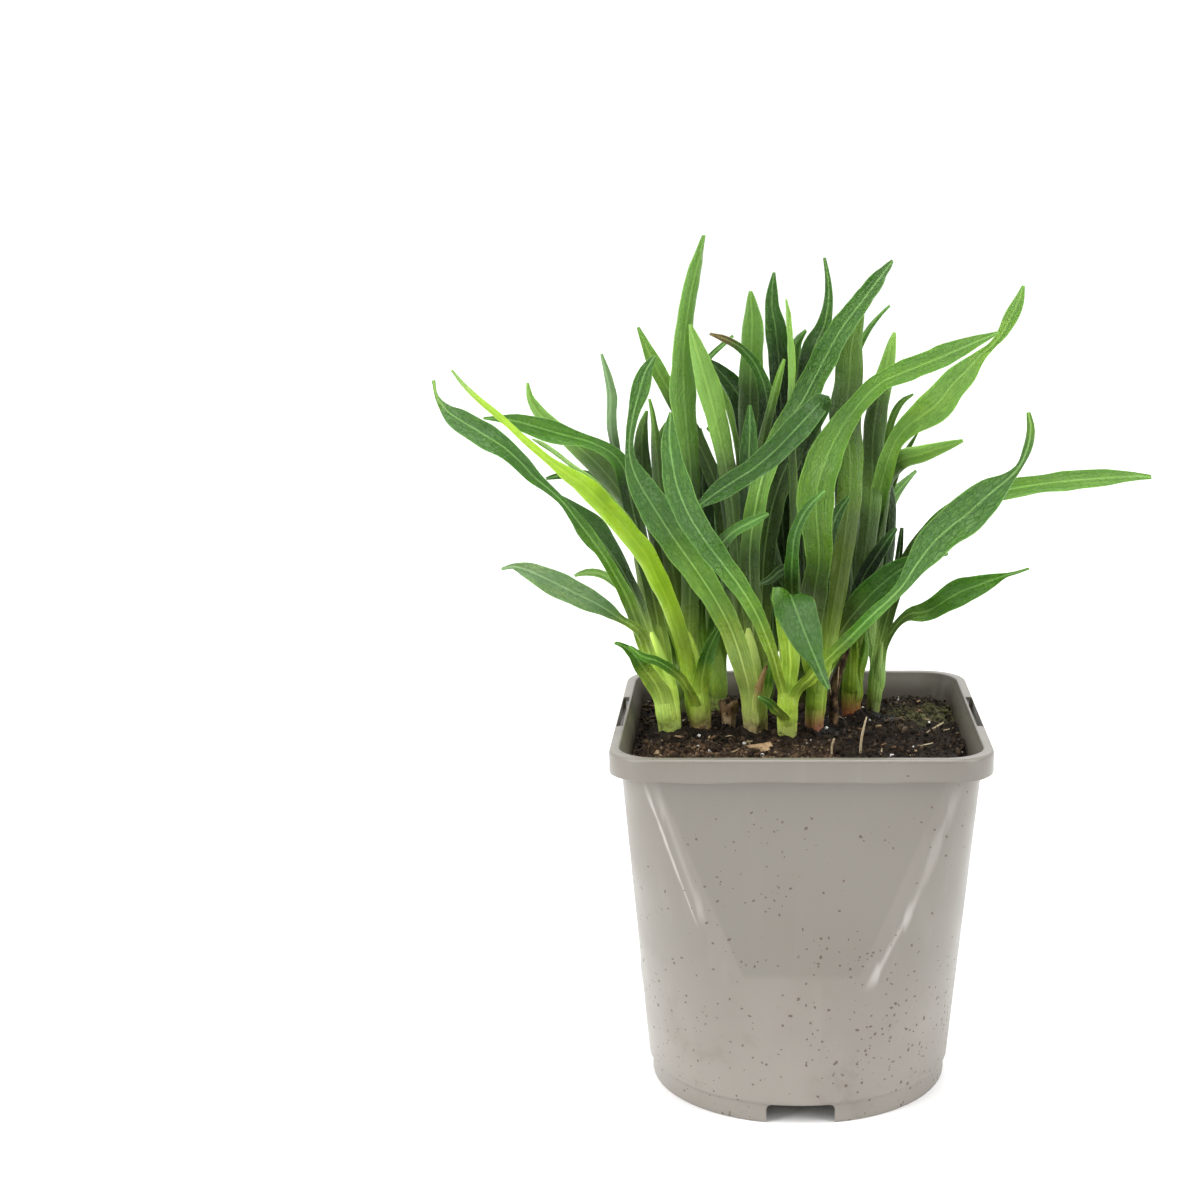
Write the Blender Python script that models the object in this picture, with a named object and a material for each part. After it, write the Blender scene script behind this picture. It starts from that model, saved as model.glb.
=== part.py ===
"""Young blazing star in a square plastic nursery pot.

The pot stands on z = 0 with its axis on the origin; lengths are in metres, +Z is up
and the front of the plant looks along -Y.  The leaf routes below are in millimetres.
"""
import math

import bmesh
import bpy
import numpy as np
from mathutils import Vector

for leftover in list(bpy.data.objects):
    bpy.data.objects.remove(leftover, do_unlink=True)

MM = 0.001
GAP = 0.3                    # clearance between neighbouring solids

# Pot, in millimetres.
POT_HEIGHT = 91.9
RIM_HALF = 45.0              # half the outer width of the rim
RIM_FLAT = 34.0              # half the straight run of the rim's side
RIM_DEPTH = 5.5              # how far the folded rim hangs down
RIM_WALL = 1.0
RIM_EDGE = 0.6               # bevel along the rim's outer top edge
SKIRT = POT_HEIGHT - RIM_DEPTH
OPENING_HALF = 42.5          # half the width of the pot's mouth
SHOULDER = 88.0              # the wall steps out to the mouth from this height
WALL = 1.0
BODY_TOP_HALF = 42.2         # body half-width right under the rim
BODY_FOOT_HALF = 37.8
BODY_TOP_FLAT = 33.0         # half the flat panel's width at the top
PANEL_FOOT = 38.0            # the panel is flat down to here and rounds out below
ROUND_FROM = 26.0            # from here down the sides are as round as the corners
POINT_FOOT = 4.0             # height at which the corners have become a circle
FOOT_HEIGHT = 5.0
FOOT_HALF = 36.9
FOOT_WALL = 1.5
BASE_PLATE = 1.2
WALL_HEIGHTS = (13.0, 20.0, 26.0, 31.0, 38.0, 52.0, 68.0)
NOTCH_WIDTH = 16.4
NOTCH_CORNER = 1.4
NOTCH_ANGLES = (-90.0, 30.0, 150.0)
DRAIN_HOLES = 6
DRAIN_RADIUS = 2.6
DRAIN_CIRCLE = 22.0
SLOT_HALF_LENGTH = 14.5      # label slot through each side of the rim's flange
SLOT_INNER = 43.0
SLOT_OUTER = 44.6
SLOT_DEPTH = 3.0
CORNER_STEPS = 8

# Soil and what stands in it, in millimetres.
SOIL_LEVEL = 85.4
SOIL_EDGE = 84.0
SOIL_RINGS = (0.93, 0.71, 0.57, 0.43, 0.29, 0.14)
STEM_FOOT = 73.0             # the shoots reach this far down into the soil
STUB_FOOT = 78.0
HOLE_TOP = 100.0
HOLE_PLAY = 0.55
STEM_SIDES = 10
STUMP_BASE = (-17.6, 6.5)
STUMP_RADIUS = 1.7
DRY_BASE = (9.1, 9.0)
DRY_RADIUS = 1.2
DRY_SIDES = 8

# Leaves, in millimetres.
EYE = (-10.16, -510.9, 222.9)    # the leaf routes are laid out as seen from here
NEAR_LEAN = 1.6                  # extra lean of what comes forward of the pot's middle
BLADE = 0.75
SHEATH = 1.3                     # extra thickness where a leaf clasps its shoot
GUTTER = 0.22                    # how far a blade's edges rise, for each half-width
STATIONS = 25
CLEARANCE = 0.9
UNION_SOLVER = "MANIFOLD"        # the exact solver leaves open edges in shoot_05

# Each shoot: base x and depth, half-widths of its core, top x, top depth, top height.
SHOOTS = {
    "shoot_01": (-32.0, 2.0, 3.3, 2.9, -36.5, 3.0, 112.0),
    "shoot_02": (-24.6, 5.0, 3.1, 2.8, -27.5, 6.0, 112.0),
    "shoot_03": (-20.3, 24.0, 2.6, 2.6, -20.2, 23.0, 112.0),
    "shoot_04": (-10.9, 1.5, 3.4, 2.9, -12.6, 2.0, 113.0),
    "shoot_05": (-2.8, -3.5, 2.7, 2.5, -3.0, -4.0, 108.0),
    "shoot_06": (3.8, 3.0, 2.6, 2.5, 5.6, 2.0, 110.0),
    "shoot_07": (13.0, 18.0, 2.7, 2.6, 13.6, 16.5, 112.0),
    "shoot_08": (18.6, 22.5, 2.0, 2.2, 21.0, 18.0, 113.0),
    "shoot_09": (-28.5, 21.0, 2.8, 2.8, -30.0, 22.5, 112.0),
    "shoot_10": (-9.0, 24.0, 3.0, 3.0, -8.6, 22.0, 114.0),
    "shoot_11": (1.5, 27.0, 3.0, 3.0, 1.6, 26.0, 114.0),
    "shoot_12": (10.5, 30.5, 2.8, 2.8, 11.0, 31.0, 112.0),
}

# Each leaf: shoot, twist at the root and the tip in degrees, side of the blade that faces
# the front (1 upper, -1 under), number of edge waves, then its route from root to tip as
# (x, z, depth, width); x and z are read on the upright plane through the pot's axis.
LEAVES = {
    "left_low_hood": ("shoot_01", 10, 25, 1, 0, (
        (-32.5, 89, 1, 5), (-34, 94.5, -1, 5), (-36, 99.3, -4, 5), (-38.9, 103.4, -8, 4),
        (-41.6, 107.1, -11, 2.6), (-43.4, 108.5, -12.5, 1.5), (-45.7, 109.4, -14, 0.8))),
    "left_long": ("shoot_01", -20, 15, 1, 2, (
        (-33, 89, 2, 4), (-35, 98, 1, 4), (-37.8, 107, -1, 3.7), (-40.4, 115, -4, 3.5),
        (-42.3, 120.1, -5.5, 3.4), (-44, 123.6, -7, 3.2), (-46.2, 127.6, -8, 2.9),
        (-48.8, 132.1, -9, 2.8), (-51.4, 135.7, -9.6, 3.2), (-54, 139.2, -10.3, 3.4),
        (-56.8, 143, -11, 2.2), (-59.4, 146.1, -11, 1.7), (-62.4, 148.6, -11, 2.6),
        (-65.2, 151, -11, 3.4), (-70.4, 156.7, -11, 4.6), (-73.8, 159.2, -10.7, 5.4),
        (-78, 161.9, -10, 6), (-83, 165, -9, 5.2), (-86.8, 168, -8, 2.4), (-88.3, 170.3, -7.5, 0.9),
        (-89.3, 172.3, -7, 1.4), (-89.2, 174.7, -6.5, 0.9))),
    "left_dark": ("shoot_01", 15, -10, 1, 1, (
        (-33, 90, 4, 3), (-36.6, 108, 6, 3.2), (-40.5, 121.3, 5, 3.4), (-42.3, 124.9, 3.5, 3.6),
        (-44, 128, 2, 4), (-46, 131.2, 0, 5), (-48.3, 134.3, -1.5, 6.5), (-51.2, 137.9, -3, 7.2),
        (-54, 141, -4, 5.6), (-56.6, 144.1, -5.5, 2.4), (-58.5, 145.9, -6, 0.9))),
    "left_crossing": ("shoot_01", 10, 20, -1, 1, (
        (-32, 90, 3, 4.5), (-35, 105, 5, 4.5), (-37.3, 118, 7, 4.5), (-39.2, 130, 8, 3.5),
        (-40.8, 140, 8, 3.2), (-44.5, 148, 8, 4.5), (-49.5, 154.3, 8, 6.5), (-55, 159.3, 7, 5),
        (-60.5, 163.6, 6, 3.5), (-64.3, 167.6, 5, 2.8), (-65.9, 170.6, 4, 1.8),
        (-66.4, 174.1, 3, 0.7))),
    "left_level": ("shoot_01", -15, 15, 1, 1, (
        (-31.5, 92, 4, 4), (-33.5, 105, 6, 4), (-36, 120, 7, 4), (-38.7, 133, 6, 4),
        (-41, 143, 4, 4.5), (-42.3, 150, 2, 4.8), (-43.8, 154.6, 0, 4.4), (-47, 157.5, -2, 3.6),
        (-52, 159.8, -3, 3), (-57, 161.1, -4, 4.6), (-63, 162.9, -5, 5.4), (-69, 164.6, -5, 3.8),
        (-73.5, 165.3, -5, 1.6), (-77.3, 165.4, -5, 0.7))),
    "left_upright": ("shoot_01", 30, 30, -1, 0, (
        (-32, 92, 5, 3), (-36, 112, 8, 3.2), (-39.5, 130, 12, 3), (-43, 148, 13, 2.8),
        (-45.2, 158, 13, 2.7), (-46.1, 164.2, 12, 2.8), (-46, 171.4, 11, 2.8), (-46.9, 176, 10, 2),
        (-48.3, 181.2, 9, 0.7))),
    "left_spread": ("shoot_01", -15, 10, 1, 3, (
        (-34, 93, 0, 3), (-36.5, 104, -3, 3), (-38.6, 110.8, -6, 2.6), (-41, 113.4, -8, 2.2),
        (-44.5, 115.5, -10, 2), (-48, 118, -12, 3.8), (-52.5, 120.4, -14, 5.2),
        (-58, 123.2, -16, 6), (-63.5, 126, -18, 5.4), (-68, 128, -19, 3.2),
        (-71.3, 128.6, -20, 1.1), (-73.5, 127.9, -20.5, 0.7))),
    "left_small": ("shoot_01", 10, 15, 1, 0, (
        (-33, 94, 4, 2.4), (-37.5, 110, 9, 2.4), (-40.5, 119.3, 12, 2.2), (-43.3, 122.5, 14, 2.1),
        (-46, 125, 15, 2.2), (-49, 126.8, 16, 2.3), (-52.5, 127.2, 17, 1.8),
        (-55.5, 126.3, 18, 0.7))),
    "left_behind": ("shoot_09", 10, 10, 1, 0, (
        (-28.2, 95, 20, 2.6), (-31.5, 112, 21, 3), (-37, 130, 20, 3), (-43, 142, 18, 3),
        (-48, 148.7, 16, 3.2), (-53, 151.4, 15, 2.8), (-58, 151.4, 14, 2), (-62.2, 150.5, 13, 0.7))),
    "hood_over": ("shoot_02", -10, 20, 1, 0, (
        (-25.8, 89.5, 3, 2.6), (-26.4, 93, 0, 2.4), (-28.2, 98.5, -6, 2.3), (-31.5, 102.3, -10, 2.3),
        (-35.5, 104.8, -14, 2.2), (-39.5, 106.3, -17, 1.8), (-42, 108.4, -18.5, 0.8))),
    "bright_reach": ("shoot_02", 15, -15, -1, 0, (
        (-25.5, 89.5, 4, 4.5), (-26.8, 96, 3, 4.2), (-28.2, 106, 0, 4), (-31, 116, -4, 4.2),
        (-34.7, 125, -8, 4.8), (-39.5, 133.9, -11, 5), (-42.4, 137.2, -12, 5),
        (-45, 140.6, -13, 4.8), (-48.4, 144.3, -14.3, 5), (-51.9, 148.1, -15.7, 4.6),
        (-56, 151.1, -17, 3.7), (-58.8, 152.9, -17.7, 2.4), (-61.4, 155.1, -18.3, 2),
        (-64.5, 157.7, -19, 1.8), (-67.9, 160.7, -20, 1.6), (-72.7, 165.3, -21, 1.5),
        (-77, 168.9, -22, 1.5), (-81, 172.6, -23, 1.1), (-84.8, 177.2, -24, 0.6))),
    "tall_left": ("shoot_02", 10, -25, -1, 0, (
        (-25.5, 90, 6, 4.5), (-27.3, 105, 8, 4.6), (-27, 120, 9, 4.5), (-26.9, 135, 9, 4.2),
        (-26.6, 150, 8, 4.6), (-27.6, 162, 6, 5.6), (-28.4, 172, 4, 6.6), (-28.4, 181, 1, 5),
        (-27.6, 190, -2, 4.2), (-25.8, 199.5, -6, 3.6), (-23.2, 209.8, -10, 0.8))),
    "edge_on_left": ("shoot_02", 40, 62, 1, 0, (
        (-25.5, 92, 7, 3), (-31, 112, 7, 3), (-36, 128, 3, 3), (-42, 140.3, -1, 2.8),
        (-45.2, 144.3, -2, 2.6), (-48.6, 148.1, -3.5, 2.4), (-52.1, 151.2, -4.5, 2.2),
        (-55.6, 153.6, -5.3, 2), (-59, 156.5, -6.3, 2), (-62, 158.6, -7, 1.9),
        (-65.3, 160.4, -8, 0.8))),
    "bright_inner": ("shoot_02", -10, 20, -1, 0, (
        (-25.5, 92, 7, 3.5), (-28.2, 106, 11, 4), (-30, 120, 13, 4.5), (-31.8, 132, 14, 4.5),
        (-33.4, 143, 14, 4), (-34.4, 151, 13, 3.8), (-34.8, 156, 12.6, 3.5), (-35.2, 160, 12, 2.6),
        (-35.6, 164, 11.4, 1.6), (-36, 167, 10.8, 1.2), (-36.7, 170.2, 10, 0.7))),
    "bright_outer": ("shoot_09", 10, -10, -1, 0, (
        (-28.5, 95, 21, 3.5), (-31, 112, 22, 4), (-34, 130, 22, 4), (-36.8, 144, 21, 4.2),
        (-38.5, 153.9, 20, 4.4), (-38.7, 158.3, 19, 4), (-38.5, 161.8, 18, 3),
        (-38, 164.9, 17, 1.8), (-37.3, 167.3, 16, 0.8))),
    "bright_back": ("shoot_09", 8, -10, -1, 0, (
        (-28.2, 95, 23, 3), (-30.5, 112, 25, 3.6), (-32, 128, 25, 4), (-33, 142, 24, 4.4),
        (-33.7, 153.9, 22, 4.5), (-33.6, 158.3, 21, 4), (-33.2, 161.8, 20, 2.5),
        (-32.5, 164.4, 19, 0.8))),
    "rolled_low": ("shoot_02", -10, -30, 1, 1, (
        (-24.2, 91, 3, 4), (-24, 100, 2, 4.4), (-22.8, 106.5, 1, 4), (-21.2, 110.5, 1, 3),
        (-19.4, 113.8, 1, 1))),
    "broad_left": ("shoot_04", 12, -20, 1, 0, (
        (-11, 89, 0, 5), (-12, 95, -2, 5.2), (-14, 104, -4, 5.4), (-16.6, 112, -6, 5.6),
        (-20, 119, -8, 5.8), (-24, 125.5, -10, 6.4), (-28.3, 131.8, -12, 7.2),
        (-32.5, 138, -14, 7.6), (-36.5, 144.5, -15, 7.4), (-40, 150.7, -16, 5.2),
        (-41.7, 156.5, -16.5, 2.2), (-41.6, 160.9, -17, 1.9), (-41, 164.9, -17, 2.6),
        (-40.2, 168.2, -17, 3.2), (-39.3, 171.4, -17, 4), (-38.2, 174.9, -16.7, 4.2),
        (-37.2, 178, -16.4, 3), (-35.3, 180.7, -16, 0.7))),
    "centre_left": ("shoot_05", 10, -15, 1, 0, (
        (-3.6, 88.5, -4, 2.4), (-4.4, 97, -6, 2.5), (-5.8, 104, -8, 2.7), (-8, 110.5, -10, 3.2),
        (-11, 117.5, -12.5, 3.8), (-15, 124, -15, 4.4), (-19.5, 130, -17.5, 5.2),
        (-24, 136.2, -20, 6), (-27.6, 142.3, -21.5, 6.2), (-30, 148.5, -22, 6.3),
        (-31.3, 155, -22, 5), (-31.9, 161, -21.5, 3.4), (-31.5, 166.9, -21, 0.8))),
    "long_right_up": ("shoot_04", -12, 25, 1, 0, (
        (-10.5, 90, 2, 4.5), (-11, 105, 4, 4.6), (-11.8, 120, 4, 4.8), (-12.2, 132, 3, 4.8),
        (-11, 142, 2, 5), (-9.3, 150, 1, 5), (-6.5, 157.3, 0, 5.2), (-3, 163.8, -2, 5.4),
        (0.6, 169.5, -4, 6), (3.5, 175, -6, 6.4), (6.5, 180.8, -8, 6.2), (9.9, 186.9, -11, 5.6),
        (14.3, 192.8, -14, 4.8), (18.9, 199, -18, 3.6), (22.4, 203.6, -22, 0.8))),
    "folded_over": ("shoot_04", 10, 10, 1, 1, (
        (-10.6, 92, 3, 4), (-9.6, 105, 8, 4.6), (-9.2, 120, 11, 5.2), (-8.2, 135, 11, 5.8),
        (-6, 146, 9, 6.2), (-2.5, 155, 6, 6.2), (1.8, 162, 2, 5.6), (5, 167.2, -3, 4.4),
        (5.6, 169.2, -8, 4.2), (3.8, 168, -12, 5), (0.6, 164.4, -13, 5.6), (-3, 160.6, -13.5, 6),
        (-8, 155.6, -13.5, 5.4), (-13, 151.8, -13.5, 4.8), (-17.5, 149, -14, 5),
        (-21.5, 146.2, -14.5, 3.8), (-25.2, 143.4, -15, 0.9))),
    "upright_pale_left": ("shoot_04", -10, 20, -1, 0, (
        (-11.5, 92, 3, 3.5), (-13.9, 108, 7, 4), (-14.4, 120, 8, 4.4), (-15.2, 132, 8, 4.2),
        (-16.3, 143, 8, 4), (-17.8, 153, 7, 4.6), (-19.6, 162, 5, 5), (-21.8, 171, 2, 6),
        (-24.3, 180, -1, 4.6), (-26.7, 188.3, -4, 0.8))),
    "leaning_left": ("shoot_03", 10, -15, 1, 0, (
        (-20.1, 95, 24, 4), (-19.5, 108, 23, 4), (-18.6, 120, 22, 4), (-18.2, 132, 20, 4),
        (-18.8, 141, 18, 4), (-20.3, 148.5, 16, 4), (-22.8, 155, 15, 4), (-26, 161.5, 14, 4.2),
        (-29.6, 168, 13, 4.2), (-33.2, 174.5, 11, 4), (-36.5, 181, 9, 3.2), (-39.3, 187.6, 7, 0.7))),
    "short_back_left": ("shoot_03", 0, 10, 1, 0, (
        (-20.4, 96, 24, 3), (-21.5, 108, 22, 3.4), (-20.2, 118, 20, 3), (-19, 125.3, 18, 0.8))),
    "dark_back_left": ("shoot_03", -8, 10, -1, 0, (
        (-20.5, 96, 26, 3.6), (-23, 104, 27, 4.6), (-24, 113, 28, 5), (-23.8, 125, 28, 5.4),
        (-23.6, 138, 26, 5.8), (-23.7, 148, 24, 5.6), (-23.9, 156, 22, 4), (-24.4, 163, 20, 0.8))),
    "thin_cross": ("shoot_03", 10, 25, 1, 0, (
        (-20.3, 96, 27, 2.6), (-24, 125, 30, 2.8), (-27, 150, 28, 2.6), (-27.5, 166, 24, 2.4),
        (-25.5, 175, 20, 2), (-22.1, 180.1, 17, 1.5), (-19, 183, 15, 1.4),
        (-16.2, 185.5, 13, 0.7))),
    "dark_left_tip": ("shoot_10", 5, -20, 1, 0, (
        (-9.4, 96, 24, 4), (-10.5, 120, 22, 4), (-11.5, 140, 18, 4), (-12.2, 155, 15, 4.5),
        (-13.3, 164, 12, 5), (-14.6, 170.2, 9, 5.6), (-16.6, 173.6, 7, 5.2), (-19.3, 176.6, 5, 3.8),
        (-22.8, 179.9, 3, 0.7))),
    "inner_curl": ("shoot_10", 6, 14, -1, 0, (
        (-9.5, 97, 23, 3), (-12, 115, 21, 3.4), (-15, 132, 18, 3.6), (-17.8, 145, 15, 3.8),
        (-18.6, 151.4, 13.5, 3.6), (-18.6, 155.4, 12.5, 3.2), (-19.3, 158.6, 12, 2.6),
        (-20.9, 161.8, 11, 1.8), (-22.7, 163.1, 10, 0.7))),
    "inner_left": ("shoot_10", 8, -12, -1, 0, (
        (-9.2, 97, 25, 3), (-11, 118, 24, 3.4), (-13, 138, 21, 3.4), (-13.9, 150, 18, 3.2),
        (-14.3, 156.7, 17, 3), (-15.1, 161.6, 16, 2.9), (-16.5, 166.5, 15, 2.6),
        (-18, 171, 14, 1.8), (-19.7, 173.8, 13, 0.7))),
    "low_back_left": ("shoot_10", -6, 8, -1, 0, (
        (-9.5, 96, 26, 3), (-12.2, 103, 27, 4), (-14.2, 110, 27, 4), (-15.8, 118, 26, 4.2),
        (-17.3, 127, 25, 4), (-17.6, 134, 24, 2.4), (-17.8, 138, 23, 0.8))),
    "upright_light": ("shoot_10", -8, 12, -1, 0, (
        (-9, 97, 23, 4), (-10, 115, 21, 4.5), (-11, 135, 18, 5), (-11.8, 150, 15, 5.5),
        (-12.1, 165, 10, 6), (-12, 174, 6, 6), (-11.7, 182, 3, 5.6), (-11.5, 189.5, 0, 4.6),
        (-12, 196.4, -4, 0.8))),
    "short_dark": ("shoot_04", 5, 10, 1, 0, (
        (-10.8, 92, 3, 3), (-11.8, 110, 6, 4), (-12.2, 125, 7, 4.4), (-12.4, 140, 6, 4.6),
        (-12.4, 150, 4, 4.8), (-12.3, 158, 2, 4.4), (-12.1, 164, 1, 3), (-12.2, 168.6, 0, 0.9))),
    "arched_brown_tip": ("shoot_10", -15, 30, 1, 0, (
        (-8.6, 95, 24, 4), (-6.6, 110, 22, 4), (-7.4, 130, 20, 4.5), (-8, 148, 15, 5),
        (-8, 160, 10, 5), (-7.8, 168, 6, 4.6), (-8.6, 173.5, 3, 3.6), (-10.2, 177.6, 1, 2.9),
        (-12.2, 180.6, -1, 2.7), (-14.8, 183, -3, 2.3), (-18.3, 184.9, -5, 1.7),
        (-21.9, 186.1, -6, 0.7))),
    "upright_dark": ("shoot_11", 8, -12, 1, 0, (
        (0.6, 96.5, 28, 4), (-1, 112, 29, 4), (-3.5, 130, 27, 4.5), (-4.5, 150, 20, 4.8),
        (-4.5, 165, 14, 5), (-4.8, 174, 11, 5.1), (-5.4, 182, 7, 5.3), (-6, 187.6, 4, 5.2),
        (-6.8, 192.1, 1.5, 3.9), (-6.8, 195.9, 0, 2.8), (-6.3, 200.9, -2, 0.7))),
    "edge_on_centre": ("shoot_05", 50, 68, -1, 0, (
        (-2.6, 90, -3, 3), (-1, 108, -1, 3.4), (-1.2, 125, 1, 3.6), (-1.8, 145, 3, 3.6),
        (-2.1, 160, 3, 3.6), (-2.2, 171, 1, 3.6), (-2.3, 180, -3, 3.4), (-2.7, 188, -7, 2.6),
        (-3.3, 194.5, -10, 0.7))),
    "slim_centre": ("shoot_11", 10, 20, -1, 0, (
        (0.6, 97, 25, 3), (-1.5, 113, 20, 3), (-6, 130, 15, 3), (-9.2, 143, 11, 3),
        (-9.8, 155, 8, 2.6), (-8.8, 161, 6, 2.5), (-7.4, 166.5, 5, 2.3), (-6.2, 171.5, 4, 2.1),
        (-5, 176, 3, 1.9), (-3.8, 179.8, 2, 0.7))),
    "small_tip_centre": ("shoot_11", -10, 20, -1, 0, (
        (1.2, 97, 28.5, 3), (0.5, 120, 29, 3.4), (-1, 145, 25, 3.6), (-1.8, 165, 19, 3.6),
        (-1.6, 176, 15, 3.4), (-1.3, 181.7, 12, 3), (-0.6, 184.2, 10.5, 2.4),
        (0.4, 185.6, 9.5, 1.8), (1.5, 186.9, 8.5, 0.8))),
    "dark_inner_right": ("shoot_11", 8, -10, -1, 0, (
        (2.2, 97, 29, 3.4), (3, 118, 30, 4.4), (2.6, 138, 27, 5), (2.4, 150, 24, 5),
        (3, 158, 22, 4.4), (4, 165, 20, 3), (5.5, 171, 18, 0.8))),
    "tall_centre": ("shoot_11", -10, 15, 1, 0, (
        (1.8, 97, 27, 4), (1.5, 120, 24, 4.5), (0.8, 140, 20, 5), (0.6, 158, 16, 5),
        (1.2, 170, 12, 5.2), (2.4, 178.5, 9, 5.4), (3.9, 183.5, 6.5, 5.6), (5.4, 186.6, 5, 4.4),
        (6.2, 189.4, 3.5, 3.2), (6.7, 191.8, 2.4, 2.6), (7, 194.9, 1, 2.2), (6.9, 198, -0.5, 1.7),
        (6.5, 201.1, -2, 1.1), (5.9, 204.4, -4, 0.7))),
    "olive_column": ("shoot_06", 8, -8, -1, 0, (
        (3.8, 90, 3, 4), (4.9, 97, 3, 4.4), (6.6, 107, 3, 4.6), (8.2, 116, 3, 4.8),
        (9.7, 125, 3, 5), (11.1, 135, 3, 5.4), (12.2, 145, 3, 6), (12.4, 155, 4, 6.6),
        (11.2, 166.2, 6, 8), (12, 174.2, 7, 7.2), (12.2, 179.5, 7, 6.5), (12.8, 184.8, 6.5, 5.2),
        (13.9, 188.5, 6, 3.4), (15.1, 190.9, 5, 1.2))),
    "broad_right_up": ("shoot_06", 12, 20, 1, 1, (
        (3.3, 92, 1, 4), (3.2, 101, -1, 4.5), (3, 112, -3, 5), (3.8, 122, -5, 6.4),
        (5, 131, -7, 6.2), (4.4, 139, -8, 8.4), (4.4, 148, -8, 9.6), (7.2, 157, -8, 8.6),
        (11.2, 164.4, -9, 6), (15.2, 169.6, -10, 4.8), (20, 174.2, -12, 4.6), (25.5, 176.7, -14, 5),
        (31, 178.9, -16, 5.2), (37, 181.5, -18, 4.8), (43, 184.1, -19.5, 2.8), (48.2, 186.3, -21, 0.7))),
    "upright_right": ("shoot_07", -10, 20, -1, 0, (
        (13, 95, 18, 3.8), (13.4, 103, 18, 4), (14.3, 115, 17, 4.2), (15.8, 128, 15, 4.5),
        (17.2, 140, 14, 5), (17.9, 150, 13, 5.4), (18, 160, 12, 5.6), (18.9, 167.8, 10.5, 5.4),
        (20.1, 173.2, 8.5, 4.8), (20.8, 176.9, 7.3, 4.3), (21.6, 180, 6.4, 3.6),
        (22.2, 183.2, 5.7, 2.6), (23, 186.4, 5, 0.7))),
    "needle_right": ("shoot_12", 10, 20, -1, 0, (
        (10.6, 98, 32, 4), (11, 125, 30, 4), (11.5, 150, 26, 4), (12.5, 170, 21, 3.5),
        (14.3, 182.5, 17, 2), (18.1, 189.1, 13, 1.2), (21.8, 192.9, 10, 0.6))),
    "back_right": ("shoot_12", 8, -10, -1, 0, (
        (10.8, 98, 33, 3.4), (11.6, 115, 35, 5.4), (12, 132, 34, 6.6), (11.8, 145, 32, 6.6),
        (11.4, 155, 30, 4.6), (11.5, 163, 28, 2), (12, 168, 26, 0.7))),
    "twisted_right_up": ("shoot_07", 4, -8, 1, 1, (
        (13.4, 96, 18, 4), (14.5, 112, 18, 4), (16.4, 128, 17, 4.2), (18.4, 141, 15, 4.5),
        (20.8, 152, 12, 4.6), (23.4, 159.6, 8.5, 4.2), (26.3, 163.3, 5.5, 5),
        (28.9, 165.4, 3.5, 6.8), (32.6, 167.9, 0.6, 8), (36.8, 173.2, -2, 7.4),
        (40.4, 176.9, -4, 6), (43.8, 180.6, -5.7, 3.2), (46.7, 183.2, -7, 1.8),
        (49.8, 187.2, -8.7, 2.9), (51.5, 190.9, -10, 3.3), (53.1, 194.3, -11, 2.6),
        (54.1, 197.6, -12, 0.7))),
    "level_right": ("shoot_08", 4, -6, -1, 0, (
        (18.2, 98, 22, 3.4), (17.6, 115, 23, 3.8), (18.8, 130, 22, 4), (19.8, 143, 19, 4.4),
        (20.9, 150.5, 16, 5), (24.5, 155, 12, 5.2), (30, 156.6, 8, 4.2), (35.5, 158.4, 4, 2.8),
        (40, 159.9, 1, 0.8))),
    "edge_on_right": ("shoot_12", 45, 55, -1, 0, (
        (11, 98, 33, 2.6), (14, 115, 32, 2.4), (16.9, 132, 30, 2.3), (19.4, 140, 28, 2.2),
        (21.7, 146, 26, 2.2), (24.1, 152.6, 23, 2.1), (26.6, 158.3, 20, 1.8),
        (28.9, 161.8, 18, 0.8))),
    "wisp_right": ("shoot_12", 10, 20, 1, 0, (
        (10.8, 100, 33, 3), (15, 125, 33, 3), (19, 145, 30, 3), (20.6, 155, 26, 2.6),
        (22, 162.4, 23, 2.1), (23.3, 166.7, 21, 2), (25, 169.4, 19, 1.6), (27.8, 171.3, 17, 0.6))),
    "great_right": ("shoot_05", -6, 8, 1, 2, (
        (-2, 89, -4, 3), (0.2, 96, -6, 3.2), (4.2, 101.8, -9, 3.3), (8.5, 106.6, -12, 3.2),
        (13, 111, -14, 3.1), (17.5, 115.7, -16, 3), (21.5, 119.5, -17, 2.8),
        (24.8, 122.6, -17.5, 2.6), (27.8, 127.2, -18, 4.2), (30.8, 131.6, -18.5, 6.6),
        (35.2, 136.8, -19, 8), (40.8, 141.2, -20, 8.8), (45.6, 145.7, -21, 8),
        (49.9, 149.4, -22, 4.4), (52.7, 151.8, -22.5, 1.7), (54.6, 154.7, -23, 1.5),
        (56.2, 159.5, -23.5, 2.1), (56.6, 163, -24, 1.9), (55.9, 166.9, -24.5, 0.9))),
    "dark_right": ("shoot_06", 10, 10, 1, 1, (
        (4.6, 93, 4, 4), (7, 104, 5, 5), (11, 113, 5, 6), (16, 119.5, 3, 7), (21, 124.6, 0, 6.5),
        (26, 128.3, -3, 5), (30.5, 130.2, -5, 3), (33.8, 131, -6, 1.4), (36.8, 131.7, -7, 0.7))),
    "far_right": ("shoot_08", -10, 15, 1, 1, (
        (18.7, 94.5, 22, 3.6), (19.2, 103, 20, 3.6), (20.8, 112, 17, 3.5), (22.9, 119.5, 13, 3.6),
        (25.2, 127.2, 10, 3.4), (29, 133.9, 7, 3.6), (34, 139.6, 4, 4), (40, 143.9, 1, 4.4),
        (46.5, 146.5, -1, 4.8), (53, 148.1, -3, 4.8), (60, 149.2, -2, 4.4), (67, 150, 0, 4.9),
        (74, 150.6, 2, 4.2), (81, 151, 4, 2.6), (86.4, 150.9, 6, 1.1))),
    "low_right": ("shoot_08", 10, -10, 1, 1, (
        (19, 97, 21, 2.8), (20.2, 104, 20, 2.6), (21.4, 109, 18.5, 2.3), (22.6, 111.5, 17, 2),
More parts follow.
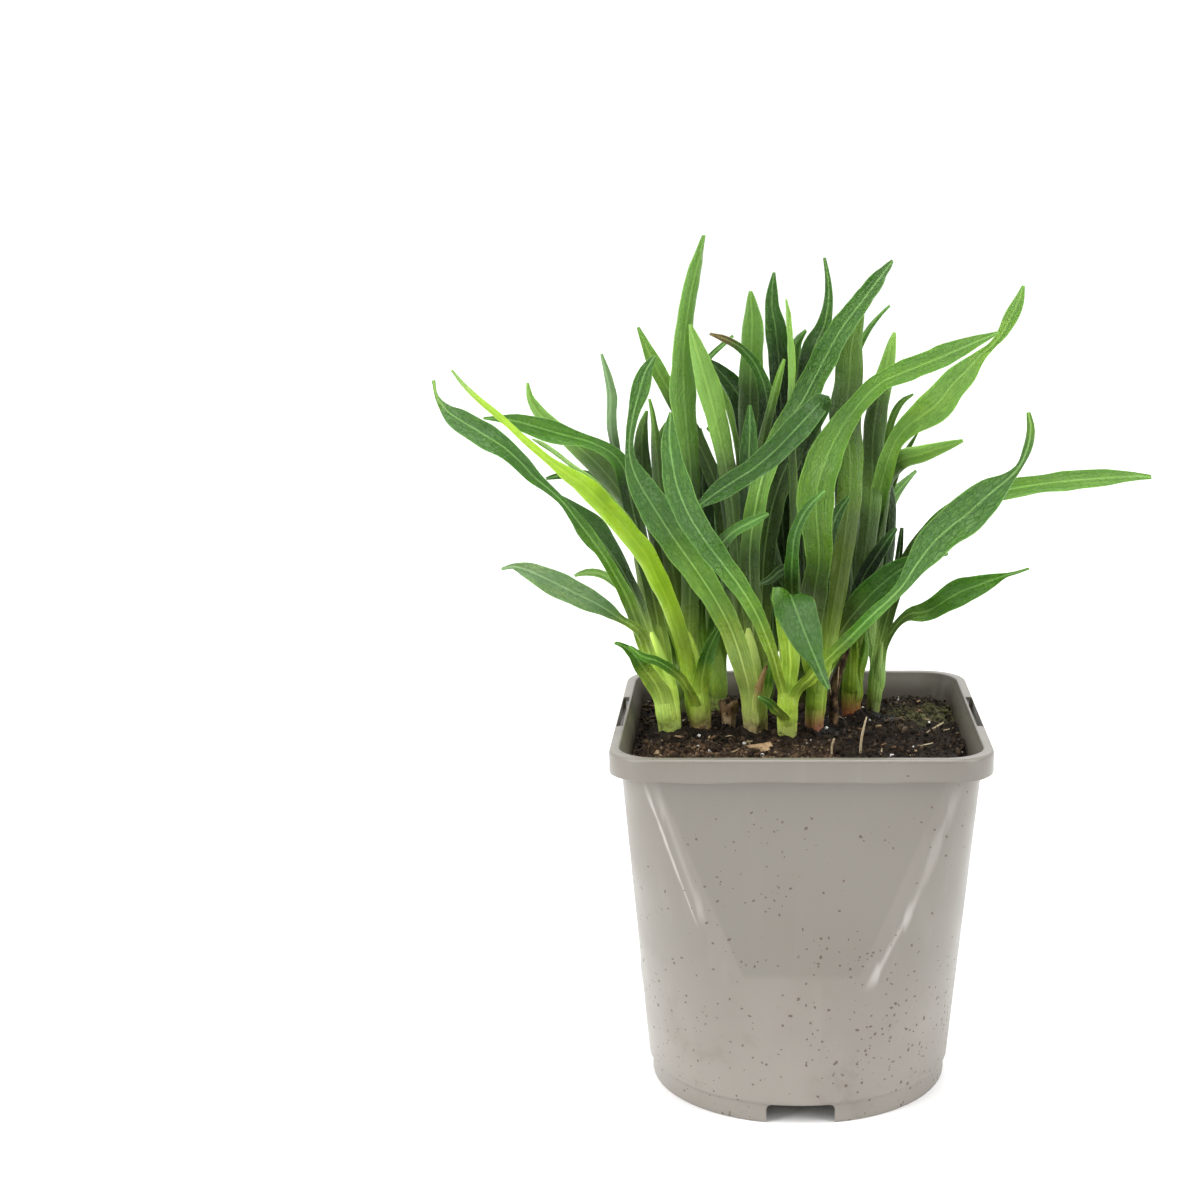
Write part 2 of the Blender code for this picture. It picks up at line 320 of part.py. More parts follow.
        (24, 113.7, 15, 1.9), (25.7, 115.4, 13, 2.2), (27.5, 116.6, 11, 3.4),
        (30.2, 116.9, 8.5, 4.4), (32.3, 117.6, 7, 4.9), (36.6, 120.3, 3, 6), (40, 122.3, 1, 6.6),
        (44.1, 123.8, -2, 5.6), (47.4, 125.1, -4, 3.6), (51.1, 126.4, -7, 1.3),
        (53.8, 127.1, -9, 0.8), (56.8, 128.1, -11, 0.6))),
    "short_blue_right": ("shoot_07", 10, 10, 1, 0, (
        (12.8, 97, 17, 3), (13, 110, 15, 3), (14, 120.5, 13, 3.2), (16, 126, 11, 3.8),
        (18.6, 130.4, 9, 3.8), (21.3, 134.6, 7, 3), (23.9, 138.2, 5, 0.9))),
    "short_tip_right": ("shoot_08", 0, 10, 1, 0, (
        (18.4, 98, 23, 2.6), (20.4, 110, 23, 2.4), (22.6, 120, 21, 2.2), (24.2, 128, 19, 2),
        (24.9, 134, 18, 1.6), (25.3, 138.3, 17, 0.9))),
    "dark_slip_right": ("shoot_08", -8, 8, -1, 0, (
        (18.8, 98, 24, 3), (20, 112, 26, 3.2), (21.2, 125, 27, 3.4), (21.9, 135, 26, 3.6),
        (22.3, 144, 25, 3), (22, 149, 24, 1.8), (22, 152, 23, 0.7))),
    "hanging_front": ("shoot_05", 5, 5, 1, 3, (
        (-2.4, 91, -4, 3.5), (-2, 102, -5, 3.8), (-2.6, 112, -6, 5), (-2.8, 118.2, -8, 7),
        (-2.3, 121.2, -11, 8.8), (-1.2, 118.8, -14, 9.6), (0.6, 114, -15.4, 9),
        (2.7, 108.6, -16.3, 6.4), (4.6, 104, -17, 3.2), (6, 100.6, -17.4, 2.3),
        (7.5, 97.5, -17.8, 0.8))),
    "curled_tip_left": ("shoot_05", 5, 20, 1, 0, (
        (-2.4, 94, -2, 3), (-1.6, 108, -1, 3.2), (-1.7, 120, -4, 3.4), (-1.7, 130, -9, 3.4),
        (-0.6, 138, -12, 2.7), (2.2, 143.3, -14, 2.4), (6.2, 147.4, -16, 0.9))),
    "curled_tip_right": ("shoot_06", 5, 20, 1, 0, (
        (4.2, 96, 2, 3), (5.4, 110, 1, 3), (6, 122, 0, 3), (7.2, 134, -1, 3), (9.3, 141.5, -2, 3.2),
        (12.1, 145.9, -4, 1.2))),
    "curled_front": ("shoot_05", 5, 25, 1, 0, (
        (-3, 94, -2, 3), (-3.4, 112, 0, 3.2), (-2.8, 122, -1, 3), (-2.8, 127.8, -4, 2.8),
        (-4.6, 127.6, -7, 2.6), (-7.2, 125.4, -9, 2.2), (-9.8, 124.2, -10.5, 0.8))),
    "crossing_centre": ("shoot_04", 0, 15, 1, 0, (
        (-12, 93, 4, 3), (-16, 112, 6, 3.4), (-19.3, 126, 6, 3.6), (-19.8, 132.6, 3, 3.6),
        (-16.5, 137, -1, 3), (-12, 139.6, -4, 2.6), (-7.6, 141.7, -6, 1))),
    "low_front": ("shoot_05", 10, 10, 1, 0, (
        (-3.3, 88.5, -5, 2.6), (-5, 91, -8, 2.6), (-7.3, 94, -11, 2), (-10, 95.5, -14, 0.8))),
    "brown_sheath": ("shoot_04", 0, 10, -1, 0, (
        (-10.2, 89, -1, 2.2), (-10.5, 95, -2.5, 2.1), (-9.3, 100, -3.5, 1.6), (-8, 103.6, -4, 0.7))),
    "pointed_sheath": ("shoot_04", 0, 10, -1, 0, (
        (-8.9, 89.5, 2, 3), (-8, 97, 1, 2.6), (-7.2, 102, 0.5, 1.8), (-6.8, 106, 0, 0.7))),
    "red_sheath": ("shoot_07", 0, 10, -1, 0, (
        (14, 95, 16.5, 3), (15.3, 102, 15.5, 2.4), (16.6, 108, 15, 1.7), (16.4, 113.6, 15, 0.7))),
}

# Leaves on the far side: shoot, root height, heading in degrees (90 is straight back),
# length, rise at the root in degrees, total bend in degrees and width.
FAR_LEAVES = {
    "far_01": ("shoot_09", 97, 120, 60, 86, 52, 5.6),
    "far_02": ("shoot_09", 96, 104, 48, 82, 92, 5.0),
    "far_03": ("shoot_03", 97, 98, 62, 87, 46, 5.4),
    "far_04": ("shoot_10", 98, 80, 70, 88, 40, 5.8),
    "far_05": ("shoot_10", 97, 112, 50, 82, 120, 5.6),
    "far_06": ("shoot_11", 98, 96, 74, 89, 32, 6.0),
    "far_07": ("shoot_11", 98, 84, 43, 82, 118, 5.4),
    "far_08": ("shoot_12", 98, 84, 34, 86, 90, 5.2),
    "far_09": ("shoot_12", 99, 30, 62, 87, 52, 5.6),
    "far_10": ("shoot_12", 99, 72, 66, 90, 14, 5.2),
}


def hermite(rows, at):
    """Smooth curve through the rows, read at fractions of its length."""
    rows = np.asarray(rows, dtype=float)
    steps = np.linalg.norm(np.diff(rows[:, :3], axis=0), axis=1)
    run = np.concatenate(([0.0], np.cumsum(steps)))
    slope = np.gradient(rows, run, axis=0)
    at = np.asarray(at) * run[-1]
    k = np.clip(np.searchsorted(run, at, side="right") - 1, 0, len(run) - 2)
    span = (run[k + 1] - run[k])[:, None]
    u = (at - run[k])[:, None] / span
    return ((2 * u ** 3 - 3 * u ** 2 + 1) * rows[k] + (u ** 3 - 2 * u ** 2 + u) * span * slope[k]
            + (3 * u ** 2 - 2 * u ** 3) * rows[k + 1] + (u ** 3 - u ** 2) * span * slope[k + 1])


def to_space(x, z, depth):
    """Point seen at (x, z) on the axis plane, moved to a depth along the line of sight."""
    reach = 1.0 + depth / -EYE[1]
    return np.stack([EYE[0] + (x - EYE[0]) * reach, depth + 0.0 * x,
                     EYE[2] + (z - EYE[2]) * reach], axis=-1)


def to_plane(points):
    """Inverse of to_space: x and z on the axis plane, and the depth."""
    reach = 1.0 + points[:, 1] / -EYE[1]
    return np.stack([EYE[0] + (points[:, 0] - EYE[0]) / reach,
                     EYE[2] + (points[:, 2] - EYE[2]) / reach, points[:, 1]], axis=-1)


def far_route(shoot, root, heading, length, rise, bend, width):
    """Route of a leaf on the far side: it leaves its shoot steeply and bends over outward."""
    base_x, depth = SHOOTS[shoot][:2]
    start = to_space(np.array([base_x]), np.array([root]), np.array([depth]))[0]
    points = [start]
    steps = 9
    for k in range(steps):
        pitch = math.radians(rise - bend * ((k + 0.5) / steps) ** 1.6)
        out = math.radians(heading)
        points.append(points[-1] + length / steps * np.array([
            math.cos(pitch) * math.cos(out), math.cos(pitch) * math.sin(out), math.sin(pitch)]))
    rows = to_plane(np.array(points))
    share = np.linspace(0.0, 1.0, steps + 1)
    widths = width * np.clip(np.minimum(0.62 + 1.1 * share, 2.9 * (1.0 - share) ** 0.8), 0.14, 1.0)
    return np.column_stack([rows, widths])


def gather_leaves():
    """All leaves as rows of x, z, depth, width and twist at even stations."""
    at = np.linspace(0.0, 1.0, STATIONS)
    leaves = {}
    for name, (shoot, twist_root, twist_tip, face, waves, route) in LEAVES.items():
        route = np.array(route, dtype=float)
        route[0, [0, 2]] = 0.5 * (route[0, [0, 2]] + np.array(SHOOTS[shoot][:2]))
        route[:, 2] += NEAR_LEAN * np.minimum(0.0, route[:, 2] + 6.0)
        rows = hermite(route, at)
        twist = np.radians(twist_root + (twist_tip - twist_root) * at)
        leaves[name] = dict(shoot=shoot, face=face, waves=waves,
                            rows=np.column_stack([rows, twist]))
    for index, (name, spec) in enumerate(FAR_LEAVES.items()):
        rows = hermite(far_route(*spec), at)
        twist = np.radians((18.0 if index % 2 else -18.0) * at)
        leaves[name] = dict(shoot=spec[0], face=-1, waves=1,
                            rows=np.column_stack([rows, twist]))
    return leaves


def core_path(shoot):
    """Middle line of a shoot's core above the soil, in space, with its half-widths."""
    x0, y0, rx, ry, x1, y1, z1 = SHOOTS[shoot]
    foot = to_space(np.array(x0), np.array(SOIL_LEVEL), np.array(y0))
    foot[2] = SOIL_LEVEL
    top = to_space(np.array(x1), np.array(z1), np.array(y1))
    rows = []
    for share, size in ((0.0, 1.0), (0.22, 1.0), (0.45, 0.9), (0.7, 0.68), (0.9, 0.4), (1.0, 0.16)):
        lean = share ** 1.4
        centre = foot + (top - foot) * np.array([lean, lean, share])
        rows.append((centre, rx * size, ry * size))
    return rows


def settle(leaves):
    """Moves leaves that pass one another apart in depth, so that no two blades meet."""
    names = list(leaves)
    plane, depth, half, thick, owner, share, shoot, free = [], [], [], [], [], [], [], []
    for index, name in enumerate(names):
        rows = leaves[name]["rows"]
        at = np.linspace(0.0, 1.0, len(rows))
        plane.append(rows[:, :2])
        depth.append(rows[:, 2])
        half.append(rows[:, 3] / 2)
        thick.append(rows[:, 3] / 2 * (np.abs(np.sin(rows[:, 4])) + GUTTER)
                     + (BLADE + SHEATH * np.clip(1 - at / 0.3, 0, 1) ** 2) / 2)
        owner.append(np.full(len(rows), index))
        share.append(at)
        shoot.append([leaves[name]["shoot"]] * len(rows))
        free.append(np.clip((at - 0.06) / 0.14, 0.0, 1.0))
    for index, name in enumerate(SHOOTS):
        path = core_path(name)
        centres = np.array([row[0] for row in path])
        fine = np.linspace(0, len(path) - 1, 16)
        centres = np.column_stack([np.interp(fine, range(len(path)), centres[:, k]) for k in range(3)])
        flat = to_plane(centres)
        plane.append(flat[:, :2])
        depth.append(flat[:, 2])
        half.append(np.interp(fine, range(len(path)), [row[1] for row in path]))
        thick.append(np.interp(fine, range(len(path)), [row[2] for row in path]))
        owner.append(np.full(len(fine), len(names) + index))
        share.append(np.zeros(len(fine)))
        shoot.append([name] * len(fine))
        free.append(np.zeros(len(fine)))
    plane, depth, half = np.concatenate(plane), np.concatenate(depth), np.concatenate(half)
    thick, owner = np.concatenate(thick), np.concatenate(owner)
    share, free = np.concatenate(share), np.concatenate(free)
    shoot = np.concatenate(shoot)
    away = np.linalg.norm(plane[:, None] - plane[None], axis=2)
    near = away < (half[:, None] + half[None]) + 1.6
    near &= owner[:, None] < owner[None]
    same = shoot[:, None] == shoot[None]
    near &= ~(same & (np.minimum(share[:, None], share[None]) < 0.3))
    first, second = np.nonzero(near)
    gap = depth[second] - depth[first]
    order = np.zeros(len(first))
    keys = {(i, j): n for n, (i, j) in enumerate(zip(first, second))}
    for n, (i, j) in enumerate(zip(first, second)):
        total = 0.0
        for a in range(-3, 4):
            for b in range(-3, 4):
                m = keys.get((i + a, j + b))
                if m is not None and owner[i + a] == owner[i] and owner[j + b] == owner[j]:
                    total += gap[m]
        order[n] = 1.0 if total >= 0 else -1.0
    need = thick[first] + thick[second] + CLEARANCE
    start = depth.copy()
    held = np.clip(np.linspace(0.0, 1.0, STATIONS) / 0.12, 0.0, 1.0) ** 0.5
    held[:2] = 0.0
    for _ in range(260):
        lack = need - order * (depth[second] - depth[first])
        lack = np.where(lack > 0, lack, 0.0)
        weight = free[first] + free[second]
        push = np.where(weight > 0, lack / np.maximum(weight, 0.3), 0.0) * 0.5
        ahead, behind = np.zeros(len(depth)), np.zeros(len(depth))
        shift = order * push
        np.minimum.at(ahead, first, -shift * free[first])
        np.maximum.at(behind, first, -shift * free[first])
        np.minimum.at(ahead, second, shift * free[second])
        np.maximum.at(behind, second, shift * free[second])
        moved = depth + ahead + behind - start
        for index in range(len(names)):
            part = slice(index * STATIONS, (index + 1) * STATIONS)
            piece = moved[part]
            padded = np.concatenate(([piece[0]], piece, [piece[-1]]))
            moved[part] = (0.25 * padded[:-2] + 0.5 * padded[1:-1] + 0.25 * padded[2:]) * held
        depth = start + moved
    for index, name in enumerate(names):
        leaves[name]["rows"][:, 2] = depth[index * STATIONS:(index + 1) * STATIONS]


def blade_frames(rows):
    """Middle line, sideways and face directions of a blade, in space."""
    centre = to_space(rows[:, 0], rows[:, 1], rows[:, 2])
    along = np.gradient(centre, axis=0)
    along /= np.linalg.norm(along, axis=1)[:, None]
    sight = centre - np.array(EYE)
    sight /= np.linalg.norm(sight, axis=1)[:, None]
    side = np.cross(along, sight)
    for k in range(len(side)):
        length = np.linalg.norm(side[k])
        if k and (length < 0.35 or np.dot(side[k], side[k - 1]) < 0):
            fresh = side[k] / max(length, 1e-9)
            if np.dot(fresh, side[k - 1]) < 0:
                fresh = -fresh
            mix = min(1.0, length / 0.35)
            blended = fresh * mix + side[k - 1] * (1.0 - mix)
            blended -= along[k] * np.dot(blended, along[k])
            side[k] = blended / np.linalg.norm(blended)
        else:
            side[k] /= length
    normal = np.cross(side, along)
    turn = rows[:, 4][:, None]
    across = side * np.cos(turn) + normal * np.sin(turn)
    return centre, across, normal * np.cos(turn) - side * np.sin(turn)


def blade_points(leaf, count, across):
    """Rows of points on the blade's middle surface, and its thickness and face directions."""
    at = np.linspace(0.0, 1.0, count)
    rows = hermite(leaf["rows"], at)
    centre, side, normal = blade_frames(rows)
    half = rows[:, 3] / 2
    lift = np.zeros((count, len(across)))
    for k, place in enumerate(across):
        ripple = 0.16 * math.copysign(1.0, place) * abs(place) ** 1.5 * np.sin(
            2 * math.pi * (leaf["waves"] + 0.5) * at + (0.9 if place > 0 else 0.0))
        lift[:, k] = leaf["face"] * GUTTER * place ** 2 + (ripple if leaf["waves"] else 0.0)
    grid = (centre[:, None] + side[:, None] * (half[:, None] * np.array(across))[:, :, None]
            - normal[:, None] * (half[:, None] * lift)[:, :, None])
    thick = BLADE + SHEATH * np.clip(1 - at / 0.3, 0, 1) ** 2
    return grid, normal, thick


def new_object(name, mesh_maker, material):
    bm = bmesh.new()
    mesh_maker(bm)
    bmesh.ops.recalc_face_normals(bm, faces=bm.faces[:])
    mesh = bpy.data.meshes.new(name)
    bm.to_mesh(mesh)
    bm.free()
    obj = bpy.data.objects.new(name, mesh)
    bpy.context.scene.collection.objects.link(obj)
    if material is not None:
        mesh.materials.append(material)
    return obj


def make_material(name, colour, roughness, metallic=0.0):
    material = bpy.data.materials.new(name)
    material.use_nodes = True
    shader = material.node_tree.nodes["Principled BSDF"]
    shader.inputs["Base Color"].default_value = (*colour, 1.0)
    shader.inputs["Roughness"].default_value = roughness
    shader.inputs["Metallic"].default_value = metallic
    material.diffuse_color = (*colour, 1.0)
    return material


def add_blade(bm, leaf):
    """One closed blade, split into triangles alike on both faces."""
    run = leaf["rows"]
    length = np.linalg.norm(np.diff(to_space(run[:, 0], run[:, 1], run[:, 2]), axis=0), axis=1).sum()
    count = int(min(14, max(6, round(length / 8.2))))
    across = (-1.0, 0.0, 1.0)
    grid, normal, thick = blade_points(leaf, count, across)
    rings = []
    for k in range(count):
        up = normal[k] * thick[k] / 2
        ring = [grid[k, 0] + up, grid[k, 1] + up, grid[k, 2] + up,
                grid[k, 2] - up, grid[k, 1] - up, grid[k, 0] - up]
        rings.append([bm.verts.new(Vector(point * MM)) for point in ring])
    for low, high in zip(rings, rings[1:]):
        for a, b in ((0, 1), (1, 2), (2, 3), (5, 0)):
            bm.faces.new((low[a], low[b], high[b]))
            bm.faces.new((low[a], high[b], high[a]))
        for a, b in ((3, 4), (4, 5)):
            bm.faces.new((low[a], low[b], high[a]))
            bm.faces.new((low[b], high[b], high[a]))
    for ring in (rings[0], rings[-1]):
        bm.faces.new((ring[0], ring[1], ring[4]))
        bm.faces.new((ring[0], ring[4], ring[5]))
        bm.faces.new((ring[1], ring[2], ring[3]))
        bm.faces.new((ring[1], ring[3], ring[4]))


def square_ring(half, flat, z, bulge=0.0):
    """Points of a square outline with round corners and one point amid each side."""
    flat = max(flat, 0.8)
    radius = half - flat
    points = []
    for corner in range(4):
        middle = math.radians(45 + 90 * corner)
        cx = math.copysign(flat, math.cos(middle))
        cy = math.copysign(flat, math.sin(middle))
        for step in range(CORNER_STEPS + 1):
            turn = middle - math.pi / 4 + math.pi / 2 * step / CORNER_STEPS
            points.append(Vector((cx + radius * math.cos(turn), cy + radius * math.sin(turn), z)) * MM)
        aside = middle + math.pi / 4
        reach = half + bulge
        points.append(Vector((reach * math.cos(aside), reach * math.sin(aside), z)) * MM)
    return points


def wall_ring(z, inset=0.0):
    """Outline of the pot's wall at a height: square above, rounding out to a circle below."""
    half = BODY_FOOT_HALF + (BODY_TOP_HALF - BODY_FOOT_HALF) * (z - FOOT_HEIGHT) / (SKIRT - FOOT_HEIGHT)
    flat = max(0.0, BODY_TOP_FLAT * (z - POINT_FOOT) / (SKIRT - POINT_FOOT))
    fade = min(1.0, max(0.0, (PANEL_FOOT - z) / (PANEL_FOOT - ROUND_FROM)))
    return square_ring(half - inset, flat, z, fade ** 2 * flat ** 2 / (2 * half))


def loft(bm, outlines):
    rings = [[bm.verts.new(point) for point in outline] for outline in outlines]
    for low, high in zip(rings, rings[1:]):
        for k in range(len(low)):
            nxt = (k + 1) % len(low)
            bm.faces.new((low[k], low[nxt], high[nxt], high[k]))
    return rings


def pot_body(bm):
    """Outer wall up to the folded rim, over it and down inside to the base plate."""
    under = POT_HEIGHT - RIM_WALL
    skirt_inner = RIM_HALF - RIM_WALL
    outlines = [square_ring(FOOT_HALF - FOOT_WALL, 0, 0),
                square_ring(FOOT_HALF, 0, 0),
                square_ring(FOOT_HALF, 0, FOOT_HEIGHT - 0.3),
                square_ring(BODY_FOOT_HALF, 0, FOOT_HEIGHT)]
    outlines += [wall_ring(z) for z in WALL_HEIGHTS]
    outlines += [wall_ring(SKIRT),
                 square_ring(OPENING_HALF + 0.6, BODY_TOP_FLAT, SHOULDER + 0.8),
                 square_ring(OPENING_HALF + 0.8, BODY_TOP_FLAT, under),
                 square_ring(skirt_inner, RIM_FLAT, under),
                 square_ring(skirt_inner, RIM_FLAT, SKIRT),
                 square_ring(RIM_HALF, RIM_FLAT, SKIRT),
                 square_ring(RIM_HALF, RIM_FLAT, POT_HEIGHT - RIM_EDGE),
                 square_ring(RIM_HALF - RIM_EDGE, RIM_FLAT, POT_HEIGHT),
                 square_ring(OPENING_HALF, BODY_TOP_FLAT, POT_HEIGHT),
                 square_ring(OPENING_HALF - 0.3, BODY_TOP_FLAT, SHOULDER + 2.0),
                 wall_ring(SHOULDER, WALL + 0.1)]
    outlines += [wall_ring(z, WALL) for z in reversed(WALL_HEIGHTS)]
    outlines.append(wall_ring(FOOT_HEIGHT + BASE_PLATE, WALL))
    rings = loft(bm, outlines)
    bm.faces.new(rings[-1])
    ceiling = [bm.verts.new(point) for point in square_ring(FOOT_HALF - FOOT_WALL, 0, FOOT_HEIGHT)]
    for k in range(len(ceiling)):
        nxt = (k + 1) % len(ceiling)
        bm.faces.new((rings[0][k], rings[0][nxt], ceiling[nxt], ceiling[k]))
    bm.faces.new(ceiling)


def pot_cutters(bm):
    """Notches in the foot, drain holes in the base plate and label slots in the rim."""
    half = NOTCH_WIDTH / 2
    top = FOOT_HEIGHT - 0.35
    profile = [(-half, -1.0), (half, -1.0)]
    for side, first in ((1.0, 0.0), (-1.0, 90.0)):
        for step in range(3):
            turn = math.radians(first + 45.0 * step)
            profile.append((side * (half - NOTCH_CORNER) + NOTCH_CORNER * math.cos(turn),
                            top - NOTCH_CORNER + NOTCH_CORNER * math.sin(turn)))
    for angle in NOTCH_ANGLES:
        turn = math.radians(angle)
        out = Vector((math.cos(turn), math.sin(turn), 0.0))
        side = Vector((-out.y, out.x, 0.0))
        ends = []
        for reach in (FOOT_HALF - 6.0, FOOT_HALF + 4.0):
            points = [out * reach + side * u + Vector((0, 0, v)) for u, v in profile]
            ends.append([bm.verts.new(point * MM) for point in points])
        inner, outer = ends
        bm.faces.new(inner)
        bm.faces.new(outer)
        for k in range(len(profile)):
            nxt = (k + 1) % len(profile)
            bm.faces.new((inner[k], inner[nxt], outer[nxt], outer[k]))
    for k in range(DRAIN_HOLES):
        turn = 2 * math.pi * (k + 0.5) / DRAIN_HOLES
        made = bmesh.ops.create_cone(bm, cap_ends=True, segments=12, radius1=DRAIN_RADIUS * MM,
                                     radius2=DRAIN_RADIUS * MM, depth=6 * MM)
        middle = Vector((DRAIN_CIRCLE * math.cos(turn), DRAIN_CIRCLE * math.sin(turn), FOOT_HEIGHT))
        bmesh.ops.translate(bm, verts=made["verts"], vec=middle * MM)
    for sign in (-1.0, 1.0):
        made = bmesh.ops.create_cube(bm, size=MM)
        size = Vector((SLOT_OUTER - SLOT_INNER, 2 * SLOT_HALF_LENGTH, 2 * SLOT_DEPTH))
        middle = Vector((sign * (SLOT_OUTER + SLOT_INNER) / 2, 0, POT_HEIGHT))
        bmesh.ops.scale(bm, verts=made["verts"], vec=size)
        bmesh.ops.translate(bm, verts=made["verts"], vec=middle * MM)


def soil_height(x, y):
    """Uneven top of the soil, a little higher round the shoots."""
    mound = 1.0 * math.exp(-((x + 6) / 26) ** 2 - ((y - 12) / 22) ** 2)
    rough = (0.45 * math.sin(0.41 * x + 1.3) * math.cos(0.37 * y - 0.4)
             + 0.3 * math.sin(0.83 * x - 0.71 * y) + 0.2 * math.cos(1.27 * y + 0.6 * x))
    return SOIL_LEVEL - 0.2 + mound + rough


def soil_body(bm):
    """Block of soil that fills the pot, with an uneven top."""
    inset = WALL + GAP + 0.1
    outlines = [wall_ring(FOOT_HEIGHT + BASE_PLATE + GAP, inset)]
    outlines += [wall_ring(z, inset) for z in WALL_HEIGHTS]
    edge = wall_ring(SOIL_EDGE, inset)
    for share, sink in [(1.0, 0.8)] + [(share, 0.0) for share in SOIL_RINGS]:
        outline = []
        for point in edge:
            x, y = point.x * share, point.y * share
            outline.append(Vector((x, y, (soil_height(x / MM, y / MM) - sink) * MM)))
        outlines.append(outline)
    rings = loft(bm, outlines)
    bm.faces.new(rings[0])
    middle = bm.verts.new(Vector((0, 0, soil_height(0, 0) * MM)))
    top = rings[-1]
    for k in range(len(top)):
        bm.faces.new((top[k], top[(k + 1) % len(top)], middle))


def stem_rings(bm, rows, sides):
    """Closed round stem through rows of x, y, z and two half-widths."""
    rings = []
    for x, y, z, rx, ry in rows:
        ring = []
        for k in range(sides):
            turn = 2 * math.pi * k / sides
            ring.append(bm.verts.new(Vector((x + rx * math.cos(turn), y + ry * math.sin(turn), z)) * MM))
        rings.append(ring)
    for low, high in zip(rings, rings[1:]):
        for k in range(sides):
            bm.faces.new((low[k], low[(k + 1) % sides], high[(k + 1) % sides], high[k]))
    bm.faces.new(rings[0])
    bm.faces.new(rings[-1])
    return rings


def add_core(bm, shoot):
    """Core of a shoot: upright in its hole, then leaning and running out among the leaves."""
    path = core_path(shoot)
    foot = path[0][0]
    rows = [(foot[0], foot[1], STEM_FOOT, path[0][1], path[0][2])]
    rows += [(*centre, rx, ry) for centre, rx, ry in path]
    stem_rings(bm, rows, STEM_SIDES)


def hole_cutters(bm):
    """One plain hole for each stem that stands in the soil."""
    stems = []
    for name in SHOOTS:
        foot, rx, ry = core_path(name)[0]
        stems.append((foot[0], foot[1], rx, ry, STEM_FOOT))
    stems.append((*STUMP_BASE, STUMP_RADIUS, STUMP_RADIUS, STUB_FOOT))
    stems.append((*DRY_BASE, DRY_RADIUS, DRY_RADIUS, STUB_FOOT))
    for x, y, rx, ry, foot in stems:
        wide = (rx + HOLE_PLAY, ry + HOLE_PLAY)
        stem_rings(bm, [(x, y, foot - GAP, *wide), (x, y, HOLE_TOP, *wide)], STEM_SIDES)


def stump_body(bm):
    """Cut-off old stem: narrow below, frayed and wider at its brown top."""
    x, y = STUMP_BASE
    levels = ((STUB_FOOT, 1.7), (87.0, 1.7), (89.5, 1.9), (92.0, 2.5), (93.4, 2.3), (92.2, 0.6))
    rings = stem_rings(bm, [(x, y, z, radius, radius) for z, radius in levels], STEM_SIDES)
    for ring, fray in zip(rings[2:5], (0.1, 0.3, 0.9)):
        for k, corner in enumerate(ring):
            turn = 2 * math.pi * k / STEM_SIDES
            corner.co.x += 0.25 * math.cos(turn) * math.sin(3 * turn + fray) * MM
            corner.co.z += fray * math.sin(5 * turn + 1.0) * MM


def dry_body(bm):
    """Dry old stem, split near its top, with the split end leaning right."""
    x, y = DRY_BASE
    stem_rings(bm, ((x, y, STUB_FOOT, DRY_RADIUS, DRY_RADIUS), (x, y, 88.0, DRY_RADIUS, DRY_RADIUS),
                    (x - 0.1, y, 93.0, 1.15, 1.1), (x + 0.4, y, 97.0, 1.3, 1.0),
                    (x + 1.5, y, 100.5, 1.1, 0.8), (x + 2.9, y - 0.2, 104.0, 0.8, 0.6),
                    (x + 3.8, y - 0.4, 106.3, 0.35, 0.35)), DRY_SIDES)


def apply_modifiers(obj):
    graph = bpy.context.evaluated_depsgraph_get()
    mesh = bpy.data.meshes.new_from_object(obj.evaluated_get(graph))
    obj.modifiers.clear()
    obj.data = mesh


def cut(obj, maker):
    """Cuts the shapes that the maker draws out of the object."""
    cutter = new_object(obj.name + "_cutter", maker, None)
    cutter.hide_render = True
    cutter.display_type = "WIRE"
    change = obj.modifiers.new("cut", "BOOLEAN")
    change.operation = "DIFFERENCE"
    change.object = cutter
    change.use_self = True
    apply_modifiers(obj)
    bpy.data.objects.remove(cutter, do_unlink=True)


def build_shoot(name, leaves, material):
    """Core of a shoot with all of its leaves joined into one solid."""
    shoot = new_object(name, lambda bm: add_core(bm, name), material)
    blades = bpy.data.collections.new(name + "_blades")
    bpy.context.scene.collection.children.link(blades)
    for leaf_name, leaf in leaves.items():
        if leaf["shoot"] != name:
            continue
        blade = new_object(leaf_name, lambda bm: add_blade(bm, leaf), material)
        bpy.context.scene.collection.objects.unlink(blade)
        blades.objects.link(blade)
    join = shoot.modifiers.new("join", "BOOLEAN")
    join.operation = "UNION"
    join.operand_type = "COLLECTION"
    join.collection = blades
    join.solver = UNION_SOLVER
    apply_modifiers(shoot)
    for blade in list(blades.objects):
        bpy.data.objects.remove(blade, do_unlink=True)
    bpy.data.collections.remove(blades)
    shoot.data.shade_smooth()
    shoot.data.set_sharp_from_angle(angle=math.radians(40))
    return shoot


def main():
    plastic = make_material("taupe_plastic", (0.35, 0.31, 0.27), 0.38)
    peat = make_material("peat_soil", (0.035, 0.022, 0.015), 0.95)
    green = make_material("fresh_green", (0.12, 0.28, 0.04), 0.5)
    brown = make_material("dry_brown", (0.09, 0.055, 0.03), 0.9)

    pot = new_object("pot", pot_body, plastic)
    cut(pot, pot_cutters)
    pot.data.shade_smooth()
    pot.data.set_sharp_from_angle(angle=math.radians(35))
    soil = new_object("soil", soil_body, peat)
    cut(soil, hole_cutters)
    new_object("cut_stump", stump_body, brown)
    new_object("dry_stem", dry_body, brown)

    leaves = gather_leaves()
    settle(leaves)
    for name in SHOOTS:
        build_shoot(name, leaves, green)


main()
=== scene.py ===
"""Looks of the young blazing star in its square nursery pot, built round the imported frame.

Lengths are in millimetres until a point is written into a mesh; +Z is up and the front of
the plant looks along -Y.
"""
import math
import random

import bmesh
import bpy
import numpy as np
from mathutils import Euler, Matrix, Vector, noise


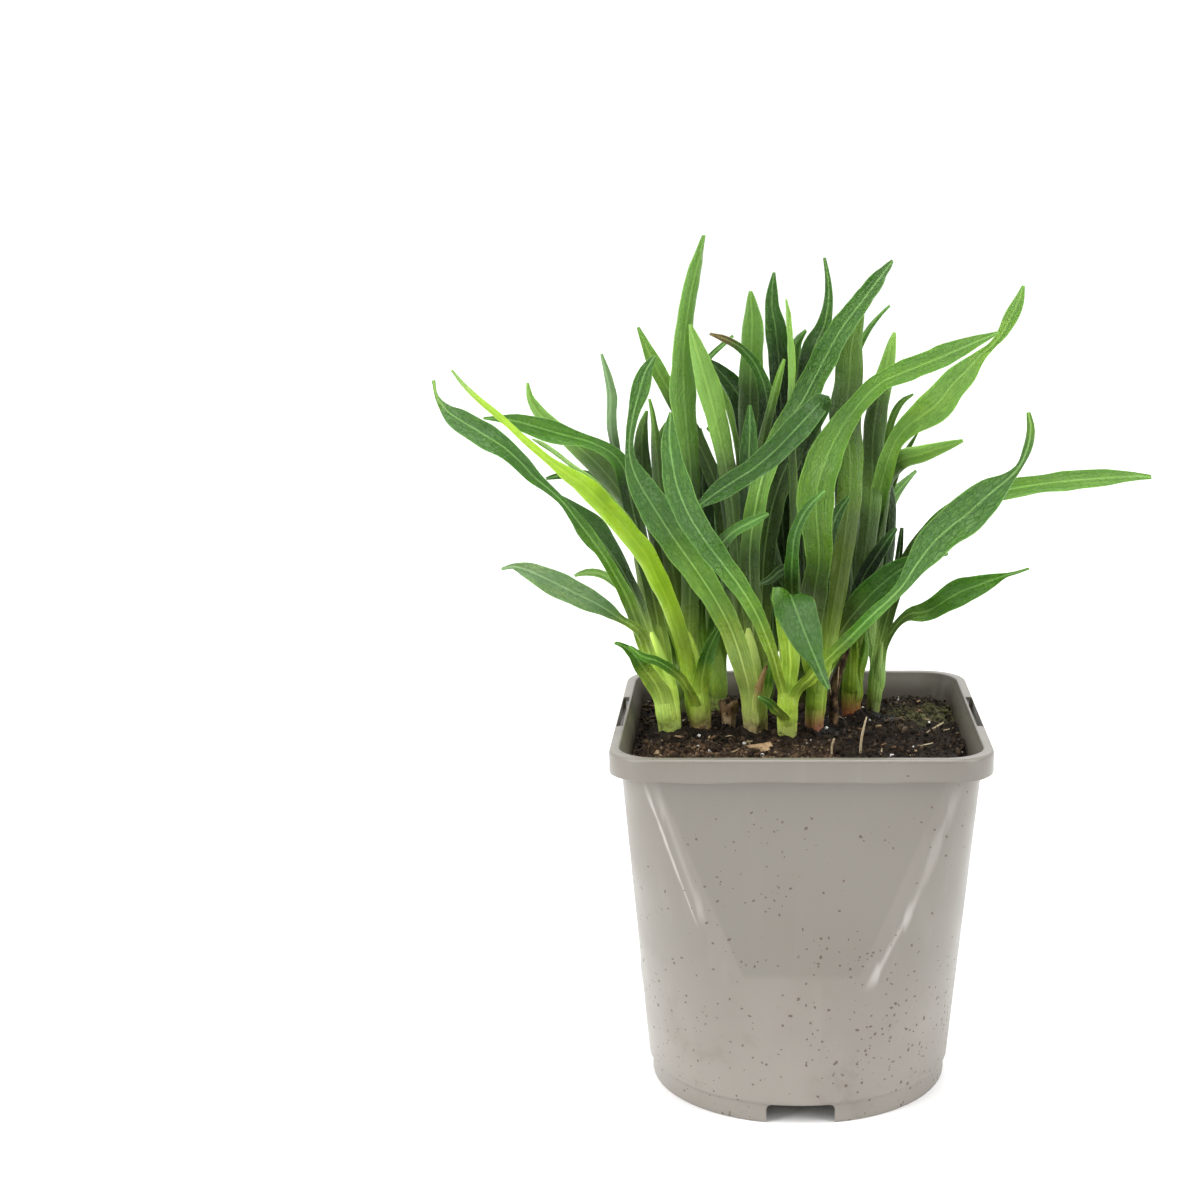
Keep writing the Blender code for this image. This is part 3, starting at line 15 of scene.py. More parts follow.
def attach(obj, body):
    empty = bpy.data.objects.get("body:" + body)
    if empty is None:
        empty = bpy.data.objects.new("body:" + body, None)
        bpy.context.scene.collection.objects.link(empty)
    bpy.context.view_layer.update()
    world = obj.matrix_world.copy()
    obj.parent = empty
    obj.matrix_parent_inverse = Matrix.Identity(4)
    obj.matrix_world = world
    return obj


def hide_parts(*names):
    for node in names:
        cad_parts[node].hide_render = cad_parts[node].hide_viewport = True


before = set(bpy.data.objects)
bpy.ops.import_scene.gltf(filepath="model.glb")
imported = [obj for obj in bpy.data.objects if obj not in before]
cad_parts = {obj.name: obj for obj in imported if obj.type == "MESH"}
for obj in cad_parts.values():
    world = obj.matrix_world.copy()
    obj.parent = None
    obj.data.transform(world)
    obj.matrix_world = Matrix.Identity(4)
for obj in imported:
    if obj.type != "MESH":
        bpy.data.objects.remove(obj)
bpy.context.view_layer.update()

MM = 0.001
BODY = "root"

# Pot.
POT_HEIGHT = 91.9
RIM_HALF = 45.0              # half the outer width of the rim
RIM_FLAT = 34.0              # half the straight run of the rim's side
RIM_DEPTH = 5.5              # how far the folded rim hangs down
RIM_WALL = 1.0
RIM_ROUND = 0.9              # rounding of the rim's outer edge
MOUTH_ROUND = 0.45           # rounding of its inner edge
RIM_WAVER = 0.5              # how far the flange's lower edge wanders up and down
RIM_PACE = 0.06              # how quickly it does so along the rim
POT_EDGE_ANGLE = 35          # the pot's edges stay sharp from this angle
SKIRT = POT_HEIGHT - RIM_DEPTH
OPENING_HALF = 42.5          # half the width of the pot's mouth
SHOULDER = 88.0              # the wall steps out to the mouth from this height
WALL = 1.0
BODY_TOP_HALF = 42.2         # body half-width right under the rim
BODY_FOOT_HALF = 37.8
BODY_TOP_FLAT = 33.0         # half the flat panel's width at the top
PANEL_FOOT = 38.0            # the panel is flat down to here and rounds out below
ROUND_FROM = 26.0            # from here down the sides are as round as the corners
PANEL_FOOT_HALF = 13.7       # half the panel's width at its foot
PANEL_FLARE = 0.41           # how fast its half-width grows with height
POINT_FOOT = 4.0             # height at which the corners have become a circle
FOOT_HEIGHT = 5.0
FOOT_HALF = 36.9
FOOT_WALL = 1.5
BASE_PLATE = 1.2
PLATE_TOP = FOOT_HEIGHT + BASE_PLATE
WALL_HEIGHTS = (PLATE_TOP, 9, 13, 17, 21, 24, 26, 28, 30, 32, 34, 36, 37.4, 38, 38.8, 42, 48, 56, 64,
                72, 80)      # of the rings that shape the wall
NOTCH_WIDTH = 16.4
NOTCH_CORNER = 1.4
NOTCH_ANGLES = (-90.0, 30.0, 150.0)
DRAIN_HOLES = 6
DRAIN_RADIUS = 2.6
DRAIN_CIRCLE = 22.0
SLOT_HALF_LENGTH = 14.5      # label slot through each side of the rim's flange
SLOT_INNER = 43.0
SLOT_OUTER = 44.6
SLOT_DEPTH = 3.0
CORNER_STEPS = 16
SIDE_STEPS = 15

# Soil and what stands in it.
SOIL_LEVEL = 85.4
SOIL_EDGE = 84.0
SOIL_STEPS = 60              # rings of the soil's top, from the wall to the middle
STEM_FOOT = 73.0             # the shoots' cores start here, inside the soil
STUB_FOOT = 78.0             # and the two old stems here
STUMP_BASE = (-17.6, 6.5)
DRY_BASE = (9.1, 9.0)
CRUMBS = 5200
FIBRES = 1700
PERLITE = 34
CHIPS = 46
BIG_CHIP = 5.0               # a chip longer than this leans towards the front
STRAWS = 26
SPLINTERS = 26               # splinters on the stump's frayed top
RIM_DIRT = 90
SOIL_SHINE = 0.16            # how strongly soil and dry bits reflect

# Leaves.
EYE = (-10.16, -510.9, 222.9)    # the leaf routes are laid out as seen from here
NEAR_LEAN = 1.6                  # extra lean of what comes forward of the pot's middle
BLADE = 0.75                     # room for a blade's thickness where leaves cross
SHEATH = 1.3                     # and what its sheath adds to it
SKIN = 0.52                      # thickness of a blade along its middle
MIDRIB = 0.4                     # half-width of its midrib
GUTTER = 0.22                    # how far a blade's edges rise, for each half-width
STATIONS = 25
CORE_STATIONS = 16
CLEARANCE = 0.9                  # gap left between blades that cross
SIDE_ROOM = 1.6                  # blades that pass this close side by side count as crossing
SHEATH_SHARE = 0.3               # share of a leaf where it may touch others of its shoot
SETTLE_ROUNDS = 260
END_ON = 0.35                    # a blade that shows less of its length is seen end on
CROWD_REACH = 9.0                # how far aside a leaf still counts towards the painted shade on another
ACROSS = 14                      # faces across a blade
CORE_SIDES = 60
STEP = 1.6                       # length of a face along a blade
CLASP = 15.0                     # length over which a leaf lies round its shoot's core
PAINTED_CLUMP_SHADE = 0.78               # how much shade is painted into the colour of leaves inside the clump
SHADE_HEIGHTS = (94.0, 124.0)    # heights between which that painted shade sets in
GREENING = (85.5, 95.0)          # heights between which a shoot's foot turns green
SHEATH_LENGTHS = (8.0, 42.0)     # lengths along a leaf over which the sheath's colour fades
HIGH_SHARES = (0.35, 0.62)       # shares of its length over which its colour changes
TIP_SHARES = (0.9, 0.985)        # and over which a tip of another colour sets in
LEAF_EDGE_ANGLE = 60
NUMBERS_EACH = 9                 # numbers kept for the leaves of each shoot

# Each shoot: base x and depth, half-widths of its core, top x, top depth, top height.
SHOOTS = {
    "shoot_01": (-32.0, 2.0, 3.3, 2.9, -36.5, 3.0, 112.0),
    "shoot_02": (-24.6, 5.0, 3.1, 2.8, -27.5, 6.0, 112.0),
    "shoot_03": (-20.3, 24.0, 2.6, 2.6, -20.2, 23.0, 112.0),
    "shoot_04": (-10.9, 1.5, 3.4, 2.9, -12.6, 2.0, 113.0),
    "shoot_05": (-2.8, -3.5, 2.7, 2.5, -3.0, -4.0, 108.0),
    "shoot_06": (3.8, 3.0, 2.6, 2.5, 5.6, 2.0, 110.0),
    "shoot_07": (13.0, 18.0, 2.7, 2.6, 13.6, 16.5, 112.0),
    "shoot_08": (18.6, 22.5, 2.0, 2.2, 21.0, 18.0, 113.0),
    "shoot_09": (-28.5, 21.0, 2.8, 2.8, -30.0, 22.5, 112.0),
    "shoot_10": (-9.0, 24.0, 3.0, 3.0, -8.6, 22.0, 114.0),
    "shoot_11": (1.5, 27.0, 3.0, 3.0, 1.6, 26.0, 114.0),
    "shoot_12": (10.5, 30.5, 2.8, 2.8, 11.0, 31.0, 112.0),
}

# Each leaf: shoot, colour low down and towards the tip, twist at the root and the tip in
# degrees, side of the blade that faces the front (1 upper, -1 under), number of edge waves,
# then its route from root to tip as (x, z, depth, width); x and z are read on the upright
# plane through the pot's axis.
LEAVES = {
    "left_low_hood": ("shoot_01", "lime", "mid", 10, 25, 1, 0, (
        (-32.5, 89, 1, 5), (-34, 94.5, -1, 5), (-36, 99.3, -4, 5), (-38.9, 103.4, -8, 4),
        (-41.6, 107.1, -11, 2.6), (-43.4, 108.5, -12.5, 1.5), (-45.7, 109.4, -14, 0.8))),
    "left_long": ("shoot_01", "fresh", "dark", -20, 15, 1, 2, (
        (-33, 89, 2, 4), (-35, 98, 1, 4), (-37.8, 107, -1, 3.7), (-40.4, 115, -4, 3.5),
        (-42.3, 120.1, -5.5, 3.4), (-44, 123.6, -7, 3.2), (-46.2, 127.6, -8, 2.9),
        (-48.8, 132.1, -9, 2.8), (-51.4, 135.7, -9.6, 3.2), (-54, 139.2, -10.3, 3.4),
        (-56.8, 143, -11, 2.2), (-59.4, 146.1, -11, 1.7), (-62.4, 148.6, -11, 2.6),
        (-65.2, 151, -11, 3.4), (-70.4, 156.7, -11, 4.6), (-73.8, 159.2, -10.7, 5.4),
        (-78, 161.9, -10, 6), (-83, 165, -9, 5.2), (-86.8, 168, -8, 2.4), (-88.3, 170.3, -7.5, 0.9),
        (-89.3, 172.3, -7, 1.4), (-89.2, 174.7, -6.5, 0.9))),
    "left_dark": ("shoot_01", "fresh", "dark", 15, -10, 1, 1, (
        (-33, 90, 4, 3), (-36.6, 108, 6, 3.2), (-40.5, 121.3, 5, 3.4), (-42.3, 124.9, 3.5, 3.6),
        (-44, 128, 2, 4), (-46, 131.2, 0, 5), (-48.3, 134.3, -1.5, 6.5), (-51.2, 137.9, -3, 7.2),
        (-54, 141, -4, 5.6), (-56.6, 144.1, -5.5, 2.4), (-58.5, 145.9, -6, 0.9))),
    "left_crossing": ("shoot_01", "lime", "light", 10, 20, -1, 1, (
        (-32, 90, 3, 4.5), (-35, 105, 5, 4.5), (-37.3, 118, 7, 4.5), (-39.2, 130, 8, 3.5),
        (-40.8, 140, 8, 3.2), (-44.5, 148, 8, 4.5), (-49.5, 154.3, 8, 6.5), (-55, 159.3, 7, 5),
        (-60.5, 163.6, 6, 3.5), (-64.3, 167.6, 5, 2.8), (-65.9, 170.6, 4, 1.8),
        (-66.4, 174.1, 3, 0.7))),
    "left_level": ("shoot_01", "fresh", "mid", -15, 15, 1, 1, (
        (-31.5, 92, 4, 4), (-33.5, 105, 6, 4), (-36, 120, 7, 4), (-38.7, 133, 6, 4),
        (-41, 143, 4, 4.5), (-42.3, 150, 2, 4.8), (-43.8, 154.6, 0, 4.4), (-47, 157.5, -2, 3.6),
        (-52, 159.8, -3, 3), (-57, 161.1, -4, 4.6), (-63, 162.9, -5, 5.4), (-69, 164.6, -5, 3.8),
        (-73.5, 165.3, -5, 1.6), (-77.3, 165.4, -5, 0.7))),
    "left_upright": ("shoot_01", "fresh", "grey", 30, 30, -1, 0, (
        (-32, 92, 5, 3), (-36, 112, 8, 3.2), (-39.5, 130, 12, 3), (-43, 148, 13, 2.8),
        (-45.2, 158, 13, 2.7), (-46.1, 164.2, 12, 2.8), (-46, 171.4, 11, 2.8), (-46.9, 176, 10, 2),
        (-48.3, 181.2, 9, 0.7))),
    "left_spread": ("shoot_01", "blue", "grey", -15, 10, 1, 3, (
        (-34, 93, 0, 3), (-36.5, 104, -3, 3), (-38.6, 110.8, -6, 2.6), (-41, 113.4, -8, 2.2),
        (-44.5, 115.5, -10, 2), (-48, 118, -12, 3.8), (-52.5, 120.4, -14, 5.2),
        (-58, 123.2, -16, 6), (-63.5, 126, -18, 5.4), (-68, 128, -19, 3.2),
        (-71.3, 128.6, -20, 1.1), (-73.5, 127.9, -20.5, 0.7))),
    "left_small": ("shoot_01", "fresh", "light", 10, 15, 1, 0, (
        (-33, 94, 4, 2.4), (-37.5, 110, 9, 2.4), (-40.5, 119.3, 12, 2.2), (-43.3, 122.5, 14, 2.1),
        (-46, 125, 15, 2.2), (-49, 126.8, 16, 2.3), (-52.5, 127.2, 17, 1.8),
        (-55.5, 126.3, 18, 0.7))),
    "left_behind": ("shoot_09", "mid", "dark", 10, 10, 1, 0, (
        (-28.2, 95, 20, 2.6), (-31.5, 112, 21, 3), (-37, 130, 20, 3), (-43, 142, 18, 3),
        (-48, 148.7, 16, 3.2), (-53, 151.4, 15, 2.8), (-58, 151.4, 14, 2), (-62.2, 150.5, 13, 0.7))),
    "hood_over": ("shoot_02", "mid", "mid", -10, 20, 1, 0, (
        (-25.8, 89.5, 3, 2.6), (-26.4, 93, 0, 2.4), (-28.2, 98.5, -6, 2.3), (-31.5, 102.3, -10, 2.3),
        (-35.5, 104.8, -14, 2.2), (-39.5, 106.3, -17, 1.8), (-42, 108.4, -18.5, 0.8))),
    "bright_reach": ("shoot_02", "lime", "lime", 15, -15, -1, 0, (
        (-25.5, 89.5, 4, 4.5), (-26.8, 96, 3, 4.2), (-28.2, 106, 0, 4), (-31, 116, -4, 4.2),
        (-34.7, 125, -8, 4.8), (-39.5, 133.9, -11, 5), (-42.4, 137.2, -12, 5),
        (-45, 140.6, -13, 4.8), (-48.4, 144.3, -14.3, 5), (-51.9, 148.1, -15.7, 4.6),
        (-56, 151.1, -17, 3.7), (-58.8, 152.9, -17.7, 2.4), (-61.4, 155.1, -18.3, 2),
        (-64.5, 157.7, -19, 1.8), (-67.9, 160.7, -20, 1.6), (-72.7, 165.3, -21, 1.5),
        (-77, 168.9, -22, 1.5), (-81, 172.6, -23, 1.1), (-84.8, 177.2, -24, 0.6))),
    "tall_left": ("shoot_02", "fresh", "leafy", 10, -25, -1, 0, (
        (-25.5, 90, 6, 4.5), (-27.3, 105, 8, 4.6), (-27, 120, 9, 4.5), (-26.9, 135, 9, 4.2),
        (-26.6, 150, 8, 4.6), (-27.6, 162, 6, 5.6), (-28.4, 172, 4, 6.6), (-28.4, 181, 1, 5),
        (-27.6, 190, -2, 4.2), (-25.8, 199.5, -6, 3.6), (-23.2, 209.8, -10, 0.8))),
    "edge_on_left": ("shoot_02", "fresh", "light", 40, 62, 1, 0, (
        (-25.5, 92, 7, 3), (-31, 112, 7, 3), (-36, 128, 3, 3), (-42, 140.3, -1, 2.8),
        (-45.2, 144.3, -2, 2.6), (-48.6, 148.1, -3.5, 2.4), (-52.1, 151.2, -4.5, 2.2),
        (-55.6, 153.6, -5.3, 2), (-59, 156.5, -6.3, 2), (-62, 158.6, -7, 1.9),
        (-65.3, 160.4, -8, 0.8))),
    "bright_inner": ("shoot_02", "lime", "fresh", -10, 20, -1, 0, (
        (-25.5, 92, 7, 3.5), (-28.2, 106, 11, 4), (-30, 120, 13, 4.5), (-31.8, 132, 14, 4.5),
        (-33.4, 143, 14, 4), (-34.4, 151, 13, 3.8), (-34.8, 156, 12.6, 3.5), (-35.2, 160, 12, 2.6),
        (-35.6, 164, 11.4, 1.6), (-36, 167, 10.8, 1.2), (-36.7, 170.2, 10, 0.7))),
    "bright_outer": ("shoot_09", "lime", "light", 10, -10, -1, 0, (
        (-28.5, 95, 21, 3.5), (-31, 112, 22, 4), (-34, 130, 22, 4), (-36.8, 144, 21, 4.2),
        (-38.5, 153.9, 20, 4.4), (-38.7, 158.3, 19, 4), (-38.5, 161.8, 18, 3),
        (-38, 164.9, 17, 1.8), (-37.3, 167.3, 16, 0.8))),
    "bright_back": ("shoot_09", "lime", "light", 8, -10, -1, 0, (
        (-28.2, 95, 23, 3), (-30.5, 112, 25, 3.6), (-32, 128, 25, 4), (-33, 142, 24, 4.4),
        (-33.7, 153.9, 22, 4.5), (-33.6, 158.3, 21, 4), (-33.2, 161.8, 20, 2.5),
        (-32.5, 164.4, 19, 0.8))),
    "rolled_low": ("shoot_02", "light", "mid", -10, -30, 1, 1, (
        (-24.2, 91, 3, 4), (-24, 100, 2, 4.4), (-22.8, 106.5, 1, 4), (-21.2, 110.5, 1, 3),
        (-19.4, 113.8, 1, 1))),
    "broad_left": ("shoot_04", "light", "slate", 12, -20, 1, 0, (
        (-11, 89, 0, 5), (-12, 95, -2, 5.2), (-14, 104, -4, 5.4), (-16.6, 112, -6, 5.6),
        (-20, 119, -8, 5.8), (-24, 125.5, -10, 6.4), (-28.3, 131.8, -12, 7.2),
        (-32.5, 138, -14, 7.6), (-36.5, 144.5, -15, 7.4), (-40, 150.7, -16, 5.2),
        (-41.7, 156.5, -16.5, 2.2), (-41.6, 160.9, -17, 1.9), (-41, 164.9, -17, 2.6),
        (-40.2, 168.2, -17, 3.2), (-39.3, 171.4, -17, 4), (-38.2, 174.9, -16.7, 4.2),
        (-37.2, 178, -16.4, 3), (-35.3, 180.7, -16, 0.7))),
    "centre_left": ("shoot_05", "light", "slate", 10, -15, 1, 0, (
        (-3.6, 88.5, -4, 2.4), (-4.4, 97, -6, 2.5), (-5.8, 104, -8, 2.7), (-8, 110.5, -10, 3.2),
        (-11, 117.5, -12.5, 3.8), (-15, 124, -15, 4.4), (-19.5, 130, -17.5, 5.2),
        (-24, 136.2, -20, 6), (-27.6, 142.3, -21.5, 6.2), (-30, 148.5, -22, 6.3),
        (-31.3, 155, -22, 5), (-31.9, 161, -21.5, 3.4), (-31.5, 166.9, -21, 0.8))),
    "long_right_up": ("shoot_04", "light", "slate", -12, 25, 1, 0, (
        (-10.5, 90, 2, 4.5), (-11, 105, 4, 4.6), (-11.8, 120, 4, 4.8), (-12.2, 132, 3, 4.8),
        (-11, 142, 2, 5), (-9.3, 150, 1, 5), (-6.5, 157.3, 0, 5.2), (-3, 163.8, -2, 5.4),
        (0.6, 169.5, -4, 6), (3.5, 175, -6, 6.4), (6.5, 180.8, -8, 6.2), (9.9, 186.9, -11, 5.6),
        (14.3, 192.8, -14, 4.8), (18.9, 199, -18, 3.6), (22.4, 203.6, -22, 0.8))),
    "folded_over": ("shoot_04", "fresh", "deep", 10, 10, 1, 1, (
        (-10.6, 92, 3, 4), (-9.6, 105, 8, 4.6), (-9.2, 120, 11, 5.2), (-8.2, 135, 11, 5.8),
        (-6, 146, 9, 6.2), (-2.5, 155, 6, 6.2), (1.8, 162, 2, 5.6), (5, 167.2, -3, 4.4),
        (5.6, 169.2, -8, 4.2), (3.8, 168, -12, 5), (0.6, 164.4, -13, 5.6), (-3, 160.6, -13.5, 6),
        (-8, 155.6, -13.5, 5.4), (-13, 151.8, -13.5, 4.8), (-17.5, 149, -14, 5),
        (-21.5, 146.2, -14.5, 3.8), (-25.2, 143.4, -15, 0.9))),
    "upright_pale_left": ("shoot_04", "fresh", "light", -10, 20, -1, 0, (
        (-11.5, 92, 3, 3.5), (-13.9, 108, 7, 4), (-14.4, 120, 8, 4.4), (-15.2, 132, 8, 4.2),
        (-16.3, 143, 8, 4), (-17.8, 153, 7, 4.6), (-19.6, 162, 5, 5), (-21.8, 171, 2, 6),
        (-24.3, 180, -1, 4.6), (-26.7, 188.3, -4, 0.8))),
    "leaning_left": ("shoot_03", "fresh", "light", 10, -15, 1, 0, (
        (-20.1, 95, 24, 4), (-19.5, 108, 23, 4), (-18.6, 120, 22, 4), (-18.2, 132, 20, 4),
        (-18.8, 141, 18, 4), (-20.3, 148.5, 16, 4), (-22.8, 155, 15, 4), (-26, 161.5, 14, 4.2),
        (-29.6, 168, 13, 4.2), (-33.2, 174.5, 11, 4), (-36.5, 181, 9, 3.2), (-39.3, 187.6, 7, 0.7))),
    "short_back_left": ("shoot_03", "fresh", "mid", 0, 10, 1, 0, (
        (-20.4, 96, 24, 3), (-21.5, 108, 22, 3.4), (-20.2, 118, 20, 3), (-19, 125.3, 18, 0.8))),
    "dark_back_left": ("shoot_03", "mid", "dark", -8, 10, -1, 0, (
        (-20.5, 96, 26, 3.6), (-23, 104, 27, 4.6), (-24, 113, 28, 5), (-23.8, 125, 28, 5.4),
        (-23.6, 138, 26, 5.8), (-23.7, 148, 24, 5.6), (-23.9, 156, 22, 4), (-24.4, 163, 20, 0.8))),
    "thin_cross": ("shoot_03", "fresh", "mid", 10, 25, 1, 0, (
        (-20.3, 96, 27, 2.6), (-24, 125, 30, 2.8), (-27, 150, 28, 2.6), (-27.5, 166, 24, 2.4),
        (-25.5, 175, 20, 2), (-22.1, 180.1, 17, 1.5), (-19, 183, 15, 1.4),
        (-16.2, 185.5, 13, 0.7))),
    "dark_left_tip": ("shoot_10", "mid", "dark", 5, -20, 1, 0, (
        (-9.4, 96, 24, 4), (-10.5, 120, 22, 4), (-11.5, 140, 18, 4), (-12.2, 155, 15, 4.5),
        (-13.3, 164, 12, 5), (-14.6, 170.2, 9, 5.6), (-16.6, 173.6, 7, 5.2), (-19.3, 176.6, 5, 3.8),
        (-22.8, 179.9, 3, 0.7))),
    "inner_curl": ("shoot_10", "mid", "dark", 6, 14, -1, 0, (
        (-9.5, 97, 23, 3), (-12, 115, 21, 3.4), (-15, 132, 18, 3.6), (-17.8, 145, 15, 3.8),
        (-18.6, 151.4, 13.5, 3.6), (-18.6, 155.4, 12.5, 3.2), (-19.3, 158.6, 12, 2.6),
        (-20.9, 161.8, 11, 1.8), (-22.7, 163.1, 10, 0.7))),
    "inner_left": ("shoot_10", "fresh", "light", 8, -12, -1, 0, (
        (-9.2, 97, 25, 3), (-11, 118, 24, 3.4), (-13, 138, 21, 3.4), (-13.9, 150, 18, 3.2),
        (-14.3, 156.7, 17, 3), (-15.1, 161.6, 16, 2.9), (-16.5, 166.5, 15, 2.6),
        (-18, 171, 14, 1.8), (-19.7, 173.8, 13, 0.7))),
    "low_back_left": ("shoot_10", "mid", "dark", -6, 8, -1, 0, (
        (-9.5, 96, 26, 3), (-12.2, 103, 27, 4), (-14.2, 110, 27, 4), (-15.8, 118, 26, 4.2),
        (-17.3, 127, 25, 4), (-17.6, 134, 24, 2.4), (-17.8, 138, 23, 0.8))),
    "upright_light": ("shoot_10", "fresh", "leafy", -8, 12, -1, 0, (
        (-9, 97, 23, 4), (-10, 115, 21, 4.5), (-11, 135, 18, 5), (-11.8, 150, 15, 5.5),
        (-12.1, 165, 10, 6), (-12, 174, 6, 6), (-11.7, 182, 3, 5.6), (-11.5, 189.5, 0, 4.6),
        (-12, 196.4, -4, 0.8))),
    "short_dark": ("shoot_04", "mid", "dark", 5, 10, 1, 0, (
        (-10.8, 92, 3, 3), (-11.8, 110, 6, 4), (-12.2, 125, 7, 4.4), (-12.4, 140, 6, 4.6),
        (-12.4, 150, 4, 4.8), (-12.3, 158, 2, 4.4), (-12.1, 164, 1, 3), (-12.2, 168.6, 0, 0.9))),
    "arched_brown_tip": ("shoot_10", "mid", "dark", -15, 30, 1, 0, (
        (-8.6, 95, 24, 4), (-6.6, 110, 22, 4), (-7.4, 130, 20, 4.5), (-8, 148, 15, 5),
        (-8, 160, 10, 5), (-7.8, 168, 6, 4.6), (-8.6, 173.5, 3, 3.6), (-10.2, 177.6, 1, 2.9),
        (-12.2, 180.6, -1, 2.7), (-14.8, 183, -3, 2.3), (-18.3, 184.9, -5, 1.7),
        (-21.9, 186.1, -6, 0.7))),
    "upright_dark": ("shoot_11", "mid", "dark", 8, -12, 1, 0, (
        (0.6, 96.5, 28, 4), (-1, 112, 29, 4), (-3.5, 130, 27, 4.5), (-4.5, 150, 20, 4.8),
        (-4.5, 165, 14, 5), (-4.8, 174, 11, 5.1), (-5.4, 182, 7, 5.3), (-6, 187.6, 4, 5.2),
        (-6.8, 192.1, 1.5, 3.9), (-6.8, 195.9, 0, 2.8), (-6.3, 200.9, -2, 0.7))),
    "edge_on_centre": ("shoot_05", "light", "light", 50, 68, -1, 0, (
        (-2.6, 90, -3, 3), (-1, 108, -1, 3.4), (-1.2, 125, 1, 3.6), (-1.8, 145, 3, 3.6),
        (-2.1, 160, 3, 3.6), (-2.2, 171, 1, 3.6), (-2.3, 180, -3, 3.4), (-2.7, 188, -7, 2.6),
        (-3.3, 194.5, -10, 0.7))),
    "slim_centre": ("shoot_11", "mid", "fresh", 10, 20, -1, 0, (
        (0.6, 97, 25, 3), (-1.5, 113, 20, 3), (-6, 130, 15, 3), (-9.2, 143, 11, 3),
        (-9.8, 155, 8, 2.6), (-8.8, 161, 6, 2.5), (-7.4, 166.5, 5, 2.3), (-6.2, 171.5, 4, 2.1),
        (-5, 176, 3, 1.9), (-3.8, 179.8, 2, 0.7))),
    "small_tip_centre": ("shoot_11", "fresh", "mid", -10, 20, -1, 0, (
        (1.2, 97, 28.5, 3), (0.5, 120, 29, 3.4), (-1, 145, 25, 3.6), (-1.8, 165, 19, 3.6),
        (-1.6, 176, 15, 3.4), (-1.3, 181.7, 12, 3), (-0.6, 184.2, 10.5, 2.4),
        (0.4, 185.6, 9.5, 1.8), (1.5, 186.9, 8.5, 0.8))),
    "dark_inner_right": ("shoot_11", "mid", "dark", 8, -10, -1, 0, (
        (2.2, 97, 29, 3.4), (3, 118, 30, 4.4), (2.6, 138, 27, 5), (2.4, 150, 24, 5),
        (3, 158, 22, 4.4), (4, 165, 20, 3), (5.5, 171, 18, 0.8))),
    "tall_centre": ("shoot_11", "mid", "slate", -10, 15, 1, 0, (
        (1.8, 97, 27, 4), (1.5, 120, 24, 4.5), (0.8, 140, 20, 5), (0.6, 158, 16, 5),
        (1.2, 170, 12, 5.2), (2.4, 178.5, 9, 5.4), (3.9, 183.5, 6.5, 5.6), (5.4, 186.6, 5, 4.4),
        (6.2, 189.4, 3.5, 3.2), (6.7, 191.8, 2.4, 2.6), (7, 194.9, 1, 2.2), (6.9, 198, -0.5, 1.7),
        (6.5, 201.1, -2, 1.1), (5.9, 204.4, -4, 0.7))),
    "olive_column": ("shoot_06", "lime", "olive", 8, -8, -1, 0, (
        (3.8, 90, 3, 4), (4.9, 97, 3, 4.4), (6.6, 107, 3, 4.6), (8.2, 116, 3, 4.8),
        (9.7, 125, 3, 5), (11.1, 135, 3, 5.4), (12.2, 145, 3, 6), (12.4, 155, 4, 6.6),
        (11.2, 166.2, 6, 8), (12, 174.2, 7, 7.2), (12.2, 179.5, 7, 6.5), (12.8, 184.8, 6.5, 5.2),
        (13.9, 188.5, 6, 3.4), (15.1, 190.9, 5, 1.2))),
    "broad_right_up": ("shoot_06", "olive", "leafy", 12, 20, 1, 1, (
        (3.3, 92, 1, 4), (3.2, 101, -1, 4.5), (3, 112, -3, 5), (3.8, 122, -5, 6.4),
        (5, 131, -7, 6.2), (4.4, 139, -8, 8.4), (4.4, 148, -8, 9.6), (7.2, 157, -8, 8.6),
        (11.2, 164.4, -9, 6), (15.2, 169.6, -10, 4.8), (20, 174.2, -12, 4.6), (25.5, 176.7, -14, 5),
        (31, 178.9, -16, 5.2), (37, 181.5, -18, 4.8), (43, 184.1, -19.5, 2.8), (48.2, 186.3, -21, 0.7))),
    "upright_right": ("shoot_07", "light", "light", -10, 20, -1, 0, (
        (13, 95, 18, 3.8), (13.4, 103, 18, 4), (14.3, 115, 17, 4.2), (15.8, 128, 15, 4.5),
        (17.2, 140, 14, 5), (17.9, 150, 13, 5.4), (18, 160, 12, 5.6), (18.9, 167.8, 10.5, 5.4),
        (20.1, 173.2, 8.5, 4.8), (20.8, 176.9, 7.3, 4.3), (21.6, 180, 6.4, 3.6),
        (22.2, 183.2, 5.7, 2.6), (23, 186.4, 5, 0.7))),
    "needle_right": ("shoot_12", "fresh", "mid", 10, 20, -1, 0, (
        (10.6, 98, 32, 4), (11, 125, 30, 4), (11.5, 150, 26, 4), (12.5, 170, 21, 3.5),
        (14.3, 182.5, 17, 2), (18.1, 189.1, 13, 1.2), (21.8, 192.9, 10, 0.6))),
    "back_right": ("shoot_12", "fresh", "mid", 8, -10, -1, 0, (
        (10.8, 98, 33, 3.4), (11.6, 115, 35, 5.4), (12, 132, 34, 6.6), (11.8, 145, 32, 6.6),
        (11.4, 155, 30, 4.6), (11.5, 163, 28, 2), (12, 168, 26, 0.7))),
    "twisted_right_up": ("shoot_07", "fresh", "light", 4, -8, 1, 1, (
        (13.4, 96, 18, 4), (14.5, 112, 18, 4), (16.4, 128, 17, 4.2), (18.4, 141, 15, 4.5),
        (20.8, 152, 12, 4.6), (23.4, 159.6, 8.5, 4.2), (26.3, 163.3, 5.5, 5),
        (28.9, 165.4, 3.5, 6.8), (32.6, 167.9, 0.6, 8), (36.8, 173.2, -2, 7.4),
        (40.4, 176.9, -4, 6), (43.8, 180.6, -5.7, 3.2), (46.7, 183.2, -7, 1.8),
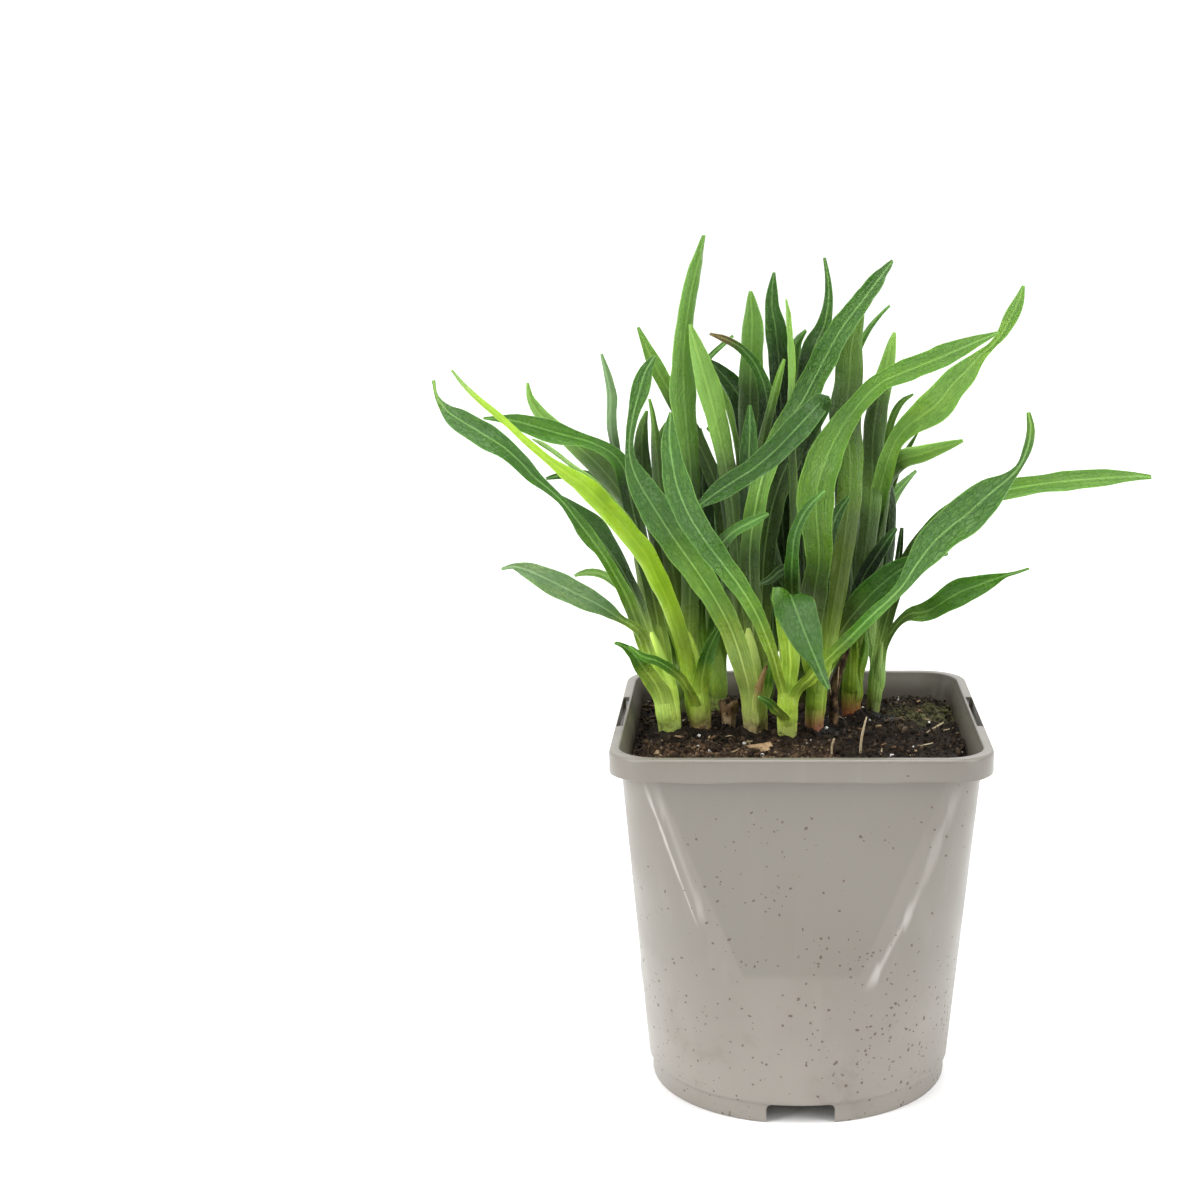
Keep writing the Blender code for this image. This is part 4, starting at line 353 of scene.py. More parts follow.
        (49.8, 187.2, -8.7, 2.9), (51.5, 190.9, -10, 3.3), (53.1, 194.3, -11, 2.6),
        (54.1, 197.6, -12, 0.7))),
    "level_right": ("shoot_08", "fresh", "light", 4, -6, -1, 0, (
        (18.2, 98, 22, 3.4), (17.6, 115, 23, 3.8), (18.8, 130, 22, 4), (19.8, 143, 19, 4.4),
        (20.9, 150.5, 16, 5), (24.5, 155, 12, 5.2), (30, 156.6, 8, 4.2), (35.5, 158.4, 4, 2.8),
        (40, 159.9, 1, 0.8))),
    "edge_on_right": ("shoot_12", "light", "fresh", 45, 55, -1, 0, (
        (11, 98, 33, 2.6), (14, 115, 32, 2.4), (16.9, 132, 30, 2.3), (19.4, 140, 28, 2.2),
        (21.7, 146, 26, 2.2), (24.1, 152.6, 23, 2.1), (26.6, 158.3, 20, 1.8),
        (28.9, 161.8, 18, 0.8))),
    "wisp_right": ("shoot_12", "fresh", "light", 10, 20, 1, 0, (
        (10.8, 100, 33, 3), (15, 125, 33, 3), (19, 145, 30, 3), (20.6, 155, 26, 2.6),
        (22, 162.4, 23, 2.1), (23.3, 166.7, 21, 2), (25, 169.4, 19, 1.6), (27.8, 171.3, 17, 0.6))),
    "great_right": ("shoot_05", "mid", "slate", -6, 8, 1, 2, (
        (-2, 89, -4, 3), (0.2, 96, -6, 3.2), (4.2, 101.8, -9, 3.3), (8.5, 106.6, -12, 3.2),
        (13, 111, -14, 3.1), (17.5, 115.7, -16, 3), (21.5, 119.5, -17, 2.8),
        (24.8, 122.6, -17.5, 2.6), (27.8, 127.2, -18, 4.2), (30.8, 131.6, -18.5, 6.6),
        (35.2, 136.8, -19, 8), (40.8, 141.2, -20, 8.8), (45.6, 145.7, -21, 8),
        (49.9, 149.4, -22, 4.4), (52.7, 151.8, -22.5, 1.7), (54.6, 154.7, -23, 1.5),
        (56.2, 159.5, -23.5, 2.1), (56.6, 163, -24, 1.9), (55.9, 166.9, -24.5, 0.9))),
    "dark_right": ("shoot_06", "mid", "dark", 10, 10, 1, 1, (
        (4.6, 93, 4, 4), (7, 104, 5, 5), (11, 113, 5, 6), (16, 119.5, 3, 7), (21, 124.6, 0, 6.5),
        (26, 128.3, -3, 5), (30.5, 130.2, -5, 3), (33.8, 131, -6, 1.4), (36.8, 131.7, -7, 0.7))),
    "far_right": ("shoot_08", "fresh", "leafy", -10, 15, 1, 1, (
        (18.7, 94.5, 22, 3.6), (19.2, 103, 20, 3.6), (20.8, 112, 17, 3.5), (22.9, 119.5, 13, 3.6),
        (25.2, 127.2, 10, 3.4), (29, 133.9, 7, 3.6), (34, 139.6, 4, 4), (40, 143.9, 1, 4.4),
        (46.5, 146.5, -1, 4.8), (53, 148.1, -3, 4.8), (60, 149.2, -2, 4.4), (67, 150, 0, 4.9),
        (74, 150.6, 2, 4.2), (81, 151, 4, 2.6), (86.4, 150.9, 6, 1.1))),
    "low_right": ("shoot_08", "mid", "mid", 10, -10, 1, 1, (
        (19, 97, 21, 2.8), (20.2, 104, 20, 2.6), (21.4, 109, 18.5, 2.3), (22.6, 111.5, 17, 2),
        (24, 113.7, 15, 1.9), (25.7, 115.4, 13, 2.2), (27.5, 116.6, 11, 3.4),
        (30.2, 116.9, 8.5, 4.4), (32.3, 117.6, 7, 4.9), (36.6, 120.3, 3, 6), (40, 122.3, 1, 6.6),
        (44.1, 123.8, -2, 5.6), (47.4, 125.1, -4, 3.6), (51.1, 126.4, -7, 1.3),
        (53.8, 127.1, -9, 0.8), (56.8, 128.1, -11, 0.6))),
    "short_blue_right": ("shoot_07", "mid", "blue", 10, 10, 1, 0, (
        (12.8, 97, 17, 3), (13, 110, 15, 3), (14, 120.5, 13, 3.2), (16, 126, 11, 3.8),
        (18.6, 130.4, 9, 3.8), (21.3, 134.6, 7, 3), (23.9, 138.2, 5, 0.9))),
    "short_tip_right": ("shoot_08", "fresh", "mid", 0, 10, 1, 0, (
        (18.4, 98, 23, 2.6), (20.4, 110, 23, 2.4), (22.6, 120, 21, 2.2), (24.2, 128, 19, 2),
        (24.9, 134, 18, 1.6), (25.3, 138.3, 17, 0.9))),
    "dark_slip_right": ("shoot_08", "mid", "dark", -8, 8, -1, 0, (
        (18.8, 98, 24, 3), (20, 112, 26, 3.2), (21.2, 125, 27, 3.4), (21.9, 135, 26, 3.6),
        (22.3, 144, 25, 3), (22, 149, 24, 1.8), (22, 152, 23, 0.7))),
    "hanging_front": ("shoot_05", "fresh", "deep", 5, 5, 1, 3, (
        (-2.4, 91, -4, 3.5), (-2, 102, -5, 3.8), (-2.6, 112, -6, 5), (-2.8, 118.2, -8, 7),
        (-2.3, 121.2, -11, 8.8), (-1.2, 118.8, -14, 9.6), (0.6, 114, -15.4, 9),
        (2.7, 108.6, -16.3, 6.4), (4.6, 104, -17, 3.2), (6, 100.6, -17.4, 2.3),
        (7.5, 97.5, -17.8, 0.8))),
    "curled_tip_left": ("shoot_05", "mid", "dark", 5, 20, 1, 0, (
        (-2.4, 94, -2, 3), (-1.6, 108, -1, 3.2), (-1.7, 120, -4, 3.4), (-1.7, 130, -9, 3.4),
        (-0.6, 138, -12, 2.7), (2.2, 143.3, -14, 2.4), (6.2, 147.4, -16, 0.9))),
    "curled_tip_right": ("shoot_06", "mid", "dark", 5, 20, 1, 0, (
        (4.2, 96, 2, 3), (5.4, 110, 1, 3), (6, 122, 0, 3), (7.2, 134, -1, 3), (9.3, 141.5, -2, 3.2),
        (12.1, 145.9, -4, 1.2))),
    "curled_front": ("shoot_05", "fresh", "mid", 5, 25, 1, 0, (
        (-3, 94, -2, 3), (-3.4, 112, 0, 3.2), (-2.8, 122, -1, 3), (-2.8, 127.8, -4, 2.8),
        (-4.6, 127.6, -7, 2.6), (-7.2, 125.4, -9, 2.2), (-9.8, 124.2, -10.5, 0.8))),
    "crossing_centre": ("shoot_04", "fresh", "mid", 0, 15, 1, 0, (
        (-12, 93, 4, 3), (-16, 112, 6, 3.4), (-19.3, 126, 6, 3.6), (-19.8, 132.6, 3, 3.6),
        (-16.5, 137, -1, 3), (-12, 139.6, -4, 2.6), (-7.6, 141.7, -6, 1))),
    "low_front": ("shoot_05", "light", "mid", 10, 10, 1, 0, (
        (-3.3, 88.5, -5, 2.6), (-5, 91, -8, 2.6), (-7.3, 94, -11, 2), (-10, 95.5, -14, 0.8))),
    "brown_sheath": ("shoot_04", "straw", "straw", 0, 10, -1, 0, (
        (-10.2, 89, -1, 2.2), (-10.5, 95, -2.5, 2.1), (-9.3, 100, -3.5, 1.6), (-8, 103.6, -4, 0.7))),
    "pointed_sheath": ("shoot_04", "light", "fresh", 0, 10, -1, 0, (
        (-8.9, 89.5, 2, 3), (-8, 97, 1, 2.6), (-7.2, 102, 0.5, 1.8), (-6.8, 106, 0, 0.7))),
    "red_sheath": ("shoot_07", "light", "fresh", 0, 10, -1, 0, (
        (14, 95, 16.5, 3), (15.3, 102, 15.5, 2.4), (16.6, 108, 15, 1.7), (16.4, 113.6, 15, 0.7))),
}

# Leaves on the far side: shoot, tints, root height, heading in degrees (90 is straight
# back), length, rise at the root in degrees, total bend in degrees and width.
FAR_LEAVES = {
    "far_01": ("shoot_09", "mid", "mid", 97, 120, 60, 86, 52, 5.6),
    "far_02": ("shoot_09", "mid", "dark", 96, 104, 48, 82, 92, 5.0),
    "far_03": ("shoot_03", "mid", "dark", 97, 98, 62, 87, 46, 5.4),
    "far_04": ("shoot_10", "mid", "mid", 98, 80, 70, 88, 40, 5.8),
    "far_05": ("shoot_10", "mid", "slate", 97, 112, 50, 82, 120, 5.6),
    "far_06": ("shoot_11", "mid", "dark", 98, 96, 74, 89, 32, 6.0),
    "far_07": ("shoot_11", "mid", "dark", 98, 84, 43, 82, 118, 5.4),
    "far_08": ("shoot_12", "mid", "slate", 98, 84, 34, 86, 90, 5.2),
    "far_09": ("shoot_12", "fresh", "mid", 99, 30, 62, 87, 52, 5.6),
    "far_10": ("shoot_12", "mid", "fresh", 99, 72, 66, 90, 14, 5.2),
}

# Leaf colours, linear, and how strongly the surface is wrinkled.
TINTS = {
    "lime": (0.25, 0.43, 0.012, 0.25),
    "fresh": (0.125, 0.28, 0.022, 0.4),
    "light": (0.165, 0.33, 0.048, 0.45),
    "pale": (0.19, 0.34, 0.08, 0.4),
    "leafy": (0.092, 0.215, 0.022, 0.55),
    "deep": (0.026, 0.088, 0.006, 0.85),
    "mid": (0.070, 0.195, 0.018, 0.6),
    "dark": (0.042, 0.130, 0.012, 0.8),
    "slate": (0.056, 0.150, 0.020, 1.0),
    "blue": (0.046, 0.130, 0.024, 0.9),
    "olive": (0.088, 0.190, 0.015, 0.6),
    "grey": (0.14, 0.245, 0.095, 0.6),
    "straw": (0.26, 0.16, 0.06, 0.7),
    "umber": (0.13, 0.07, 0.025, 0.7),
}

# Each shoot's foot: colour just above the soil and colour of the sheaths above it. Besides their own
# colours these hold painted light and shade: the shoots at the back are painted dark for the shade
# they stand in, and shoot_01's sheath is painted bright where the light falls on it.
FOOT_COLOURS_AND_SHADE = {
    "shoot_01": ((0.34, 0.44, 0.10), (0.56, 0.78, 0.14)),
    "shoot_02": ((0.30, 0.20, 0.09), (0.40, 0.58, 0.07)),
    "shoot_03": ((0.20, 0.25, 0.07), (0.24, 0.40, 0.05)),
    "shoot_04": ((0.34, 0.26, 0.14), (0.40, 0.52, 0.12)),
    "shoot_05": ((0.34, 0.40, 0.10), (0.40, 0.58, 0.07)),
    "shoot_06": ((0.34, 0.10, 0.08), (0.30, 0.46, 0.06)),
    "shoot_07": ((0.28, 0.07, 0.04), (0.16, 0.27, 0.02)),
    "shoot_08": ((0.24, 0.29, 0.10), (0.30, 0.49, 0.12)),
    "shoot_09": ((0.07, 0.07, 0.03), (0.09, 0.17, 0.02)),
    "shoot_10": ((0.05, 0.05, 0.02), (0.06, 0.12, 0.015)),
    "shoot_11": ((0.05, 0.035, 0.015), (0.05, 0.10, 0.012)),
    "shoot_12": ((0.05, 0.045, 0.02), (0.06, 0.12, 0.015)),
}

# How clearly the midrib shows on a leaf of each colour.
RIB_STRENGTH = {"slate": 0.95, "blue": 0.95, "dark": 0.8, "mid": 0.8, "grey": 0.6, "light": 0.45,
                "fresh": 0.4, "leafy": 0.6, "deep": 0.9, "lime": 0.25, "olive": 0.4, "straw": 0.0}

# Leaves whose tip has another colour.
TIPS = {"arched_brown_tip": "umber", "bright_reach": "pale", "curled_tip_left": "mid",
        "brown_sheath": "umber", "left_long": "olive", "great_right": "olive"}

# Painted highlights: glossy streaks of light painted on the front wall: foot and top as x and z,
# half-width, strength.
PAINTED_HIGHLIGHT_STREAKS = ((-25.0, 52.0, -36.0, 84.0, 0.8, 0.7), (-23.0, 52.0, -33.5, 84.0, 2.2, 0.25),
           (16.6, 36.0, 27.0, 57.5, 2.0, 0.5), (26.4, 56.0, 36.0, 84.0, 2.4, 0.2))

# Straws that stand or lie in front: foot as x and z seen, lean, radius, shade.
FRONT_STRAWS = ((15.5, 81.0, (1.4, 0.0, 9.6), 0.32, 0.9), (8.4, 81.0, (0.5, 0.4, 5.2), 0.28, 0.8),
                (31.0, 86.5, (5.5, 1.5, 3.2), 0.3, 0.9), (33.5, 87.0, (4.0, -3.0, 2.0), 0.24, 0.7),
                (-30.0, 84.0, (-4.5, 2.0, 1.4), 0.26, 0.6), (27.0, 83.0, (6.5, -1.0, 1.2), 0.22, 1.0),
                (22.0, 80.5, (7.0, 1.5, 0.9), 0.2, 0.9), (-20.0, 81.0, (5.0, 2.0, 1.0), 0.22, 0.5))

# Black wet patches of soil, each with its reach, and the mossy corner, in metres.
WET_SPOTS = (((0.0085, 0.0030, 0.0854), 0.0065), ((0.0090, 0.0135, 0.0854), 0.0075),
             ((0.0220, 0.0175, 0.0854), 0.0060))
MOSSY_SPOT = (0.0340, 0.0220, 0.0854)

# Finishes of the soil's bits and the old stems: colours by the shade of a piece, how dull they
# are, and whether the soil's stains and painted shade lie over them.
BITS = {
    "peat_crumb": (((0.0, (0.006, 0.004, 0.003)), (0.35, (0.042, 0.025, 0.014)),
                    (0.65, (0.115, 0.066, 0.035)), (0.88, (0.22, 0.145, 0.088)),
                    (1.0, (0.36, 0.26, 0.16))), 0.9, True),
    "peat_fibre": (((0.0, (0.020, 0.011, 0.006)), (0.4, (0.080, 0.043, 0.022)),
                    (0.75, (0.19, 0.115, 0.062)), (1.0, (0.38, 0.28, 0.18))), 0.9, True),
    "white_perlite": (((0.0, (0.62, 0.61, 0.58)), (1.0, (0.84, 0.83, 0.80))), 0.8, False),
    "bark_chip": (((0.0, (0.05, 0.03, 0.018)), (0.5, (0.17, 0.095, 0.05)),
                   (1.0, (0.46, 0.31, 0.18))), 0.9, False),
    "dry_straw": (((0.0, (0.12, 0.08, 0.045)), (0.5, (0.34, 0.25, 0.14)),
                   (1.0, (0.56, 0.46, 0.30))), 0.7, False),
    "dry_stalk": (((0.0, (0.02, 0.013, 0.008)), (0.35, (0.07, 0.042, 0.022)),
                   (0.7, (0.22, 0.14, 0.07)), (1.0, (0.44, 0.33, 0.19))), 0.75, False),
}

# Lamps: name, place, aim, width and height in metres, power.
LAMPS = (("left_softbox", (-0.70, -0.45, 0.60), (0.0, 0.0, 0.10), (0.4, 0.9), 9.0),
         ("right_softbox", (0.75, -0.40, 0.50), (0.0, 0.0, 0.08), (0.35, 0.9), 6.0),
         ("top_softbox", (0.05, -0.15, 1.1), (0.0, 0.0, 0.10), (0.5, 0.5), 7.0),
         ("floor_wash", (0.0, 2.6, 1.8), (0.0, 2.6, 0.0), (4.0, 3.0), 60.0))
FRONT_LIGHT = 0.36           # strength of the white surroundings ahead of the plant
BACK_LIGHT = 1.12            # and behind it
FLOOR_RADIUS = 2.4

# Camera.
LENS = 63.07
SENSOR = 36.0
SHIFT = (-0.1317, -0.0833)
LOOK_DOWN = 8.65             # degrees below the level


def hermite(rows, at):
    """Smooth curve through the rows, read at fractions of its length."""
    rows = np.asarray(rows, dtype=float)
    steps = np.linalg.norm(np.diff(rows[:, :3], axis=0), axis=1)
    run = np.concatenate(([0.0], np.cumsum(steps)))
    slope = np.gradient(rows, run, axis=0)
    at = np.asarray(at) * run[-1]
    k = np.clip(np.searchsorted(run, at, side="right") - 1, 0, len(run) - 2)
    gap = (run[k + 1] - run[k])[:, None]
    u = (at - run[k])[:, None] / gap
    return ((2 * u ** 3 - 3 * u ** 2 + 1) * rows[k] + (u ** 3 - 2 * u ** 2 + u) * gap * slope[k]
            + (3 * u ** 2 - 2 * u ** 3) * rows[k + 1] + (u ** 3 - u ** 2) * gap * slope[k + 1])


def to_space(x, z, depth):
    """Point seen at (x, z) on the axis plane, moved to a depth along the line of sight."""
    reach = 1.0 + depth / -EYE[1]
    return np.stack([EYE[0] + (x - EYE[0]) * reach, depth + 0.0 * x,
                     EYE[2] + (z - EYE[2]) * reach], axis=-1)


def to_plane(points):
    """Inverse of to_space: x and z on the axis plane, and the depth."""
    reach = 1.0 + points[:, 1] / -EYE[1]
    return np.stack([EYE[0] + (points[:, 0] - EYE[0]) / reach,
                     EYE[2] + (points[:, 2] - EYE[2]) / reach, points[:, 1]], axis=-1)


def far_route(shoot, root, heading, length, rise, bend, width):
    """Route of a leaf on the far side: it leaves its shoot steeply and bends over outward."""
    base_x, depth = SHOOTS[shoot][:2]
    start = to_space(np.array([base_x]), np.array([root]), np.array([depth]))[0]
    points = [start]
    steps = 9
    for k in range(steps):
        pitch = math.radians(rise - bend * ((k + 0.5) / steps) ** 1.6)
        out = math.radians(heading)
        points.append(points[-1] + length / steps * np.array([
            math.cos(pitch) * math.cos(out), math.cos(pitch) * math.sin(out), math.sin(pitch)]))
    rows = to_plane(np.array(points))
    share = np.linspace(0.0, 1.0, steps + 1)
    widths = width * np.clip(np.minimum(0.62 + 1.1 * share, 2.9 * (1.0 - share) ** 0.8), 0.14, 1.0)
    return np.column_stack([rows, widths])


def gather_leaves():
    """All leaves as rows of x, z, depth, width and twist at even stations."""
    at = np.linspace(0.0, 1.0, STATIONS)
    leaves = {}
    for name, (shoot, low, high, twist_root, twist_tip, face, waves, route) in LEAVES.items():
        route = np.array(route, dtype=float)
        route[0, [0, 2]] = 0.5 * (route[0, [0, 2]] + np.array(SHOOTS[shoot][:2]))
        route[:, 2] += NEAR_LEAN * np.minimum(0.0, route[:, 2] + 6.0)
        rows = hermite(route, at)
        twist = np.radians(twist_root + (twist_tip - twist_root) * at)
        leaves[name] = dict(shoot=shoot, tints=(low, high), face=face, waves=waves,
                            rows=np.column_stack([rows, twist]))
    for index, (name, (shoot, low, high, *spec)) in enumerate(FAR_LEAVES.items()):
        rows = hermite(far_route(shoot, *spec), at)
        twist = np.radians((18.0 if index % 2 else -18.0) * at)
        leaves[name] = dict(shoot=shoot, tints=(low, high), face=-1, waves=1,
                            rows=np.column_stack([rows, twist]))
    return leaves


def unit(vectors):
    """The vectors, brought to a length of one."""
    return vectors / np.linalg.norm(vectors, axis=-1, keepdims=True)


def core_path(shoot):
    """Middle line of a shoot's core above the soil, in space, with its two half-widths."""
    x0, y0, rx, ry, x1, y1, z1 = SHOOTS[shoot]
    foot = to_space(np.array(x0), np.array(SOIL_LEVEL), np.array(y0))
    foot[2] = SOIL_LEVEL
    top = to_space(np.array(x1), np.array(z1), np.array(y1))
    rows = []
    for share, size in ((0.0, 1.0), (0.22, 1.0), (0.45, 0.9), (0.7, 0.68), (0.9, 0.4), (1.0, 0.16)):
        lean = share ** 1.4
        centre = foot + (top - foot) * np.array([lean, lean, share])
        rows.append((*centre, rx * size, ry * size))
    return np.array(rows)


def settle(leaves):
    """Moves leaves that pass one another apart in depth, so that no two blades meet."""
    names = list(leaves)
    runs = []
    for index, name in enumerate(names):
        rows = leaves[name]["rows"]
        at = np.linspace(0.0, 1.0, len(rows))
        half = rows[:, 3] / 2
        thick = (half * (np.abs(np.sin(rows[:, 4])) + GUTTER)
                 + (BLADE + SHEATH * np.clip(1 - at / SHEATH_SHARE, 0, 1) ** 2) / 2)
        runs.append((rows[:, :2], rows[:, 2], half, thick, np.full(len(rows), index), at,
                     [leaves[name]["shoot"]] * len(rows), np.clip((at - 0.06) / 0.14, 0.0, 1.0)))
    for index, name in enumerate(SHOOTS):
        path = core_path(name)
        fine = np.linspace(0, len(path) - 1, CORE_STATIONS)
        path = np.column_stack([np.interp(fine, range(len(path)), column) for column in path.T])
        flat = to_plane(path[:, :3])
        still = np.zeros(CORE_STATIONS)
        runs.append((flat[:, :2], flat[:, 2], path[:, 3], path[:, 4],
                     np.full(CORE_STATIONS, len(names) + index), still, [name] * CORE_STATIONS, still))
    plane, depth, half, thick, owner, share, shoot, free = (
        np.concatenate(column) for column in zip(*runs))
    away = np.linalg.norm(plane[:, None] - plane[None], axis=2)
    near = away < (half[:, None] + half[None]) + SIDE_ROOM
    near &= owner[:, None] < owner[None]
    same = shoot[:, None] == shoot[None]
    near &= ~(same & (np.minimum(share[:, None], share[None]) < SHEATH_SHARE))
    first, second = np.nonzero(near)
    gap = depth[second] - depth[first]
    order = np.zeros(len(first))
    keys = {(i, j): n for n, (i, j) in enumerate(zip(first, second))}
    for n, (i, j) in enumerate(zip(first, second)):
        total = 0.0
        for a in range(-3, 4):
            for b in range(-3, 4):
                m = keys.get((i + a, j + b))
                if m is not None and owner[i + a] == owner[i] and owner[j + b] == owner[j]:
                    total += gap[m]
        order[n] = 1.0 if total >= 0 else -1.0
    need = thick[first] + thick[second] + CLEARANCE
    start = depth.copy()
    held = np.clip(np.linspace(0.0, 1.0, STATIONS) / 0.12, 0.0, 1.0) ** 0.5
    held[:2] = 0.0
    for _ in range(SETTLE_ROUNDS):
        lack = need - order * (depth[second] - depth[first])
        lack = np.where(lack > 0, lack, 0.0)
        weight = free[first] + free[second]
        push = np.where(weight > 0, lack / np.maximum(weight, 0.3), 0.0) * 0.5
        ahead, behind = np.zeros(len(depth)), np.zeros(len(depth))
        shift = order * push
        for end, move in ((first, -shift * free[first]), (second, shift * free[second])):
            np.minimum.at(ahead, end, move)
            np.maximum.at(behind, end, move)
        moved = depth + ahead + behind - start
        for index in range(len(names)):
            part = slice(index * STATIONS, (index + 1) * STATIONS)
            piece = moved[part]
            padded = np.concatenate(([piece[0]], piece, [piece[-1]]))
            moved[part] = (0.25 * padded[:-2] + 0.5 * padded[1:-1] + 0.25 * padded[2:]) * held
        depth = start + moved
    for index, name in enumerate(names):
        leaves[name]["rows"][:, 2] = depth[index * STATIONS:(index + 1) * STATIONS]


def blade_frames(rows):
    """Middle line, sideways and face directions of a blade, in space."""
    centre = to_space(rows[:, 0], rows[:, 1], rows[:, 2])
    along = unit(np.gradient(centre, axis=0))
    side = np.cross(along, unit(centre - np.array(EYE)))
    for k in range(len(side)):
        length = np.linalg.norm(side[k])
        if k and (length < END_ON or np.dot(side[k], side[k - 1]) < 0):
            fresh = side[k] / max(length, 1e-9)
            if np.dot(fresh, side[k - 1]) < 0:
                fresh = -fresh
            mix = min(1.0, length / END_ON)
            blended = fresh * mix + side[k - 1] * (1.0 - mix)
            blended -= along[k] * np.dot(blended, along[k])
            side[k] = blended / np.linalg.norm(blended)
        else:
            side[k] /= length
    normal = np.cross(side, along)
    turn = rows[:, 4][:, None]
    across = side * np.cos(turn) + normal * np.sin(turn)
    return centre, across, normal * np.cos(turn) - side * np.sin(turn)


def smooth(value, low, high):
    """0 below low, 1 above high, with soft ends."""
    share = np.clip((value - low) / (high - low), 0.0, 1.0)
    return share * share * (3.0 - 2.0 * share)


def new_object(name, bm):
    """Object in the scene from a mesh in the making."""
    mesh = bpy.data.meshes.new(name)
    bm.to_mesh(mesh)
    bm.free()
    made = bpy.data.objects.new(name, mesh)
    bpy.context.scene.collection.objects.link(made)
    return made


def new_piece(name, bm, material, slot, *nodes, sharp=None):
    """Finished piece from a mesh in the making; it stands for the nodes and moves with the pot."""
    piece = new_object(name, bm)
    piece.data.materials.append(material)
    piece.data.shade_smooth()
    if sharp is not None:
        piece.data.set_sharp_from_angle(angle=math.radians(sharp))
    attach(piece, BODY)
    if nodes:
        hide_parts(*nodes)
    return piece


def face_outwards(bm):
    """Turns all faces of a mesh in the making outwards."""
    bmesh.ops.recalc_face_normals(bm, faces=bm.faces[:])


def paint(rings, layer, shade):
    """Gives the corners of the rings a shade: a number, or worked out from each corner."""
    for ring in rings:
        for vert in ring:
            vert[layer] = shade(vert) if callable(shade) else shade


def loft(bm, outlines):
    """Closed skin through the outlines: a circle, extruded ring by ring; gives back its rings."""
    count = len(outlines[0])

    def edges_of(ring):
        return [bm.edges.get((ring[k - 1], ring[k])) for k in range(count)]

    rings = [bmesh.ops.create_circle(bm, segments=count, radius=1.0)["verts"]]
    for _ in outlines[1:]:
        grown = {part for part in bmesh.ops.extrude_edge_only(bm, edges=edges_of(rings[-1]))["geom"]
                 if isinstance(part, bmesh.types.BMVert)}
        rings.append([next(edge.other_vert(vert) for edge in vert.link_edges
                           if edge.other_vert(vert) in grown) for vert in rings[-1]])
    for ring, outline in zip(rings, outlines):
        for vert, point in zip(ring, outline):
            vert.co = [value * MM for value in point]
    for end in (rings[0], rings[-1]):
        bmesh.ops.edgeloop_fill(bm, edges=edges_of(end))
    return rings


def tube(bm, path, radii, sides):
    """Thin closed stem along a path."""
    path = np.array(path, dtype=float)
    along = unit(np.gradient(path, axis=0))
    aside = np.cross(along, np.array((0.31, 0.17, 0.93)))
    aside /= np.maximum(np.linalg.norm(aside, axis=1), 1e-6)[:, None]
    third = np.cross(along, aside)
    turns = np.linspace(0.0, 2 * math.pi, sides, endpoint=False)
    outlines = []
    for centre, first, second, radius in zip(path, aside, third, radii):
        outlines.append([centre + radius * (first * math.cos(turn) + second * math.sin(turn))
                         for turn in turns])
    return loft(bm, outlines)


def square_ring(half, flat, z, bulge=0.0):
    """Outline of a square with round corners whose sides bow out by the bulge."""
    flat = max(flat, 0.8)
    radius = half - flat
    points = []
    for corner in range(4):
        middle = math.radians(45 + 90 * corner)
        cx = math.copysign(flat, math.cos(middle))
        cy = math.copysign(flat, math.sin(middle))
        for step in range(CORNER_STEPS + 1):
            turn = middle - math.pi / 4 + math.pi / 2 * step / CORNER_STEPS
            points.append((cx + radius * math.cos(turn), cy + radius * math.sin(turn), z))
        out = middle + math.pi / 4
        for step in range(1, SIDE_STEPS + 1):
            share = 2 * step / (SIDE_STEPS + 1) - 1
            reach = half + bulge * (1 - share ** 2)
            points.append((reach * math.cos(out) - flat * share * math.sin(out),
                           reach * math.sin(out) + flat * share * math.cos(out), z))
    return points


def wall_ring(z, inset=0.0):
    """Outline of the pot's wall at a height: square above, rounding out to a circle below."""
    half = BODY_FOOT_HALF + (BODY_TOP_HALF - BODY_FOOT_HALF) * (z - FOOT_HEIGHT) / (SKIRT - FOOT_HEIGHT)
    flat = max(0.0, BODY_TOP_FLAT * (z - POINT_FOOT) / (SKIRT - POINT_FOOT))
    fade = min(1.0, max(0.0, (PANEL_FOOT - z) / (PANEL_FOOT - ROUND_FROM)))
    return square_ring(half - inset, flat, z, fade ** 2 * flat ** 2 / (2 * half))


def waved(ring, amount, pace):
    """The same outline with its height wandering a little."""
    return [(x, y, z + amount * noise.noise(Vector((x, y, 0.0)) * pace)) for x, y, z in ring]


